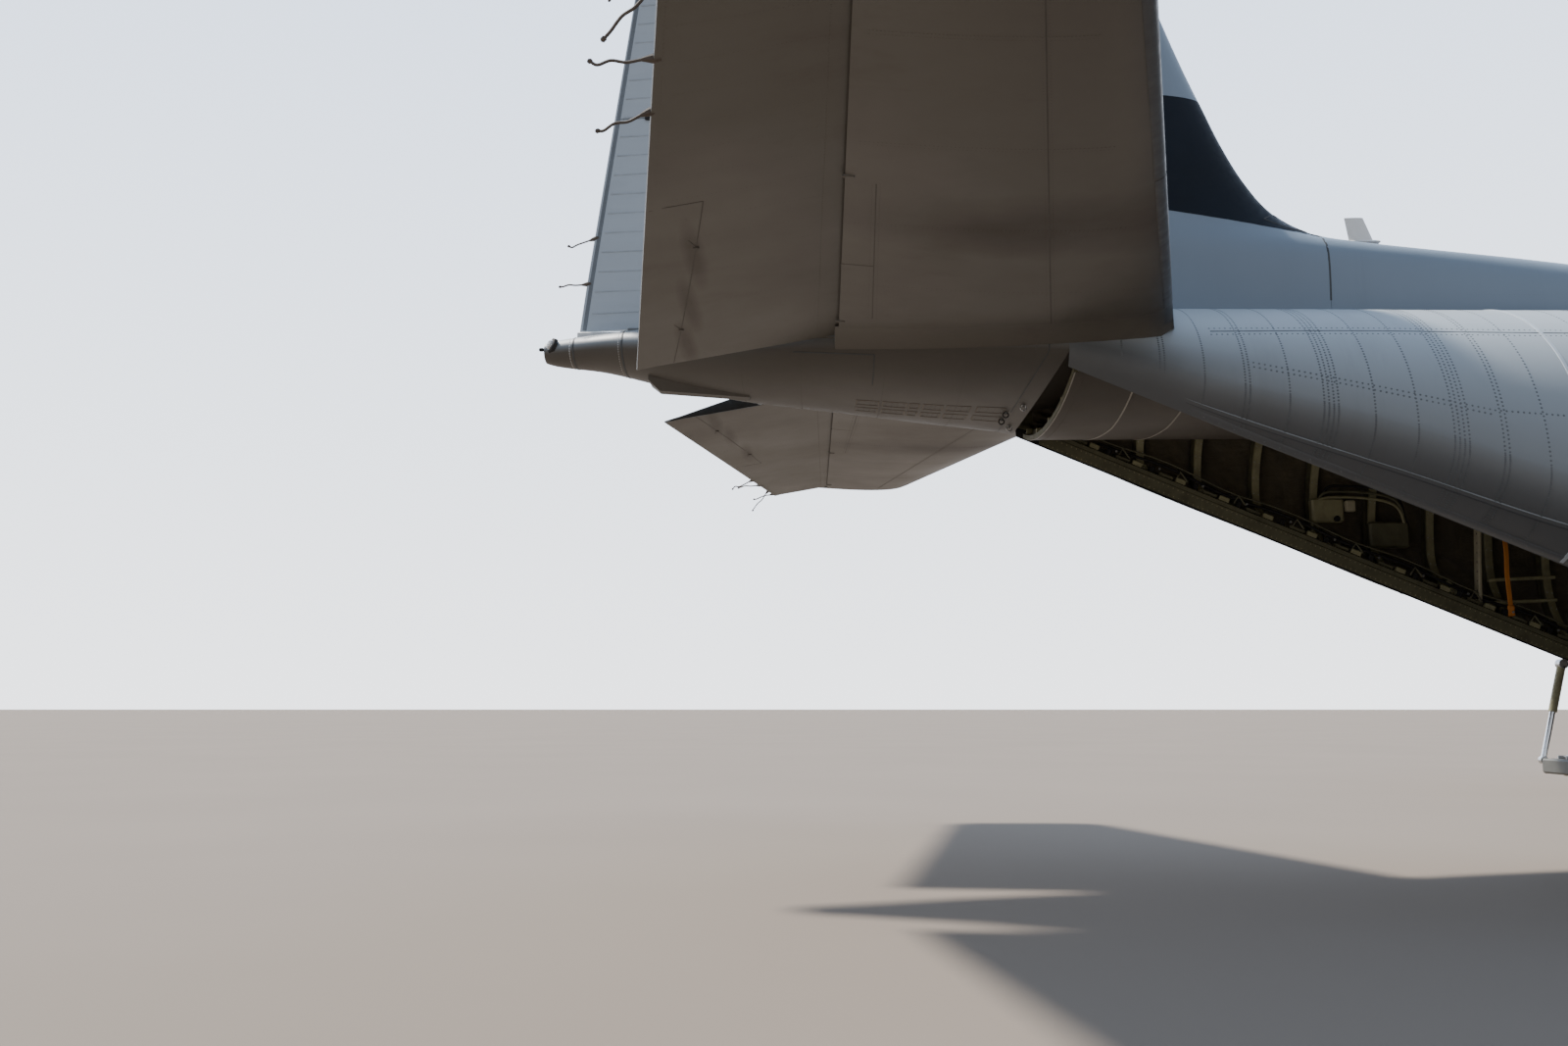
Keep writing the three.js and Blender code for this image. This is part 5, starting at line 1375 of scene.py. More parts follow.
def quilt_panel(piece, x0, x1, angle0, angle1, seed):
    """One insulation blanket between two frames: puffed between tufts, pulled in at its sewn edges."""
    rows, cols = 15, 33
    chance = random.Random(seed)
    lumps = [(chance.uniform(0, 6), chance.uniform(0.5, 1.6), chance.uniform(2, 5)) for _ in range(4)]
    outer, inner = [], []
    for r in range(rows):
        u = r / (rows - 1)
        x = mix(x0, x1, u)
        front, back = [], []
        for c in range(cols):
            v = c / (cols - 1)
            angle = mix(angle0, angle1, v)
            edge = min(u, 1 - u, v * 4, (1 - v) * 4)
            puff = min(1, edge * 9) ** 0.5
            tufts = 0.5 + 0.5 * abs(sin(pi * u * 2)) * abs(sin(pi * v * 5)) ** 0.5
            wrinkle = sum(sin(p + k * 6.3 * u + w * 6.3 * v) for p, k, w in lumps) * 0.0075
            depth = 0.008 + (0.05 * tufts + wrinkle) * puff
            front.append(hull_point(x, angle, -WALL - depth))
            back.append(hull_point(x, angle, -WALL - 0.003))
        outer.append(back)
        inner.append(front)
    piece.plate(outer, inner, "quilt", "quilt", "quilt")


def build_quilts():
    for side, name in SIDES:
        piece = Piece(f"wall_blankets_{name}")
        stops = [-9.95, *BAY_FRAMES, -1.5]
        for i in range(len(stops) - 1):
            x0, x1 = stops[i] + 0.05, stops[i + 1] - 0.05
            low = max(sill_angle(x0), sill_angle(x1)) + 0.13
            for k in range(2):
                a0, a1 = mix(low, pi / 2, k / 2) + 0.012, mix(low, pi / 2, (k + 1) / 2) - 0.012
                turn = (a0, a1) if side > 0 else (pi - a0, pi - a1)
                quilt_panel(piece, x0, x1, *turn, 17 * i + k + 101 * (side > 0))
        made = piece.make("airframe", "interior_paint", angle=60)


def build_bay_fittings():
    """Boxes, pipes, the drilled arm, strap, bars and strut that the photograph shows on the port wall."""
    piece = Piece("bay_fittings")
    piece.block((-6.75, 1.78, 3.62), (0.34, 0.12, 0.26), "olive_light", 0.02)
    piece.block((-6.52, 1.72, 3.66), (0.10, 0.07, 0.12), "tan", 0.01)
    starboard = (0, -1, 0)
    plug = [(0, 0.03), (0.03, 0.032), (0.045, 0.018), (0.06, 0.018)]
    piece.turned(plug, (-6.68, 1.69, 3.52), starboard, "dark", 14)
    for dx, z, finish in ((0.0, 3.7, "olive_light"), (0.05, 3.76, "olive"), (0.1, 3.82, "dark")):
        start = [(-6.9 + dx, 1.8, z - 0.3), (-6.88 + dx, 1.74, z)]
        end = [(-6.6, 1.72, z + 0.06), (-6.05, 1.74, z - 0.02), (-5.9, 1.78, z - 0.35)]
        piece.tube(smooth_path(start + end), 0.014, finish, 8)
    route = [(-6.66, 1.72, 3.35), (-6.6, 1.62, 3.1), (-6.66, 1.6, 2.98), (-6.5, 1.66, 2.95)]
    piece.tube(smooth_path(route), 0.012, "dark", 8)
    piece.block((-6.1, 1.8, 3.36), (0.42, 0.1, 0.28), "olive", 0.02)
    # The drilled arm hangs down, and dark eyelets show its row of holes
    arm_top, arm_end = Vector((-5.23, 1.62, 3.56)), Vector((-5.28, 1.62, 2.6))
    piece.bar(arm_top, arm_end, 0.035, 0.11, "tan", 0.008, (0, 1, 0))
    for share in spaced(0.12, 0.95, 9):
        centre = arm_top.lerp(arm_end, share) + Vector((0, -0.018, 0))
        eyelet = [(0, 0.022), (0.004, 0.02), (0.004, 0.012), (0.0015, 0.011)]
        piece.turned(eyelet, centre, starboard, "dark", 12)
    strap = smooth_path([(-5.01, 1.60, 3.55), (-4.99, 1.55, 3.2), (-4.99, 1.56, 2.9), (-4.98, 1.55, 2.57)])
    piece.ribbon(strap, Vector((0, -1, 0)), 0.05, 0.006, "orange")
    piece.block((-4.98, 1.55, 2.53), (0.07, 0.03, 0.12), "orange", 0.01)
    for z in (2.86, 2.62):
        piece.bar((-5.15, 1.66, z), (-4.45, 1.66, z + 0.03), 0.05, 0.035, "olive_light")
    piece.bar((-5.35, 1.62, 2.52), (-5.55, 1.72, 2.86), 0.04, 0.05, "olive_light")
    piece.make("airframe", "interior_paint")


def build_support_struts():
    struts = Piece("ramp_support_struts")
    for side in (1, -1):
        low, high = Vector((-4.76, side * 1.555, 1.0)), Vector((-4.5, side * 1.555, 1.98))
        struts.tube([low, low.lerp(high, 0.55)], 0.028, "chrome", 14)
        struts.turned([(-0.03, 0.04), (0.03, 0.04)], low, (0, 1, 0), "steel", 14)
        struts.tube([low.lerp(high, 0.5), high], 0.042, "olive_light", 14)
        struts.turned([(-0.045, 0.05), (0.045, 0.05)], high, (0, 1, 0), "steel", 14)
    struts.make("airframe", "interior_paint")


def smooth_path(points, count=8):
    """A smooth curve that passes through all the points."""
    points = [Vector(p) for p in points]
    ends = [points[0] * 2 - points[1], *points, points[-1] * 2 - points[-2]]
    result = []
    for i in range(1, len(ends) - 2):
        a, b, c, d = ends[i - 1:i + 3]
        for k in range(count):
            t = k / count
            square, cube = 2 * a - 5 * b + 4 * c - d, 3 * b - a - 3 * c + d
            result.append(0.5 * (2 * b + (c - a) * t + square * t**2 + cube * t**3))
    result.append(points[-1])
    return result


def build_cargo_door():
    """The raised upper door: outer skin below, stiffened inner face above."""
    aft, front = DOOR_AFT_X + 0.06, DOOR_AFT_X + 5.80
    half = 1.44
    piece = Piece("cargo_door_skin")

    def under(y, lift=0.0):
        return 4.165 + 0.195 * (abs(y) / half) ** 2.2 + lift

    ys = spaced(-half, half, 41)
    xs = spaced(aft, front, 47)
    lower = [[Vector((x, y, under(y))) for y in ys] for x in xs]
    upper = [[Vector((x, y, under(y, 0.05))) for y in ys] for x in xs]
    piece.plate(lower, upper, "door_skin_shade", "olive", "olive")
    for x in spaced(aft + 0.1, front - 0.1, 12):
        path = [Vector((x, y, under(y, 0.05))) for y in spaced(-half + 0.12, half - 0.12, 25)]
        piece.ribbon(path, UP, 0.06, 0.06, "olive", 0.0)
    for y in (-1.3, -0.7, 0, 0.7, 1.3):
        path = [Vector((x, y, under(y, 0.05))) for x in spaced(aft + 0.02, front - 0.02, 30)]
        piece.ribbon(path, UP, 0.05, 0.058, "olive_light", 0.0)
    for x in (aft + 0.62, aft + 1.14, aft + 2.3, aft + 3.44, aft + 4.6):
        path = [Vector((x - 0.06 * (abs(y) / half), y, under(y))) for y in spaced(-half, half, 41)]
        piece.ribbon(path, DOWN, 0.017, 0.003, "door_seam")
    path = [Vector((aft + 0.012, y, under(y))) for y in spaced(-half, half, 41)]
    piece.ribbon(path, DOWN, 0.014, 0.003, "door_seam")
    rivets = [(x, y, under(y)) for x in spaced(aft + 0.1, front - 0.1, 12) for y in spaced(-1.4, 1.4, 70)]
    piece.studs(rivets, DOWN, 0.008, 0.003, "door_skin_shade")
    for side in (1, -1):
        pin = [(aft + 0.05, side * y, 4.4) for y in (half - 0.06, 1.505)]
        piece.tube(pin, 0.03, "steel", 12)
        piece.bar((aft + 0.05, side * 1.38, 4.385), (aft + 0.5, side * 1.34, 4.38), 0.05, 0.05, "olive_light")
    piece.make("cargo_door", "hull_paint", ["cargo_door"])


# Distance along and radius of a floor roller's outline
ROLLER = [(-0.058, 0.013), (-0.054, 0.018), (0.054, 0.018), (0.058, 0.013)]


def add_rails(piece, rail_xs, roller_xs, rail_z, roller_z, roller_sides):
    """Four pairs of rails, with rollers between the rails of a pair."""
    for y in (-1.25, -0.42, 0.42, 1.25):
        for shift in (-0.075, 0.075):
            piece.ribbon([(x, y + shift, rail_z) for x in rail_xs], UP, 0.014, 0.035, "steel")
        for x in roller_xs:
            piece.turned(ROLLER, (x, y, roller_z), (0, 1, 0), "steel", roller_sides)


def add_tie_ring(piece, x, y, z, count):
    ring = [(x + 0.045 * cos(a), y + 0.045 * sin(a), z) for a in circle(count)]
    piece.tube(ring, 0.007, "steel", 6, closed=True)


def build_ramp():
    """The lowered ramp, with its treadway planks, rails, rollers and tie-down rings."""
    pivot_x, pivot_z, nose, half, tip = RAMP_HINGE_X - 0.16, 0.918, 0.1, 1.49, -4.81
    top = pivot_z + nose
    piece = Piece("cargo_ramp_skin")
    outline = [(pivot_x + nose * cos(a), pivot_z + nose * sin(a)) for a in spaced(pi / 2, -pi / 2, 11)]
    outline += [(tip + 0.02, top - 0.15), (tip, top - 0.13), (tip, top - 0.016), (tip + 0.015, top - 0.001)]
    rings = []
    for y, inset in ((-half, 0.008), (-half + 0.01, 0), (half - 0.01, 0), (half, 0.008)):
        rings.append([(x + (inset if x < -3 else -inset), y, z + (inset if z < pivot_z else -inset))
                      for x, z in outline])
    piece.loft(rings, "ramp")
    for y in spaced(-1.35, 1.35, 13):
        piece.ribbon([(x, y, top) for x in spaced(-1.72, tip + 0.06, 5)], UP, 0.16, 0.0035, "ramp")
    add_rails(piece, spaced(-1.75, tip + 0.08, 5), spaced(-1.85, tip + 0.16, 13), top, top + 0.018, 10)
    for x in spaced(-2.1, tip + 0.3, 5):
        for y in (-0.86, 0, 0.86):
            add_tie_ring(piece, x, y, top + 0.008, 16)
            piece.turned([(-0.002, 0.072), (0.002, 0.07), (0.002, 0.06)], (x, y, top + 0.002), UP, "dark", 20)
    for y in spaced(-1.35, 1.35, 7):
        piece.bar((-1.9, y, pivot_z - 0.07), (tip + 0.15, y, top - 0.16), 0.05, 0.02, "olive_light")
    reach = SILL_HALF_WIDTH - 0.002
    piece.tube([(pivot_x, -reach, pivot_z), (pivot_x, reach, pivot_z)], 0.03, "steel", 12)
    piece.make("cargo_ramp", "interior_paint", ["cargo_ramp"])


# Tail cone, wedge and root collars

# Columns: aft and front x of the small panels
TAIL_PANELS = [
    (-11.83, -11.62), (-11.58, -11.36), (-11.33, -11.24), (-11.2, -11.02), (-10.98, -10.76), (-10.7, -10.44),
]


def tail_front(angle):
    """Where the tail's skin starts at an angle: further aft low down."""
    return DOOR_AFT_X - 0.19 * max(0, 4.5 - hull_point(DOOR_AFT_X, angle).z) / 0.33


def build_tail():
    """The tail's skin and cone, the wedge under it and the strip on top."""
    angles = circle(96)
    outer, inner = [], []
    for t in spaced(0, 1, 40):
        outer.append([hull_point(mix(tail_front(a), -13.6, t), a) for a in angles])
        inner.append([hull_point(mix(tail_front(a), -13.6, t), a, -WALL) for a in angles])
    piece = Piece("tail_skin")
    piece.plate(outer, inner, "tail", "olive", "olive", wrap=True)
    cone_xs = [*spaced(-13.6, -14.3, 9), *spaced(-14.34, -14.82, 12)]
    piece.loft([[hull_point(x, a) for a in angles] for x in cone_xs], "tail")
    # Wedge under the tail, behind the bay
    sides = ((-12.85, 4.62), (-12.85, 4.47), (-13.71, 4.54), (-13.81, 4.63), (-13.81, 4.76))
    rings = []
    for share, inset in ((-1, 0.012), (-0.9, 0), (0.9, 0), (1, 0.012)):
        rings.append([(x, share * 0.08, z + inset) if z < 4.6 else (x, share * 0.17, z) for x, z in sides])
    piece.loft(rings, "tail")
    # Flat strip on top of the cone, under the rudder's foot, and the step ahead of it
    piece.block((-14.28, 0, 5.072), (0.46, 0.2, 0.085), "strip", 0.006)
    piece.block((-13.87, 0, 5.06), (0.3, 0.26, 0.18), "tail", 0.01)
    piece.make("airframe", "hull_paint", ["tail_section"])


def add_tail_panels(trim, side):
    """A row of small panels, ring pins and seams on one side above the opening."""
    turn = side * 0.05
    for x0, x1 in TAIL_PANELS:
        loop = [(x0, turn), (x1, turn), (x1, turn + side * 0.15), (x0, turn + side * 0.15), (x0, turn)]
        for (xa, ta), (xb, tb) in zip(loop, loop[1:]):
            places = [(mix(xa, xb, s), mix(ta, tb, s) - pi / 2) for s in spaced(0, 1, 6)]
            trim.ribbon(*skin_places(places), 0.011, 0.003, "panel_edge")
        lows = [turn + side * low - pi / 2 for low in (0.035, 0.115)]
        spots = [(mix(x0, x1, s), low) for s in spaced(0.12, 0.88, 4) for low in lows]
        trim.studs(*skin_places(spots), 0.007, 0.004, "tail")
    for x, low, finish in ((-10.3, 0.3, "steel"), (-10.42, 0.1, "dark")):
        foot, out = hull_point(x, side * low - pi / 2), hull_normal(x, side * low - pi / 2)
        ring = [foot + out * 0.03 + Vector((0.026 * cos(a), 0, 0.026 * sin(a))) for a in circle(12)]
        trim.tube(ring, 0.007, finish, 6, closed=True)
        trim.turned([(0, 0.014), (0.02, 0.012), (0.024, 0.006)], foot, out, "tail", 10)
    for start, end in (((-12.42, 4.69), (-11.70, 4.61)), ((-11.70, 4.61), (-11.70, 4.44))):
        trim.ribbon(*skin_line(start, end, side, 14), 0.013, 0.002, "seam")
        trim.studs(*skin_line(start, end, side, 18), 0.006, 0.0025, "tail")


def build_tail_fittings():
    """The tail's seams, rivets and light, and its small panels and pins."""
    trim = Piece("tail_fittings")
    for x, width in ((-14.03, 0.02), (-14.52, 0.018)):
        trim.ribbon(*hull_path(x, 0, 2 * pi, 49), width, 0.003, "seam")
        trim.studs(*skin_places([(x - 0.035, a) for a in circle(59)]), 0.007, 0.003, "steel")
    for x in (-12.9, -12.35, -11.6, -10.9, -10.35):
        for end in (0.3, -pi - 0.3):
            trim.studs(*hull_path(x, -pi / 2, end, 50), 0.007, 0.0028, "tail")
    # Clear tail light in an eight-sided bezel, and a short post beside it
    face, out = hull_point(-14.74, radians(154), -0.012), Vector((-0.8, -0.52, 0.3))
    trim.turned([(-0.02, 0.082), (0.012, 0.078), (0.018, 0.068), (0.018, 0.05)], face, out, "dark", 8)
    trim.turned([(0.0, 0.052), (0.028, 0.048), (0.045, 0.034), (0.052, 0.006)], face, out, "lens", 24)
    trim.turned([(0.0, 0.024), (0.03, 0.02), (0.038, 0.006)], face, out, "white", 12)
    trim.block((-14.868, -0.012, 4.965), (0.05, 0.03, 0.035), "dark", 0.008)
    for side in (1, -1):
        trim.studs([(x, side * 0.085, 5.1145) for x in spaced(-14.48, -14.08, 14)], UP, 0.006, 0.003, "steel")
        rows = [(x, side * 0.13, z) for x in (-13.98, -13.76) for z in (5.0, 5.06)]
        trim.studs(rows, Vector((0, side, 0)), 0.008, 0.003, "tail")
        # Seam behind the tail's front edge
        swing = [-pi / 2 + side * a for a in spaced(0.1, 2.0, 24)]
        trim.ribbon(*skin_places([(tail_front(a) - 0.16, a) for a in swing]), 0.012, 0.002, "seam")
    for side in (1, -1):
        add_tail_panels(trim, side)
    trim.make("airframe", "hull_paint")


def fillet_point(aft, end, up, t, side):
    """A point of a fillet, aft along the root's chord. t runs from the fuselage outward."""
    section = stab_section(0)
    reach = mix(0.14, 0.14 if up < 0 else 0.03, min(max(aft - 0.3, 0) / 1.2, 1))
    grow = reach * (1 - t) ** 2.2 - 0.002 * t
    p = section.on_skin(max(aft, 0), up, grow)
    if aft < 0.02:
        p.x += grow
    top, mid, bottom, half, power = hull_row(p.x)
    if p.z > mid:
        power = 2
    height = max(top - mid if p.z > mid else mid - bottom, 0.05)
    wall = half * (1 - min(abs(p.z - mid) / height, 0.98) ** power) ** (1 / power)
    spanwise = wall - 0.06 + 0.42 * t
    local = stab_section(spanwise)
    q = local.on_skin(min(max(aft - (section.leading_x - local.leading_x), 0), end), up, grow)
    return Vector((q.x, side * spanwise, q.z))


def build_stabiliser_fillets():
    """The curved joints between the fuselage and the stabiliser."""
    piece = Piece("stabiliser_fillets")
    end = to_hinge(stab_section(0)) - 0.02
    afts = nose_shares(0.0, end, FOIL_COUNT)
    for side in (1, -1):
        rings = []
        for t in spaced(0, 1, 9):
            upper = [fillet_point(aft, end, 1, t, side) for aft in reversed(afts)]
            rings.append(upper + [fillet_point(aft, end, -1, t, side) for aft in afts[1:]])
        piece.loft(rings, "stab", caps=(False, False))
    piece.make("airframe", "wing_paint", angle=50)


# Stabiliser and elevators

ELEVATOR_INNER_Y, ELEVATOR_OUTER_Y, ELEVATOR_DROOP = 1.12, 7.75, radians(16.5)


def tip_sections(section_at, y0, y1, sink, shrink, thin, count=8):
    """Sections that round off a tip between two span places."""
    result = []
    side = copysign(1, y1)
    for i in range(count):
        t = i / (count - 1)
        s = section_at(mix(y0, y1, t))
        curve = 1 - sqrt(max(1 - t * t, 0))
        s.leading_x -= sink * curve
        s.chord -= shrink * curve
        s.ratio *= mix(1, thin, curve)
        s.y = side * abs(s.y)
        result.append(s)
    return result


def stab_line(share, y0, y1, side, up, count=30):
    """Points and their normal on the fixed stabiliser, at a share of the way to the hinge."""
    points = []
    for y in spaced(y0, y1, count):
        s = stab_section(side * y)
        points.append(s.on_skin(to_hinge(s) * share, up))
    return points, Vector((0, 0, up))


def build_stabiliser():
    """The fixed stabiliser, hollow along the elevators' noses."""
    piece = Piece("stabiliser_skin")
    inner, outer = ELEVATOR_INNER_Y - RUN, ELEVATOR_OUTER_Y + RUN
    sections = [stab_section(y) for y in spaced(-inner, inner, 5)]
    piece.loft([skin_ring(s, 0.0, to_hinge(s) + 0.2) for s in sections], "stab")
    for side in (1, -1):
        sections = [stab_section(side * y) for y in spaced(inner, outer, 13)]
        piece.loft([cove_ring(s, to_hinge(s)) for s in sections], "stab")
        tips = tip_sections(stab_section, side * outer, side * STAB_HALF_SPAN, 0.5, 0.6, 0.3)
        piece.loft([skin_ring(s) for s in tips], "stab")
    piece.make("airframe", "wing_paint", ["stabiliser"])


def build_stabiliser_trim():
    """Seams, rivets, a dark strip of painted shade on the leading edge, hinge brackets and lamps of the
    stabiliser.
    """
    trim = Piece("stabiliser_trim")
    for side in (1, -1):
        for up in (1, -1):
            for share, reach in ((0.36, 7.6), (0.885, 4.6)):
                trim.ribbon(*stab_line(share, 1.75, reach, side, up), 0.009, 0.0012, "stab_seam")
                for shift in (-0.012, 0.012):
                    row = stab_line(share + shift, 1.75, reach, side, up, round(reach * 22))
                    trim.studs(*row, 0.006, 0.002, "stab")
            path = [stab_line(share, 3.05, 3.06, side, up, 2)[0][0] for share in spaced(0.885, 0.985, 5)]
            trim.ribbon(path, Vector((0, 0, up)), 0.010, 0.0012, "stab_seam")
            for y in (2.6, 3.9, 5.2, 6.5):
                s = stab_section(side * y)
                end = to_hinge(s) - 0.12
                for shift in (-0.018, 0.018):
                    row = [s.on_skin(a, up) + Vector((0, shift, 0)) for a in spaced(0.3, end, 60)]
                    trim.studs(row, Vector((0, 0, up)), 0.007, 0.0026, "stab")
        # Dark strip round the leading edge, painted shade
        for y0, y1 in ((1.95, 4.6), (4.64, 7.6)):
            add_edge_strip(trim, [stab_section(side * y) for y in spaced(y0, y1, 9)], 0.07, 0.003, "stab_nose_shade")
        # Hinge brackets under the gap
        for y in (1.6, 4.7, 7.5):
            s = stab_section(side * y)
            low = s.on_skin(to_hinge(s) - 0.06, -1)
            trim.block((low.x, low.y, low.z - 0.002), (0.08, 0.03, 0.016), "stab", 0.006)
        # A lamp near the tip
        tip = stab_section(side * 7.6)
        trim.block(tip.on_skin(0.5, 1) + Vector((0, 0, 0.01)), (0.14, 0.05, 0.03), "white", 0.01)
    trim.make("airframe", "wing_paint")


def elevator_chord(s):
    return to_hinge(s) + mix(1.78, 0.75, (abs(s.y) - 1.1) / 6.9)


def drooped(p):
    """Turns a point with the resting elevator about its hinge."""
    c, s = cos(ELEVATOR_DROOP), sin(ELEVATOR_DROOP)
    x, z = p.x - ELEVATOR_HINGE_X, p.z - STAB_Z
    return Vector((ELEVATOR_HINGE_X + x * c - z * s, p.y, STAB_Z + x * s + z * c))


def elevator_at(y, share, up):
    """A point on the elevator's skin. share runs from the hinge line to the trailing edge."""
    s = stab_section(y)
    return drooped(hinged_at(s, to_hinge(s), elevator_chord(s), share, up))


def wick(piece, root, direction, length, seed):
    """A static wick: a tapered base, a wavy thread and a small knob at its end."""
    chance = random.Random(seed)
    direction = unit(direction)
    root = Vector(root)
    base, end = root + direction * 0.055, root + direction * length
    piece.tube([root - direction * 0.04, root, base], [0.017, 0.024, 0.010], "wick", 8)
    bends = [Vector((0, chance.uniform(-0.04, 0.04), chance.uniform(-0.06, 0.06))) * length for _ in range(4)]
    path = [base, *(base.lerp(end, share) + bend for share, bend in zip((0.3, 0.6, 0.85, 1.0), bends))]
    curve = smooth_path(path, 5)
    piece.tube(curve, [0.008] * len(curve), "wick", 6)
    knob = [(-0.014, 0.005), (-0.007, 0.013), (0.007, 0.013), (0.014, 0.005)]
    piece.turned(knob, curve[-1], direction, "wick", 8)


# Columns: span place, sag, length
ELEVATOR_WICKS = [(5.97, 0.42, 0.30), (6.53, 0.10, 0.31), (7.2, 1.2, 0.36), (7.6, 0.3, 0.3)]


def build_elevators():
    """Both elevators at their resting droop, with tabs, rivets and wicks."""
    for side, name in SIDES:
        piece = Piece(f"elevator_skin_{name}")
        sections = [stab_section(side * y) for y in spaced(ELEVATOR_INNER_Y, ELEVATOR_OUTER_Y, 21)]
        rings = [[drooped(p) for p in hinged_ring(s, to_hinge(s), elevator_chord(s))] for s in sections]
        piece.loft(rings, "elevator")
        for up in (1, -1):
            facing = Vector((sin(ELEVATOR_DROOP) * -up * 0.3, 0, up))
            corners = [(1.14, 0.815), (4.65, 0.708), (4.65, 0.985)]
            for (y0, s0), (y1, s1) in zip(corners, corners[1:]):
                path = [elevator_at(side * mix(y0, y1, t), mix(s0, s1, t), up) for t in spaced(0, 1, 24)]
                piece.ribbon(path, facing, 0.011, 0.0014, "stab_seam")
            for share in (0.1, 0.955):
                row = [elevator_at(side * y, share, up) for y in spaced(1.18, 7.7, 160)]
                piece.studs(row, facing, 0.007, 0.0028, "elevator")
            for y in spaced(1.3, 7.5, 19):
                row = [elevator_at(side * y, share, up) for share in spaced(0.12, 0.94, 34)]
                piece.studs(row, facing, 0.0062, 0.0022, "elevator")
        # Tab hinges with their links, the disc of the inner end rib, and a dark sheet over that rib as
        # painted shade
        for y, share in ((2.06, 0.787), (3.86, 0.732)):
            spot = elevator_at(side * y, share, -1)
            piece.turned([(0, 0.022), (0.008, 0.020), (0.008, 0.012)], spot, DOWN, "stab_seam", 12)
            piece.bar(spot, spot + Vector((-0.04, side * 0.16, -0.002)), 0.012, 0.008, "stab_seam", 0.002)
        rib = drooped(Vector((ELEVATOR_HINGE_X - 0.75, side * (ELEVATOR_INNER_Y - 0.001), STAB_Z)))
        piece.turned([(-0.002, 0.055), (0.008, 0.052), (0.010, 0.035)], rib, (0, -side, 0), "pale", 20)
        # Dark sheet over the inner end rib: painted shade
        web = [Vector((p.x, side * (ELEVATOR_INNER_Y - 0.0015), p.z)) for p in rings[0]]
        middle = sum(web, Vector()) / len(web)
        piece.loft([[p + (middle - p) * 0.04 for p in web],
                    [p + (middle - p) * 0.10 + Vector((0, -side * 0.004, 0)) for p in web]], "dark")
        for k, (y, sag, length) in enumerate(ELEVATOR_WICKS):
            wick(piece, elevator_at(side * y, 1.0, 1), (-1, side * 0.05, -sag), length, 40 + k + 10 * side)
        piece.make("elevators", "control_surface_paint", [f"elevator_{name}"])


# Fin, dorsal fairing and rudder

TAIL_TOP_Z, DORSAL_JOINT_X = 11.84, -7.4
# Columns: z, x of the leading edge, greatest half thickness
FIN_ROWS = [
    (5.0, -0.4, 0.4), (5.22, -1.3, 0.39), (5.47, -3.1, 0.38), (5.72, -4.985, 0.37), (6.04, -7.395, 0.36),
    (6.24, -7.765, 0.35), (6.56, -8.035, 0.34), (6.96, -8.255, 0.33), (7.42, -8.455, 0.32),
    (11.3, -10.25, 0.2), (11.7, -10.75, 0.15), (TAIL_TOP_Z, -11.4, 0.05),
]
read_fin = monotone(FIN_ROWS)
RUDDER = (5.19, 11.25, -12.95, -12.75)  # z of its foot and top, x of the hinge line at foot and top
RUDDER_FOOT_DROP = 0.05
# Columns: x and z of a panel seam's start, x and z of its end
FIN_SEAMS = [
    (-9.6, 5.6, -10.9, 11.2), (-11.2, 5.4, -11.9, 11.2), (-8.9, 6.3, -12.4, 6.3), (-9.3, 7.6, -12.5, 7.6),
    (-9.9, 8.9, -12.5, 8.9), (-10.5, 10.2, -12.5, 10.2),
]


def fin_trailing_x(z):
    straight = -14.515 + 0.144 * (min(z, 11.3) - 5.08)
    if z <= 11.3:
        return straight
    return straight - 0.6 * (z - 11.3) * (TAIL_TOP_Z - z) * 1.6 + 0.55 * max(z - 11.5, 0) ** 1.2


class FinSection:
    def __init__(self, z):
        self.z = z
        self.leading_x, self.thick = read_fin(z)
        self.chord = self.leading_x - fin_trailing_x(z)

    def half(self, aft):
        share = aft / self.chord
        return foil_half(share) * 2 * self.thick + BLUNT * min(max(share, 0), 1)

    def at(self, aft, side):
        return Vector((self.leading_x - aft, side, self.z))

    def on_skin(self, aft, side, grow=0.0):
        return self.at(aft, side * (self.half(aft) + grow))

    def hinge(self):
        z0, z1, x0, x1 = RUDDER
        return self.leading_x - mix(x0, x1, (self.z - z0) / (z1 - z0))


def fin_at(x, z, side, grow=0.0):
    section = FinSection(z)
    return section.on_skin(section.leading_x - x, side, grow)


AERIAL_OUTLINE = [(0, 0), (0.15, 0.8), (0.4, 1), (0.75, 0.6), (1, 0), (0.75, -0.6), (0.4, -1), (0.15, -0.8)]


def add_aerial(piece, foot, tip, half, count=6, outline=AERIAL_OUTLINE):
    """A blade aerial. foot and tip give its front x, aft x and z."""
    rings = []
    for t in spaced(0, 1, count):
        x0, x1, z = (mix(a, b, t) for a, b in zip(foot, tip))
        rings.append([Vector((mix(x0, x1, u), v * half * (1 - 0.6 * t), z)) for u, v in outline])
    piece.loft(rings, "white")


def build_fin():
    """The dorsal fairing and the fixed fin."""
    def start(s):
        return max(s.leading_x - DORSAL_JOINT_X, 0.0)

    z1 = RUDDER[1]
    dorsal = Piece("dorsal_fin_skin")
    rings = []
    for z in [*spaced(5.0, 5.9, 14), 5.95, 6.0, 6.03]:
        s = FinSection(z)
        rings.append(skin_ring(s, 0.0, max(start(s) - 0.003, 0.01), flat_front=True))
    dorsal.loft(rings, "fin")
    dorsal.make("airframe", "hull_paint", ["dorsal_fin"])

    piece = Piece("fin_skin")
    heights = [5.0, 5.1, *spaced(5.2, 6.04, 10), *spaced(6.08, 7.5, 22), *spaced(7.7, z1 + RUN, 14)]
    middle = [FinSection(z) for z in heights]
    piece.loft([cove_ring(s, s.hinge(), start(s), flat_front=True) for s in middle], "fin")
    top = [FinSection(z) for z in [z1 + RUN, 11.4, 11.5, 11.6, 11.7, 11.76, 11.8, 11.83]]
    piece.loft([skin_ring(s, flat_front=True) for s in top], "fin")
    piece.make("airframe", "wing_paint", ["fin"])


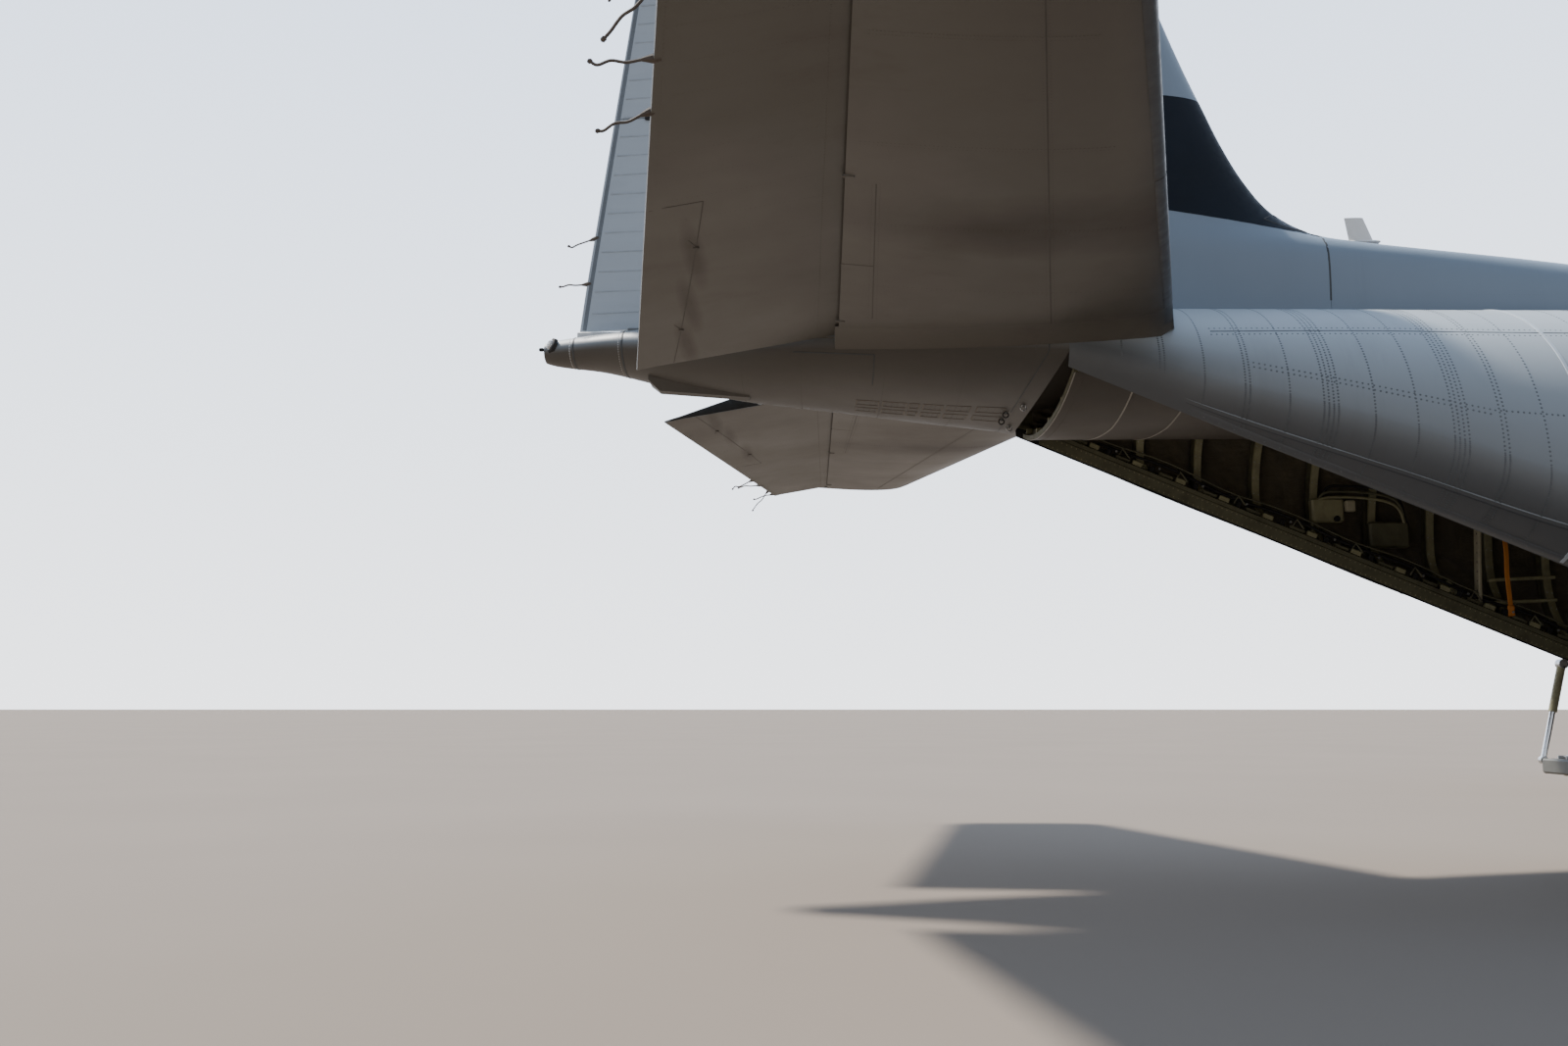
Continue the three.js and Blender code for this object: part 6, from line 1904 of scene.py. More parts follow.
def build_fin_trim():
    """The fin's black panel, seams and rivets, with an aerial and a beacon."""
    trim = Piece("fin_trim")
    for side in (1, -1):
        facing = Vector((0, side, 0))
        # Black panel on the curved root of the leading edge, with a small outlined panel at its front
        outer, inner = [], []
        for z in spaced(6.0, 7.40, 40):
            s = FinSection(z)
            front = s.leading_x
            aft_x = mix(-9.12, -9.06, (z - 6.24) / 1.13) if z > 6.24 else mix(-7.42, -9.12, (z - 6.0) / 0.24)
            reach = max(front - aft_x, 0.004)
            shares = [reach * (1 - cos(pi / 2 * k / 12)) for k in range(13)]
            outer.append([s.on_skin(a, side, 0.003) for a in shares])
            inner.append([s.on_skin(a, side, -0.006) for a in shares])
        trim.plate(outer, inner, "black")
        corners = [(-7.50, 6.045), (-7.72, 6.075), (-7.93, 6.16), (-7.80, 6.235)]
        loop = [*corners, corners[0]]
        for (xa, za), (xb, zb) in zip(loop, loop[1:]):
            path = [fin_at(mix(xa, xb, t), mix(za, zb, t), side, 0.0035) for t in spaced(0, 1, 5)]
            trim.ribbon(path, facing, 0.010, 0.0015, "seam")
        # Panel seams with rivets on both sides
        for x0, za, x1, zb in FIN_SEAMS:
            path = [fin_at(mix(x0, x1, t), mix(za, zb, t), side) for t in spaced(0, 1, 30)]
            trim.ribbon(path, facing, 0.012, 0.0016, "seam")
            steps = round(dist((x0, za), (x1, zb)) / 0.045)
            upright = abs(zb - za) > 1
            for shift in (-0.03, 0.03):
                row = []
                for t in spaced(0, 1, steps):
                    x, z = mix(x0, x1, t), mix(za, zb, t)
                    row.append(fin_at(x + shift * upright, z + shift * (not upright), side))
                trim.studs(row, facing, 0.007, 0.0026, "fin")
        # Seam of the dorsal fairing and rivets along its foot
        path = [fin_at(DORSAL_JOINT_X, z, side, 0.0) for z in spaced(5.3, 6.02, 10)]
        trim.ribbon(path, facing, 0.02, 0.002, "seam")
        trim.studs([fin_at(x, 5.34, side) for x in spaced(-2.6, -12.2, 220)], facing, 0.007, 0.0028, "fin")
    # Blade aerial and its foot on the dorsal fairing's ridge, and the beacon on the fin's top
    add_aerial(trim, (-6.815, -7.055, 5.97), (-6.915, -7.095, 6.23), 0.022, 7)
    trim.block((-6.94, 0, 5.98), (0.34, 0.10, 0.03), "white", 0.012)
    beacon = [(0, 0.06), (0.03, 0.058), (0.07, 0.045), (0.09, 0.012)]
    trim.turned(beacon, (-12.1, 0, 11.72), UP, "red", 20)
    trim.make("airframe", "wing_paint")


def rudder_at(z, share, side, grow=0.0):
    s = FinSection(z)
    hinge = s.hinge()
    thick = max(s.half(hinge) * NOSE_SHARE * (1 - share) ** 0.96, 0.012)
    place = s.at(hinge + share * (s.chord - hinge), side * (thick + grow))
    place.z -= RUDDER_FOOT_DROP * share * max(0, 1 - (z - RUDDER[0]) / 0.4)
    return place


def build_rudder():
    """The rudder with its ribs, edge strip, tab outline, pins and wicks."""
    z0, z1 = RUDDER[:2]
    piece = Piece("rudder_skin")
    rings = []
    for i, z in enumerate(spaced(z0, z1, 121)):
        s = FinSection(z)
        wave = 0.0022 * (i % 3 == 1)
        shares = [0.06, 0.2, 0.36, 0.52, 0.68, 0.82, 0.93, 1.0]
        right = [rudder_at(z, share, 1, wave * (0.1 < share < 0.9)) for share in shares]
        left = [rudder_at(z, share, -1, wave * (0.1 < share < 0.9)) for share in reversed(shares)]
        rings.append(nose_arc(s, s.hinge(), -88, 88, 15) + right + left)
    piece.loft(rings, "rudder")
    for side in (1, -1):
        facing = Vector((0, side, 0))
        for share in (0.925, 0.965, 0.075):
            row = [rudder_at(z, share, side) for z in spaced(z0 + 0.03, z1 - 0.03, 150)]
            piece.studs(row, facing, 0.0068, 0.0028, "rudder")
        strip = [rudder_at(z, 0.972, side) for z in spaced(z0 + 0.01, z1 - 0.01, 60)]
        piece.ribbon(strip, facing, 0.045, 0.002, "rudder_edge")
        for z in spaced(z0 + 0.16, z1 - 0.2, 30):
            rib = [rudder_at(z, share, side) for share in spaced(0.1, 0.94, 6)]
            piece.ribbon(rib, facing, 0.014, 0.0034, "rudder_rib")
        for z in (7.3, 8.45, 9.6):
            piece.block(rudder_at(z, 0.735, side, 0.01), (0.09, 0.03, 0.05), "dark", 0.008)
        # Trim tab outline
        path = [rudder_at(z, 0.72, side) for z in spaced(7.3, 10.4, 30)]
        path = [rudder_at(7.3, share, side) for share in spaced(0.97, 0.74, 6)] + path
        piece.ribbon(path, facing, 0.010, 0.0014, "fin_seam")
    foot, head = (Vector((x, 0, z)) for x, z in ((RUDDER[2], z0), (RUDDER[3], z1)))
    lean = unit(head - foot)
    piece.tube([foot - lean * 0.012, foot + lean * 0.05], 0.03, "steel", 12)
    piece.tube([head - lean * 0.05, head + lean * 0.012], 0.03, "steel", 12)
    for k, z in enumerate((5.62, 6.08, 8.6, 9.1, 9.6, 10.1, 10.5, 10.9)):
        root = rudder_at(z, 1.0, 1)
        root.y = 0
        wick(piece, root, (-1, 0.05, -0.3 if k % 2 else -0.08), 0.27, 80 + k)
    piece.make("rudder", "control_surface_paint", ["rudder"])


# Wings

FLAP_HINGE, AILERON_HINGE = 0.72, 0.73
# Columns: name, inner y, outer y, hinge share of the chord
WING_SURFACES = [
    ("flap_inner", 2.42, 5.5, FLAP_HINGE),
    ("flap_outer", 5.68, 13.5, FLAP_HINGE),
    ("aileron", 13.62, 19.4, AILERON_HINGE),
]


def loft_wing(piece, side, y0, y1, count, hinge_share=None):
    """A length of wing, whole or cut hollow for a hinged surface."""
    sections = [wing_section(side * y) for y in spaced(y0, y1, count)]
    rings = [cove_ring(s, s.chord * hinge_share) if hinge_share else skin_ring(s) for s in sections]
    piece.loft(rings, "wing")


def build_wing_centre():
    _, y0, y1, _ = WING_SURFACES[0]
    piece = Piece("wing_centre_skin")
    loft_wing(piece, 1, -y0 + RUN, y0 - RUN, 7)
    for side in (1, -1):
        loft_wing(piece, side, y0 - RUN, y1 + RUN, 7, FLAP_HINGE)
        loft_wing(piece, side, y1 + RUN, WING_KINK_Y - 0.001, 2)
    piece.make("airframe", "wing_paint", ["wing_centre"])


def build_wing(side, name):
    """An outer wing with its seams, fuel caps, boot, tip light and wick."""
    (_, out0, out1, _), (_, ail0, ail1, _) = WING_SURFACES[1:]
    wing = Piece(f"wing_skin_{name}")
    loft_wing(wing, side, WING_KINK_Y + 0.001, out0 - RUN, 2)
    loft_wing(wing, side, out0 - RUN, out1 + RUN, 11, FLAP_HINGE)
    loft_wing(wing, side, out1 + RUN, ail0 - RUN, 2)
    loft_wing(wing, side, ail0 - RUN, ail1 + RUN, 9, AILERON_HINGE)
    tip_start, tip_end = side * (ail1 + RUN), side * (WING_TIP_Y - 0.005)
    tips = tip_sections(wing_section, tip_start, tip_end, 0.55, 0.95, 0.35, 10)
    wing.loft([skin_ring(s) for s in tips], "wing")
    for up in (1, -1):
        for share in (0.14, 0.40, 0.62):
            sections = [wing_section(side * y) for y in spaced(2.3, 19.3, 40)]
            path = [s.on_skin(s.chord * share, up) for s in sections]
            wing.ribbon(path, Vector((0, 0, up)), 0.016, 0.002, "seam")
        for y in (6.4, 8.2, 11.4, 13.5, 15.6, 17.7, 19.2):
            s = wing_section(side * y)
            path = [s.on_skin(s.chord * t, up) for t in spaced(0.06, 0.66, 20)]
            wing.ribbon(path, Vector((0, 0, up)), 0.014, 0.002, "seam")
    for y in (7.5, 12.6, 14.8, 16.9):
        s = wing_section(side * y)
        cap = [(-0.002, 0.11), (0.006, 0.105), (0.008, 0.08), (0.004, 0.06)]
        wing.turned(cap, s.on_skin(s.chord * 0.35, 1), UP, "steel", 20)
    add_edge_strip(wing, [wing_section(side * y) for y in spaced(5.8, 19.3, 24)], 0.26, 0.004, "boot")
    light = wing_section(side * 19.95)
    wing.turned([(-0.05, 0.05), (0.05, 0.055), (0.12, 0.045), (0.17, 0.012)],
                light.at(0.42, 0.01), (1, side * 0.35, 0), "red" if side > 0 else "green", 16)
    s = wing_section(side * 19.9)
    wick(wing, s.at(s.chord - 0.35, 0), (-1, side * 0.15, -0.1), 0.26, 134)
    wing.make("airframe", "wing_paint", [f"wing_{name}"])


def build_wing_surfaces(side, name):
    """The flaps and the aileron of one wing."""
    for label, y0, y1, share in WING_SURFACES:
        piece = Piece(f"{label}_skin_{name}")
        sections = [wing_section(side * y) for y in spaced(y0, y1, max(6, round((y1 - y0) / 0.5)))]
        piece.loft([hinged_ring(s, s.chord * share, s.chord) for s in sections], "control")
        for up in (1, -1):
            for t in (0.06, 0.5, 0.93):
                sections = [wing_section(side * y) for y in spaced(y0 + 0.02, y1 - 0.02, 30)]
                path = [hinged_at(s, s.chord * share, s.chord, t, up) for s in sections]
                piece.ribbon(path, Vector((0, 0, up)), 0.012, 0.002, "seam")
        if label == "aileron":
            for k, y in enumerate((15.2, 16.6, 18.0, 19.2)):
                s = wing_section(side * y)
                wick(piece, s.at(s.chord, 0), (-1, 0.05 * side, -0.1), 0.26, 150 + k)
        piece.make(f"{label}_{name}", "control_surface_paint", [f"{label}_{name}"])


# Nacelles, engines and propellers

ENGINE_YS = [4.953, 10.16]
HUB_Z, PROP_X, PROP_RADIUS, BLADES = 3.84, 7.86, 2.055, 6
# Columns: x, centre height above the hub, half width, half height, power
NACELLE = [
    (7.62, 0, 0.42, 0.42, 2), (7.45, -0.06, 0.5, 0.56, 2.1), (6.9, -0.14, 0.56, 0.72, 2.4),
    (6.0, -0.12, 0.58, 0.76, 2.6), (4.6, -0.04, 0.58, 0.72, 2.6), (3.2, 0.04, 0.5, 0.56, 2.4),
    (2.5, 0.1, 0.4, 0.4, 2.2), (2.08, 0.17, 0.28, 0.26, 2),
]
read_nacelle = monotone(NACELLE)


def hub_z(y):
    return HUB_Z + DIHEDRAL * (abs(y) - ENGINE_YS[0])


def nacelle_point(x, angle, y, grow=0.0):
    rise, half_width, half_height, power = read_nacelle(x)
    c, s = cos(angle), sin(angle)
    reach = rounding(c, s, power)
    height = rise + (half_height + grow) * reach * s
    return Vector((x, y + (half_width + grow) * reach * c, hub_z(y) + height))


def nacelle_normal(x, angle, y):
    along = nacelle_point(x + 0.01, angle, y) - nacelle_point(x - 0.01, angle, y)
    around = nacelle_point(x, angle + 0.01, y) - nacelle_point(x, angle - 0.01, y)
    return unit(around.cross(along))


def build_nacelle(name, y):
    """An engine's cowling with its nose ring, chin intake, exhaust, seams and latches."""
    piece = Piece(f"nacelle_skin_{name}")
    angles = circle(56)
    xs = [7.62, 7.6, 7.56, *spaced(7.5, 2.08, 40)]
    piece.loft([[nacelle_point(x, a, y) for a in angles] for x in xs], "nacelle", caps=(False, False))
    hub = Vector((7.62, y, hub_z(y)))
    forward = Vector((1, 0, 0))
    # Nose ring round the spinner's backplate, and the chin intake with its lip and duct
    nose_ring = [(0, 0.42), (0.012, 0.415), (0.012, 0.40), (-0.02, 0.385), (-0.10, 0.37), (-0.10, 0.2)]
    piece.turned(nose_ring, hub, forward, "nacelle", 48, (False, False))
    piece.turned([(-0.12, 0.37), (-0.10, 0.36), (-0.10, 0.15)], hub, forward, "dark", 32)
    centre = Vector((7.60, y, hub_z(y) - 0.45))
    lip = [centre + Vector((0, 0.30 * cos(a), 0.115 * sin(a))) for a in circle(40)]
    piece.tube(lip, 0.024, "bare_lip", 10, closed=True)
    duct = [[centre + Vector((-depth, share * (p - centre).y, share * (p - centre).z)) for p in lip]
            for depth, share in ((0.0, 0.97), (0.12, 0.9), (0.3, 0.8))]
    piece.loft(duct, "dark", caps=(False, True))
    hood = [[centre + Vector((-depth, wide * (p - centre).y, tall * (p - centre).z)) for p in lip]
            for depth, wide, tall in ((0.0, 1.06, 1.12), (0.1, 1.14, 1.3), (0.5, 1.2, 1.35), (1.0, 1.0, 1.0))]
    piece.loft(hood, "nacelle", caps=(False, True))
    # Exhaust nozzle
    tail = Vector((2.12, y, hub_z(y) + 0.17))
    back = Vector((-1, 0, 0.0))
    nozzle = [(-0.1, 0.265), (0, 0.262), (0.038, 0.255), (0.038, 0.235), (-0.35, 0.21), (-0.36, 0.02)]
    piece.turned(nozzle, tail, back, "hot", 36, (False, True))
    piece.turned([(-0.34, 0.12), (-0.1, 0.09), (0.0, 0.01)], tail, back, "hot", 20)
    # Cowling seams, latches and louvres
    for x in (7.1, 6.2, 5.1, 4.0):
        turn = spaced(0, 2 * pi, 57)
        path, normals = [nacelle_point(x, a, y) for a in turn], [nacelle_normal(x, a, y) for a in turn]
        piece.ribbon(path, normals, 0.014, 0.002, "seam")
        row = [nacelle_point(x + 0.04, a, y) for a in circle(69)]
        piece.studs(row, [nacelle_normal(x, a, y) for a in circle(69)], 0.009, 0.003, "steel")
    for angle in (0.25, pi - 0.25, -0.5, pi + 0.5):
        seam_xs = spaced(7.1, 4.0, 30)
        normals = [nacelle_normal(x, angle, y) for x in seam_xs]
        piece.ribbon([nacelle_point(x, angle, y) for x in seam_xs], normals, 0.014, 0.002, "seam")
        for x in (6.8, 6.4, 5.8, 5.4, 4.7, 4.3):
            piece.block(nacelle_point(x, angle, y, 0.006), (0.09, 0.025, 0.03), "steel", 0.006)
    for angle in (-0.25, pi + 0.25):
        for k in range(6):
            louvre = nacelle_point(5.6 - 0.09 * k, angle, y, 0.006)
            piece.block(louvre, (0.03, 0.03, 0.22), "seam", 0.008)
    piece.make("airframe", "nacelle_paint", [f"nacelle_{name}"])


# Columns: radius, chord, thickness, twist from the disc's plane in degrees, sweep back along the disc
BLADE = [
    (0.26, 0.2, 0.16, 68, 0), (0.55, 0.3, 0.1, 58, -0.03), (1.0, 0.42, 0.06, 44, -0.05),
    (1.65, 0.42, 0.03, 32, 0.03), (PROP_RADIUS, 0.16, 0.014, 26, 0.2),
]
read_blade = monotone(BLADE)
# Columns: share of the chord, share of the thickness
BLADE_OUTLINE = [
    (0.5, 0.0), (0.47, 0.16), (0.38, 0.34), (0.2, 0.5), (-0.02, 0.5), (-0.28, 0.36), (-0.44, 0.14),
    (-0.5, 0.0), (-0.42, -0.08), (-0.22, -0.2), (0.05, -0.3), (0.25, -0.3), (0.4, -0.2), (0.48, -0.1),
]
# Columns: distance ahead of the blades' disc, radius
SPINNER = [
    (-0.2, 0.36), (-0.18, 0.39), (-0.05, 0.385), (0.12, 0.37), (0.28, 0.335), (0.4, 0.29), (0.52, 0.235),
    (0.62, 0.175), (0.70, 0.11), (0.745, 0.055), (0.757, 0.02),
]


def build_propeller(name, y):
    """Six curved blades with pale tips round a spinner."""
    piece = Piece(f"propeller_blades_{name}")
    centre = Vector((PROP_X, y, hub_z(y)))
    for i in range(BLADES):
        turn = Matrix.Rotation(2 * pi * i / BLADES, 3, "X")
        parts = {"blade": [], "tip": []}
        for radius in [*spaced(0.3, 1.88, 20), *spaced(1.88, 2.0, 4)[1:], 2.03, 2.05]:
            chord, thick, degrees, sweep = read_blade(radius)
            if radius > 1.95:
                chord *= sqrt(max(1 - ((radius - 1.95) / 0.107) ** 2, 0.05))
            twist = radians(degrees)
            ring = []
            for along, up in BLADE_OUTLINE:
                a, b = along * chord, up * thick
                disc = a * cos(twist) - b * sin(twist) - sweep
                ahead = a * sin(twist) + b * cos(twist)
                ring.append(turn @ Vector((ahead, disc, radius)) + centre)
            if radius <= 1.881:
                parts["blade"].append(ring)
            if radius >= 1.879:
                parts["tip"].append(ring)
        for finish, rings in parts.items():
            piece.loft(rings, finish)
        root = [turn @ Vector((0, 0, r)) + centre for r in (0.24, 0.34, 0.40)]
        piece.tube(root, [0.125, 0.118, 0.10], "blade", 18)
        cuff = [turn @ Vector((0, 0, r)) + centre for r in (0.385, 0.41)]
        piece.tube(cuff, [0.108, 0.104], "steel", 18)
    piece.turned(SPINNER, centre, (1, 0, 0), "blade", 48)
    for ahead, radius in ((-0.12, 0.389), (0.2, 0.354)):
        ring = [centre + Vector((ahead, radius * cos(a), radius * sin(a))) for a in circle(48)]
        piece.tube(ring, 0.004, "steel", 6, closed=True)
    piece.make(f"propeller_{name}", "propeller_blade", [f"propeller_{name}"])


# Sponsons and landing gear

# Columns: x, outer y, top z, bottom z
SPONSON = [
    (7.5, 2.0, 1.75, 1.15), (7.0, 2.36, 2.05, 0.82), (6.2, 2.62, 2.2, 0.62), (4.9, 2.74, 2.26, 0.55),
    (1.2, 2.74, 2.22, 0.55), (0.2, 2.6, 2.08, 0.66), (-0.6, 2.34, 1.86, 0.9), (-1.1, 2.05, 1.64, 1.18),
]
read_sponson = monotone(SPONSON)


def hull_reach(x, z):
    """Half width of the fuselage at a height, or 0 outside it."""
    top, mid, bottom, half, power = hull_row(x)
    p = 2.0 if z >= mid else power
    share = abs(z - mid) / (top - mid if z >= mid else mid - bottom)
    return half * (1 - share**p) ** (1 / p) if share < 1 else 0.0


# Roundness of a sponson's section, and the distance from the middle of the plane at which it starts
SPONSON_POWER, SPONSON_ROOT_Y = 2.6, 1.5


def sponson_place(x, angle):
    """A point of the sponson's outer side, as y and z, with its normal there."""
    outer, top, bottom = read_sponson(x)
    mid, half, wide = (top + bottom) / 2, (top - bottom) / 2, outer - SPONSON_ROOT_Y
    c, s = cos(angle), sin(angle)
    reach = rounding(c, s, SPONSON_POWER)
    return (SPONSON_ROOT_Y + wide * reach * c, mid + half * reach * s), (c / wide, s / half)


def build_sponson(name, side):
    """The fairing of a main gear, with its well."""
    piece = Piece(f"sponson_skin_{name}")
    rings = []
    for x in [*spaced(7.5, 6.2, 14), *spaced(6.1, 0.2, 24), *spaced(0.1, -1.1, 13)]:
        _, top, bottom = read_sponson(x)
        ring = []
        for angle in spaced(-pi / 2, pi / 2, 37):
            (y, z), _ = sponson_place(x, angle)
            ring.append(Vector((x, max(y, hull_reach(x, z) - 0.04), z)))
        for z in spaced(top, bottom, 17)[1:]:
            ring.append(Vector((x, max(hull_reach(x, z) - 0.06, 1.49), z)))
        rings.append([Vector((p.x, side * p.y, p.z)) for p in ring])
    piece.loft(rings, "hull")
    made = piece.make("airframe", "hull_paint", [f"sponson_{name}"])
    cut(made, [well_box(side, -0.002)])


def build_sponson_trim(name, side):
    """Seams, rivets, the outline of the gear doors, an intake and a lamp."""
    trim = Piece(f"sponson_trim_{name}")
    for x in (6.4, 5.2, 1.0, 0.1):
        points, normals = [], []
        for angle in spaced(-1.0, 1.1, 24):
            (y, z), (out, rise) = sponson_place(x, angle)
            points.append(Vector((x, side * y, z)))
            normals.append(Vector((0, side * out, rise)))
        trim.ribbon(points, normals, 0.014, 0.002, "seam")
        trim.studs([p + Vector((0.03, 0, 0)) for p in points], normals, 0.009, 0.003, "steel")
    for z in (1.25, 1.85):
        bulge = (1 - abs((z - 1.4) / 0.85) ** SPONSON_POWER) ** (1 / SPONSON_POWER)
        path = [(x, side * mix(SPONSON_ROOT_Y, read_sponson(x)[0], bulge), z) for x in spaced(5.2, 1.0, 20)]
        trim.ribbon(path, Vector((0, side, 0)), 0.014, 0.002, "seam")
    trim.block((6.9, side * 2.32, 1.7), (0.4, 0.12, 0.22), "seam", 0.05)
    trim.turned([(0, 0.07), (0.02, 0.065), (0.03, 0.04)], (0.5, side * 2.66, 1.5), (0, side, 0), "steel", 16)
    trim.make("airframe", "hull_paint")


def mirrored(profile):
    return profile + [(-along, radius) for along, radius in reversed(profile)]


# Columns: distance from the middle as a share of the half width, share of the tyre's or rim's radius
TYRE = [(-0.72, 0.60), (-0.86, 0.64), (-0.97, 0.74), (-1, 0.82), (-0.94, 0.90), (-0.8, 0.955), (-0.66, 0.985)]
RIM = [(-0.72, 1), (-0.78, 0.97), (-0.70, 0.9), (-0.40, 0.84), (-0.30, 0.55), (-0.42, 0.34), (-0.72, 0.28)]
HUB_BORE = 0.062


def build_wheel(piece, radius, width, centre):
    """A tyre with four grooves on a rim with bolts and holes."""
    axis = Vector((0, 1, 0))
    half, rim = width / 2, radius * 0.6
    side = [(along * half, share * radius) for along, share in TYRE]
    for groove in (-0.45, -0.15):
        for shift, share in ((0.022, 0.999), (0.012, 0.999), (0.010, 0.978)):
            side.append((groove * half - shift, radius * share))
        for shift, share in ((0.010, 0.978), (0.012, 0.999), (0.022, 0.999)):
            side.append((groove * half + shift, radius * share))
    piece.turned(mirrored(side), centre, axis, "tyre", 64, (False, False))
    side = [(along * half, share * rim) for along, share in RIM] + [(-half * 0.74, HUB_BORE)]
    piece.turned(mirrored(side), centre, axis, "gear_white", 48, (False, False))
    for face in (-1, 1):
        for a in circle(10):
            bolt = centre + Vector((rim * 0.70 * cos(a), face * half * 0.36, rim * 0.70 * sin(a)))
            piece.turned([(0, 0.018), (0.022, 0.018), (0.024, 0.012)], bolt, (0, face, 0), "steel", 6)
            hole = centre + Vector((rim * 0.52 * cos(a + 0.3), face * half * 0.31, rim * 0.52 * sin(a + 0.3)))
            piece.turned([(0, 0.024), (0.003, 0.022)], hole, (0, face, 0), "dark", 10)


MAIN_WHEEL_XS = [3.87, 2.35]
# Distance along and radius of the collar round a gear leg
LEG_COLLAR = [(-0.03, 0.118), (-0.02, 0.125), (0.02, 0.125), (0.03, 0.118)]


def build_wheels():
    for place, x in (("front", MAIN_WHEEL_XS[0]), ("rear", MAIN_WHEEL_XS[1])):
        for side, name in SIDES:
            piece = Piece(f"main_tyre_{place}_{name}")
            build_wheel(piece, 0.71, 0.5, Vector((x, side * 2.175, 0.71)))
            piece.make(f"main_wheel_{place}_{name}", "tyre_rubber", [f"main_wheel_{place}_{name}"])
    piece = Piece("nose_tyres")
    for side in (1, -1):
        build_wheel(piece, 0.495, 0.33, Vector((12.9, side * 0.26, 0.495)))
    piece.make("nose_wheels", "tyre_rubber", ["nose_wheel_left", "nose_wheel_right"])


def build_gear_fittings():
    """Collars, torque links, hoses and brake discs of the legs, and the taxi light."""
    trim = Piece("gear_fittings")
    for side in (1, -1):
        for x in MAIN_WHEEL_XS:
            y = side * 1.76
            for z in (1.44, 1.03):
                trim.turned(LEG_COLLAR, (x, y, z), UP, "gear_white", 24)
            # The torque link, in two bars
            links = [(x - back, y, z) for back, z in ((0.12, 1.0), (0.2, 0.82), (0.08, 0.66))]
            for head, foot in zip(links, links[1:]):
                trim.bar(head, foot, 0.05, 0.03, "gear_white", up=(0, 1, 0))
            hose = ((0.1, 0.02, 1.35), (0.16, 0.03, 1.1), (0.14, 0.02, 0.85), (0.09, 0.01, 0.72))
            trim.tube(smooth_path([(x + aft, y + side * out, z) for aft, out, z in hose]), 0.012, "dark", 8)
            disc = [(-0.02, 0.20), (0.0, 0.21), (0.05, 0.21), (0.07, 0.2)]
            trim.turned(disc, (x, side * 1.84, 0.71), (0, side, 0), "hot", 32)
    trim.turned(LEG_COLLAR, (12.9, 0, 1.09), UP, "gear_white", 24)
    trim.turned([(0, 0.08), (0.05, 0.085), (0.07, 0.07)], (13.02, 0, 1.25), (1, 0, 0), "lens", 20)
    trim.make("airframe", "gear_steel")


# Inside: cockpit and cargo floor


def build_cockpit():
    """Screens, knobs, levers and control columns."""
    piece = Piece("instrument_faces")
    tilt = Matrix.Rotation(atan2(0.08, 0.93), 3, "Y")

    def face_x(z):
        return 13.0 - 0.08 * (z - 2.02) / 0.93 - 0.006

    for y in (-0.62, -0.24, 0.24, 0.62):
        piece.block((face_x(2.66), y, 2.66), (0.014, 0.28, 0.36), "screen", 0.005, tilt)
        piece.block((face_x(2.45), y, 2.43), (0.010, 0.24, 0.05), "seam", 0.003, tilt)
    for y in spaced(-0.72, 0.72, 13):
        knob = [(0, 0.016), (0.02, 0.014), (0.024, 0.008)]
        piece.turned(knob, (face_x(2.32), y, 2.32), (-1, 0, 0), "steel", 10)
    piece.block((13.1, 0, 2.97), (0.34, 1.72, 0.05), "dark", 0.02)
    piece.block((12.3, 0, 2.16), (0.9, 0.34, 0.26), "screen", 0.03)
    for y in (-0.06, -0.02, 0.02, 0.06):
        piece.bar((12.42, y, 2.29), (12.46, y, 2.42), 0.02, 0.012, "pale", up=(0, 1, 0))
        piece.block((12.465, y, 2.43), (0.03, 0.026, 0.03), "dark", 0.006)
    for y in (0.55, -0.55):
        column = smooth_path([(12.75, y, 2.04), (12.72, y, 2.3), (12.62, y, 2.52)])
        piece.tube(column, 0.022, "dark", 10)
        horns = ((12.6, -0.15, 2.66), (12.6, -0.13, 2.54), (12.62, 0, 2.52), (12.6, 0.13, 2.54),
                 (12.6, 0.15, 2.66))
        piece.tube(smooth_path([(x, y + across, z) for x, across, z in horns]), 0.014, "dark", 8)
    piece.make("airframe", "panel_black")


def build_pilot_cushions():
    for y, name in ((0.55, "left"), (-0.55, "right")):
        pad = Piece(f"pilot_cushions_{name}")
        puffy_pad(pad, (12.10, y, 2.535), (0.46, 0.42, 0.10), Matrix.Identity(3))
        lean = Matrix.Rotation(atan2(-0.12, 0.85), 3, "Y")
        puffy_pad(pad, (11.885, y, 2.87), (0.10, 0.42, 0.66), lean)
        puffy_pad(pad, (11.80, y, 3.24), (0.09, 0.26, 0.15), lean)
        made = pad.make("airframe", "seat_shell", angle=70)


def puffy_pad(piece, centre, size, turn):
    """A cushion: flat where it rests, with crowned faces and sides pulled in between its corners."""
    count = 13
    thin = size.index(min(size))
    wide = [k for k in range(3) if k != thin]
    faces = []
    for sign in (1, -1):
        grid = []
        for u in spaced(-1, 1, count):
            row = []
            for v in spaced(-1, 1, count):
                waist_u, waist_v = ((1 - min(w * w, 1)) * 0.05 for w in (u, v))
                pull = 1 - waist_u * (abs(v) > 0.99) - waist_v * (abs(u) > 0.99)
                dome = (1 - u**4) * (1 - v**4)
                channel = 1 - 0.16 * exp(-(((u * 1.5) % 1 - 0.5) / 0.07) ** 2)
                p = [0.0, 0.0, 0.0]
                p[wide[0]] = u * size[wide[0]] / 2 * pull
                p[wide[1]] = v * size[wide[1]] / 2 * pull
                p[thin] = sign * size[thin] / 2 * (0.18 + 0.82 * dome * channel)
                row.append(turn @ Vector(p) + Vector(centre))
            grid.append(row)
        faces.append(grid)
    piece.plate(faces[0], faces[1], "cushion")


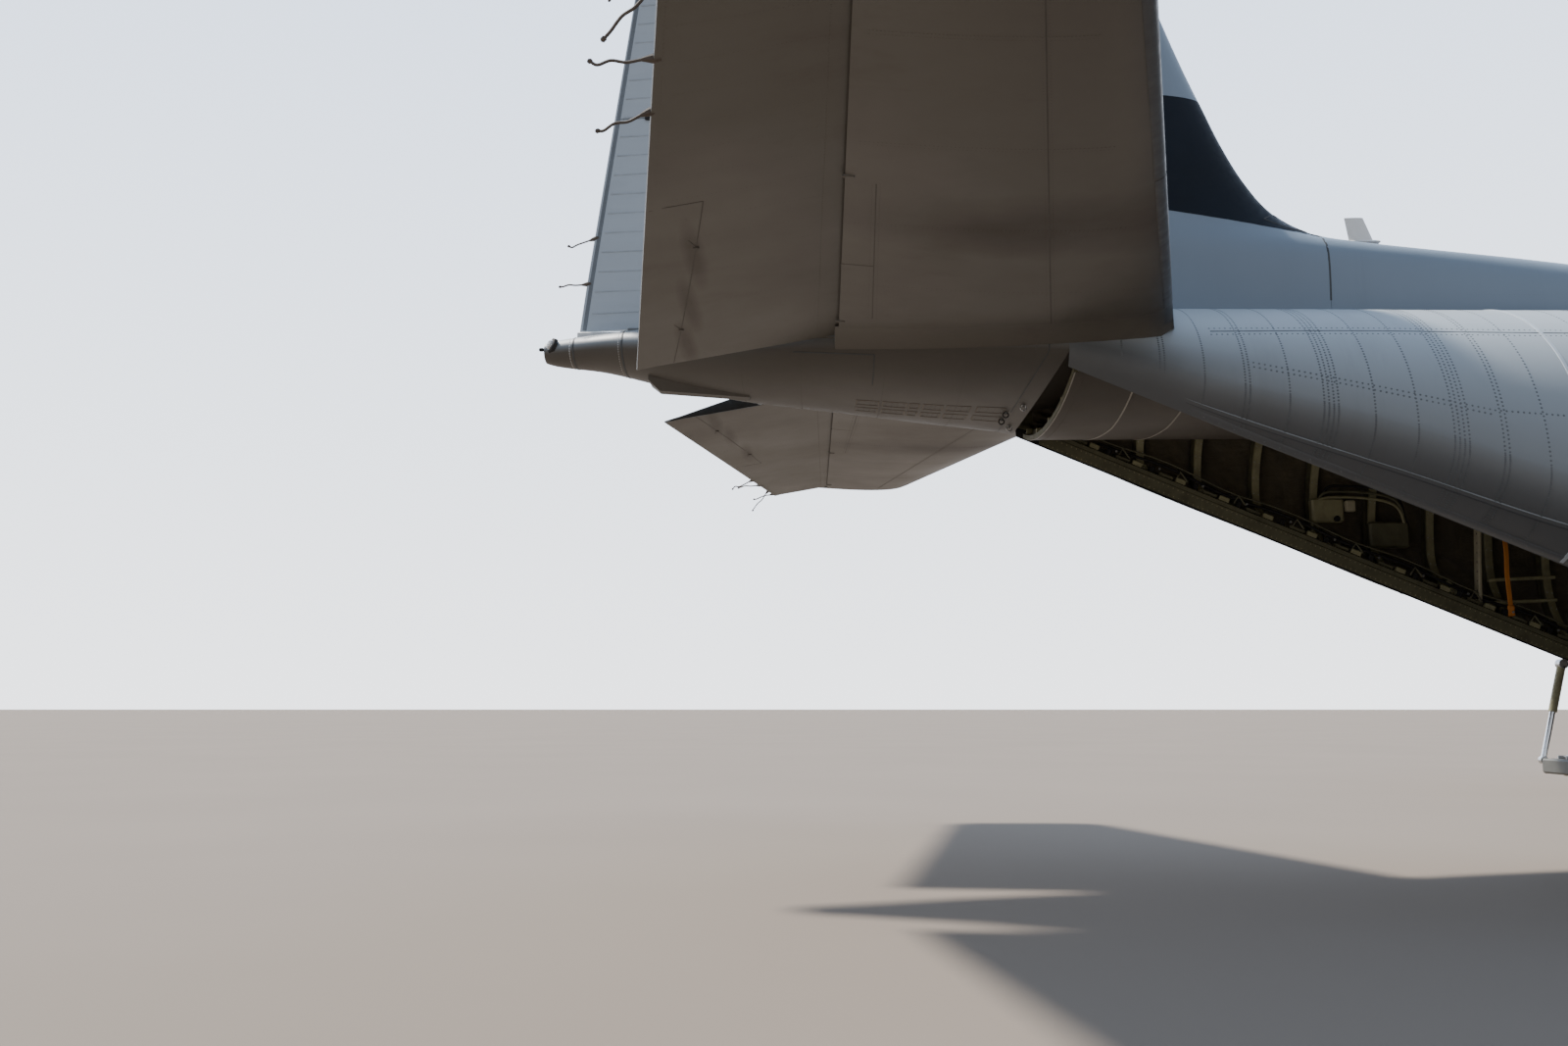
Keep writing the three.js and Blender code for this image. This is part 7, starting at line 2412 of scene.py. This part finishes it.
def build_floor_fittings():
    """Rails with rollers, treadways and tie-down rings."""
    piece = Piece("floor_fittings")
    add_rails(piece, spaced(-1.4, 10.0, 6), spaced(-1.25, 9.9, 56), FLOOR_Z, FLOOR_Z + 0.019, 8)
    for y in (-0.86, 0, 0.86):
        piece.ribbon([(x, y, FLOOR_Z) for x in spaced(-1.4, 10.2, 6)], UP, 0.5, 0.003, "ramp")
        for x in spaced(-1.1, 9.8, 22):
            add_tie_ring(piece, x, y, FLOOR_Z + 0.01, 12)
    piece.make("airframe", "interior_paint")


def build_centre_frames():
    """The frames inside the walls ahead of the ramp."""
    walls = Piece("centre_frames")
    low = hull_angle(2, 1.15, 1)
    for x in [*spaced(0.2, 8.3, 14), 9.0, 9.6, 10.1]:
        wall = NOSE_WALL if x > NOSE_JOINT_X else WALL
        for start, end in ((low, 0.62), (pi - low, pi - 0.62)):
            angles = spaced(start, end, 19)
            base = [hull_point(x, a, -wall) for a in angles]
            inward = [-hull_normal(x, a) for a in angles]
            walls.ribbon(base, inward, 0.03, 0.07, "olive", 0.0)
            cap = [hull_point(x, a, -wall - 0.07) for a in angles]
            walls.ribbon(cap, inward, 0.07, 0.012, "olive_light", 0.0)
    walls.make("airframe", "interior_paint")


def build_centre_blankets(side, name):
    piece = Piece(f"centre_blankets_{name}")
    stops = spaced(0.2, 8.3, 14)
    for i in range(len(stops) - 1):
        turn = (0.0, 0.62) if side > 0 else (pi, pi - 0.62)
        quilt_panel(piece, stops[i] + 0.04, stops[i + 1] - 0.04, *turn, 300 + i)
    made = piece.make("airframe", "interior_paint", angle=60)


def build_side_seats(side, name):
    """Side seats of red webbing on tube frames."""
    seats = Piece(f"side_seats_{name}")
    wall = side * 2.0
    for z, y in ((1.46, wall - side * 0.46), (1.50, wall - side * 0.06)):
        seats.tube([(0.3, y, z), (8.3, y, z)], 0.017, "steel", 8)
    for x in spaced(0.35, 8.25, 16):
        seats.bar((x, wall - side * 0.46, 1.46), (x, wall - side * 0.30, 1.04), 0.022, 0.022, "steel")
    for i in range(15):
        x0 = 0.40 + 0.527 * i
        rows = [[Vector((x0 + 0.44 * u, mix(wall - side * 0.45, wall - side * 0.07, v),
                         mix(1.47, 1.515, v) - 0.03 * sin(pi * v))) for v in spaced(0, 1, 7)]
                for u in spaced(0, 1, 5)]
        seats.plate(rows, [[p - Vector((0, 0, 0.008)) for p in row] for row in rows], "web")
        back = [(wall - side * (0.05 + 0.03 * sin(3 * t)), mix(1.52, 2.35, t)) for t in spaced(0, 1, 7)]
        for shift in (0.06, 0.22, 0.38):
            strap = [(x0 + shift, y, z) for y, z in back]
            seats.ribbon(strap, Vector((0, -side, 0)), 0.05, 0.004, "web")
    seats.make("airframe", "seat_shell")


def build_antennas():
    """Blade aerials, beacons, pitot probes and wipers, and the fuselage's ring seams and round windows."""
    piece = Piece("aerials")
    for x, tall in ((9.9, 0.22), (3.6, 0.26), (-0.9, 0.22)):
        foot_z = hull_row(x)[0] - 0.02
        add_aerial(piece, (x, x - 0.28, foot_z), (x - 0.10, x - 0.27, foot_z + tall), 0.02)
    for x in (9.2, 1.4):
        belly_outline = [(0, 0), (0.3, 1), (1, 0), (0.3, -1)]
        add_aerial(piece, (x, x - 0.25, 0.67), (x - 0.1, x - 0.35, 0.47), 0.02, outline=belly_outline)
    for x, z, axis in ((7.2, 5.195, UP), (6.8, 0.665, DOWN)):
        piece.turned([(0, 0.07), (0.03, 0.068), (0.08, 0.05), (0.10, 0.012)], (x, 0, z), axis, "red", 20)
    for side in (1, -1):
        for z in (2.55, 2.35):
            root, normal = side_surface(side)(13.1, z)
            probe = [root - normal * 0.02, root + normal * 0.09, root + normal * 0.11 + Vector((0.2, 0, 0))]
            piece.tube(probe, [0.016, 0.013, 0.009], "steel", 10)
        start, normal = hull_x(side * 0.55, 3.36)
        end, end_normal = hull_x(side * 0.72, 3.66)
        piece.tube([start + normal * 0.02, end + end_normal * 0.03], 0.009, "dark", 6)
    ring = [hull_point(NOSE_JOINT_X, a, 0.001) for a in circle(96)]
    piece.tube(ring, 0.006, "seam", 6, closed=True)
    for x in (7.4, 6.1, 4.8, 1.0, -0.2):
        path, normals = hull_path(x, hull_angle(x, 2.4, 1), hull_angle(x, 2.4, -1), 60)
        piece.ribbon(path, normals, 0.014, 0.0016, "seam")
    # Round windows along the bay
    for side in (1, -1):
        for x in (7.9, 5.2, 0.9):
            centre, normal = side_surface(side)(x, 3.35)
            piece.turned([(-0.004, 0.17), (0.010, 0.165), (0.010, 0.13)], centre, normal, "seam", 28)
            piece.turned([(-0.002, 0.13), (0.007, 0.126)], centre, normal, "screen", 28)
    piece.make("airframe", "hull_paint")


for side, name in ((1, "port"), (-1, "starboard")):
    build_rear_rivets(side, name)
    build_rear_seams(side, name)
build_bay_frames()
build_sills()
build_quilts()
build_bay_fittings()
build_support_struts()
build_cargo_door()
build_ramp()
build_tail()
build_tail_fittings()
build_stabiliser_fillets()
build_stabiliser()
build_stabiliser_trim()
build_elevators()
build_fin()
build_fin_trim()
build_rudder()
build_wing_centre()
for side, name in SIDES:
    build_wing(side, name)
    build_wing_surfaces(side, name)
for place, y in zip(("inner", "outer"), ENGINE_YS):
    for side, name in SIDES:
        build_nacelle(f"{place}_{name}", side * y)
        build_propeller(f"{place}_{name}", side * y)
for side, name in SIDES:
    build_sponson(name, side)
    build_sponson_trim(name, side)
build_wheels()
build_gear_fittings()
build_cockpit()
build_pilot_cushions()
build_floor_fittings()
build_centre_frames()
for side, name in SIDES:
    build_centre_blankets(side, name)
    build_side_seats(side, name)
build_antennas()

# Carried-over nodes get their own finishes

KEPT_FINISHES = {
    "flight_deck": "olive", "instrument_panel": "screen", "cargo_floor": "ramp",
    "nose_gear_leg": "gear_white", "nose_gear_fork": "gear_white",
}
for _, name in SIDES:
    KEPT_FINISHES[f"pilot_seat_{name}"] = "black"
    KEPT_FINISHES[f"main_gear_{name}"] = "gear_white"
    for place in ("inner", "outer"):
        KEPT_FINISHES[f"engine_{place}_{name}"] = "hot"
for name, finish in KEPT_FINISHES.items():
    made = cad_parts[name]
    made.data.materials.clear()
    made.data.materials.append(PAINT[finish])
    made.data.polygons.foreach_set("use_smooth", [True] * len(made.data.polygons))
    made.data.set_sharp_from_angle(angle=radians(SHARP_ANGLE))
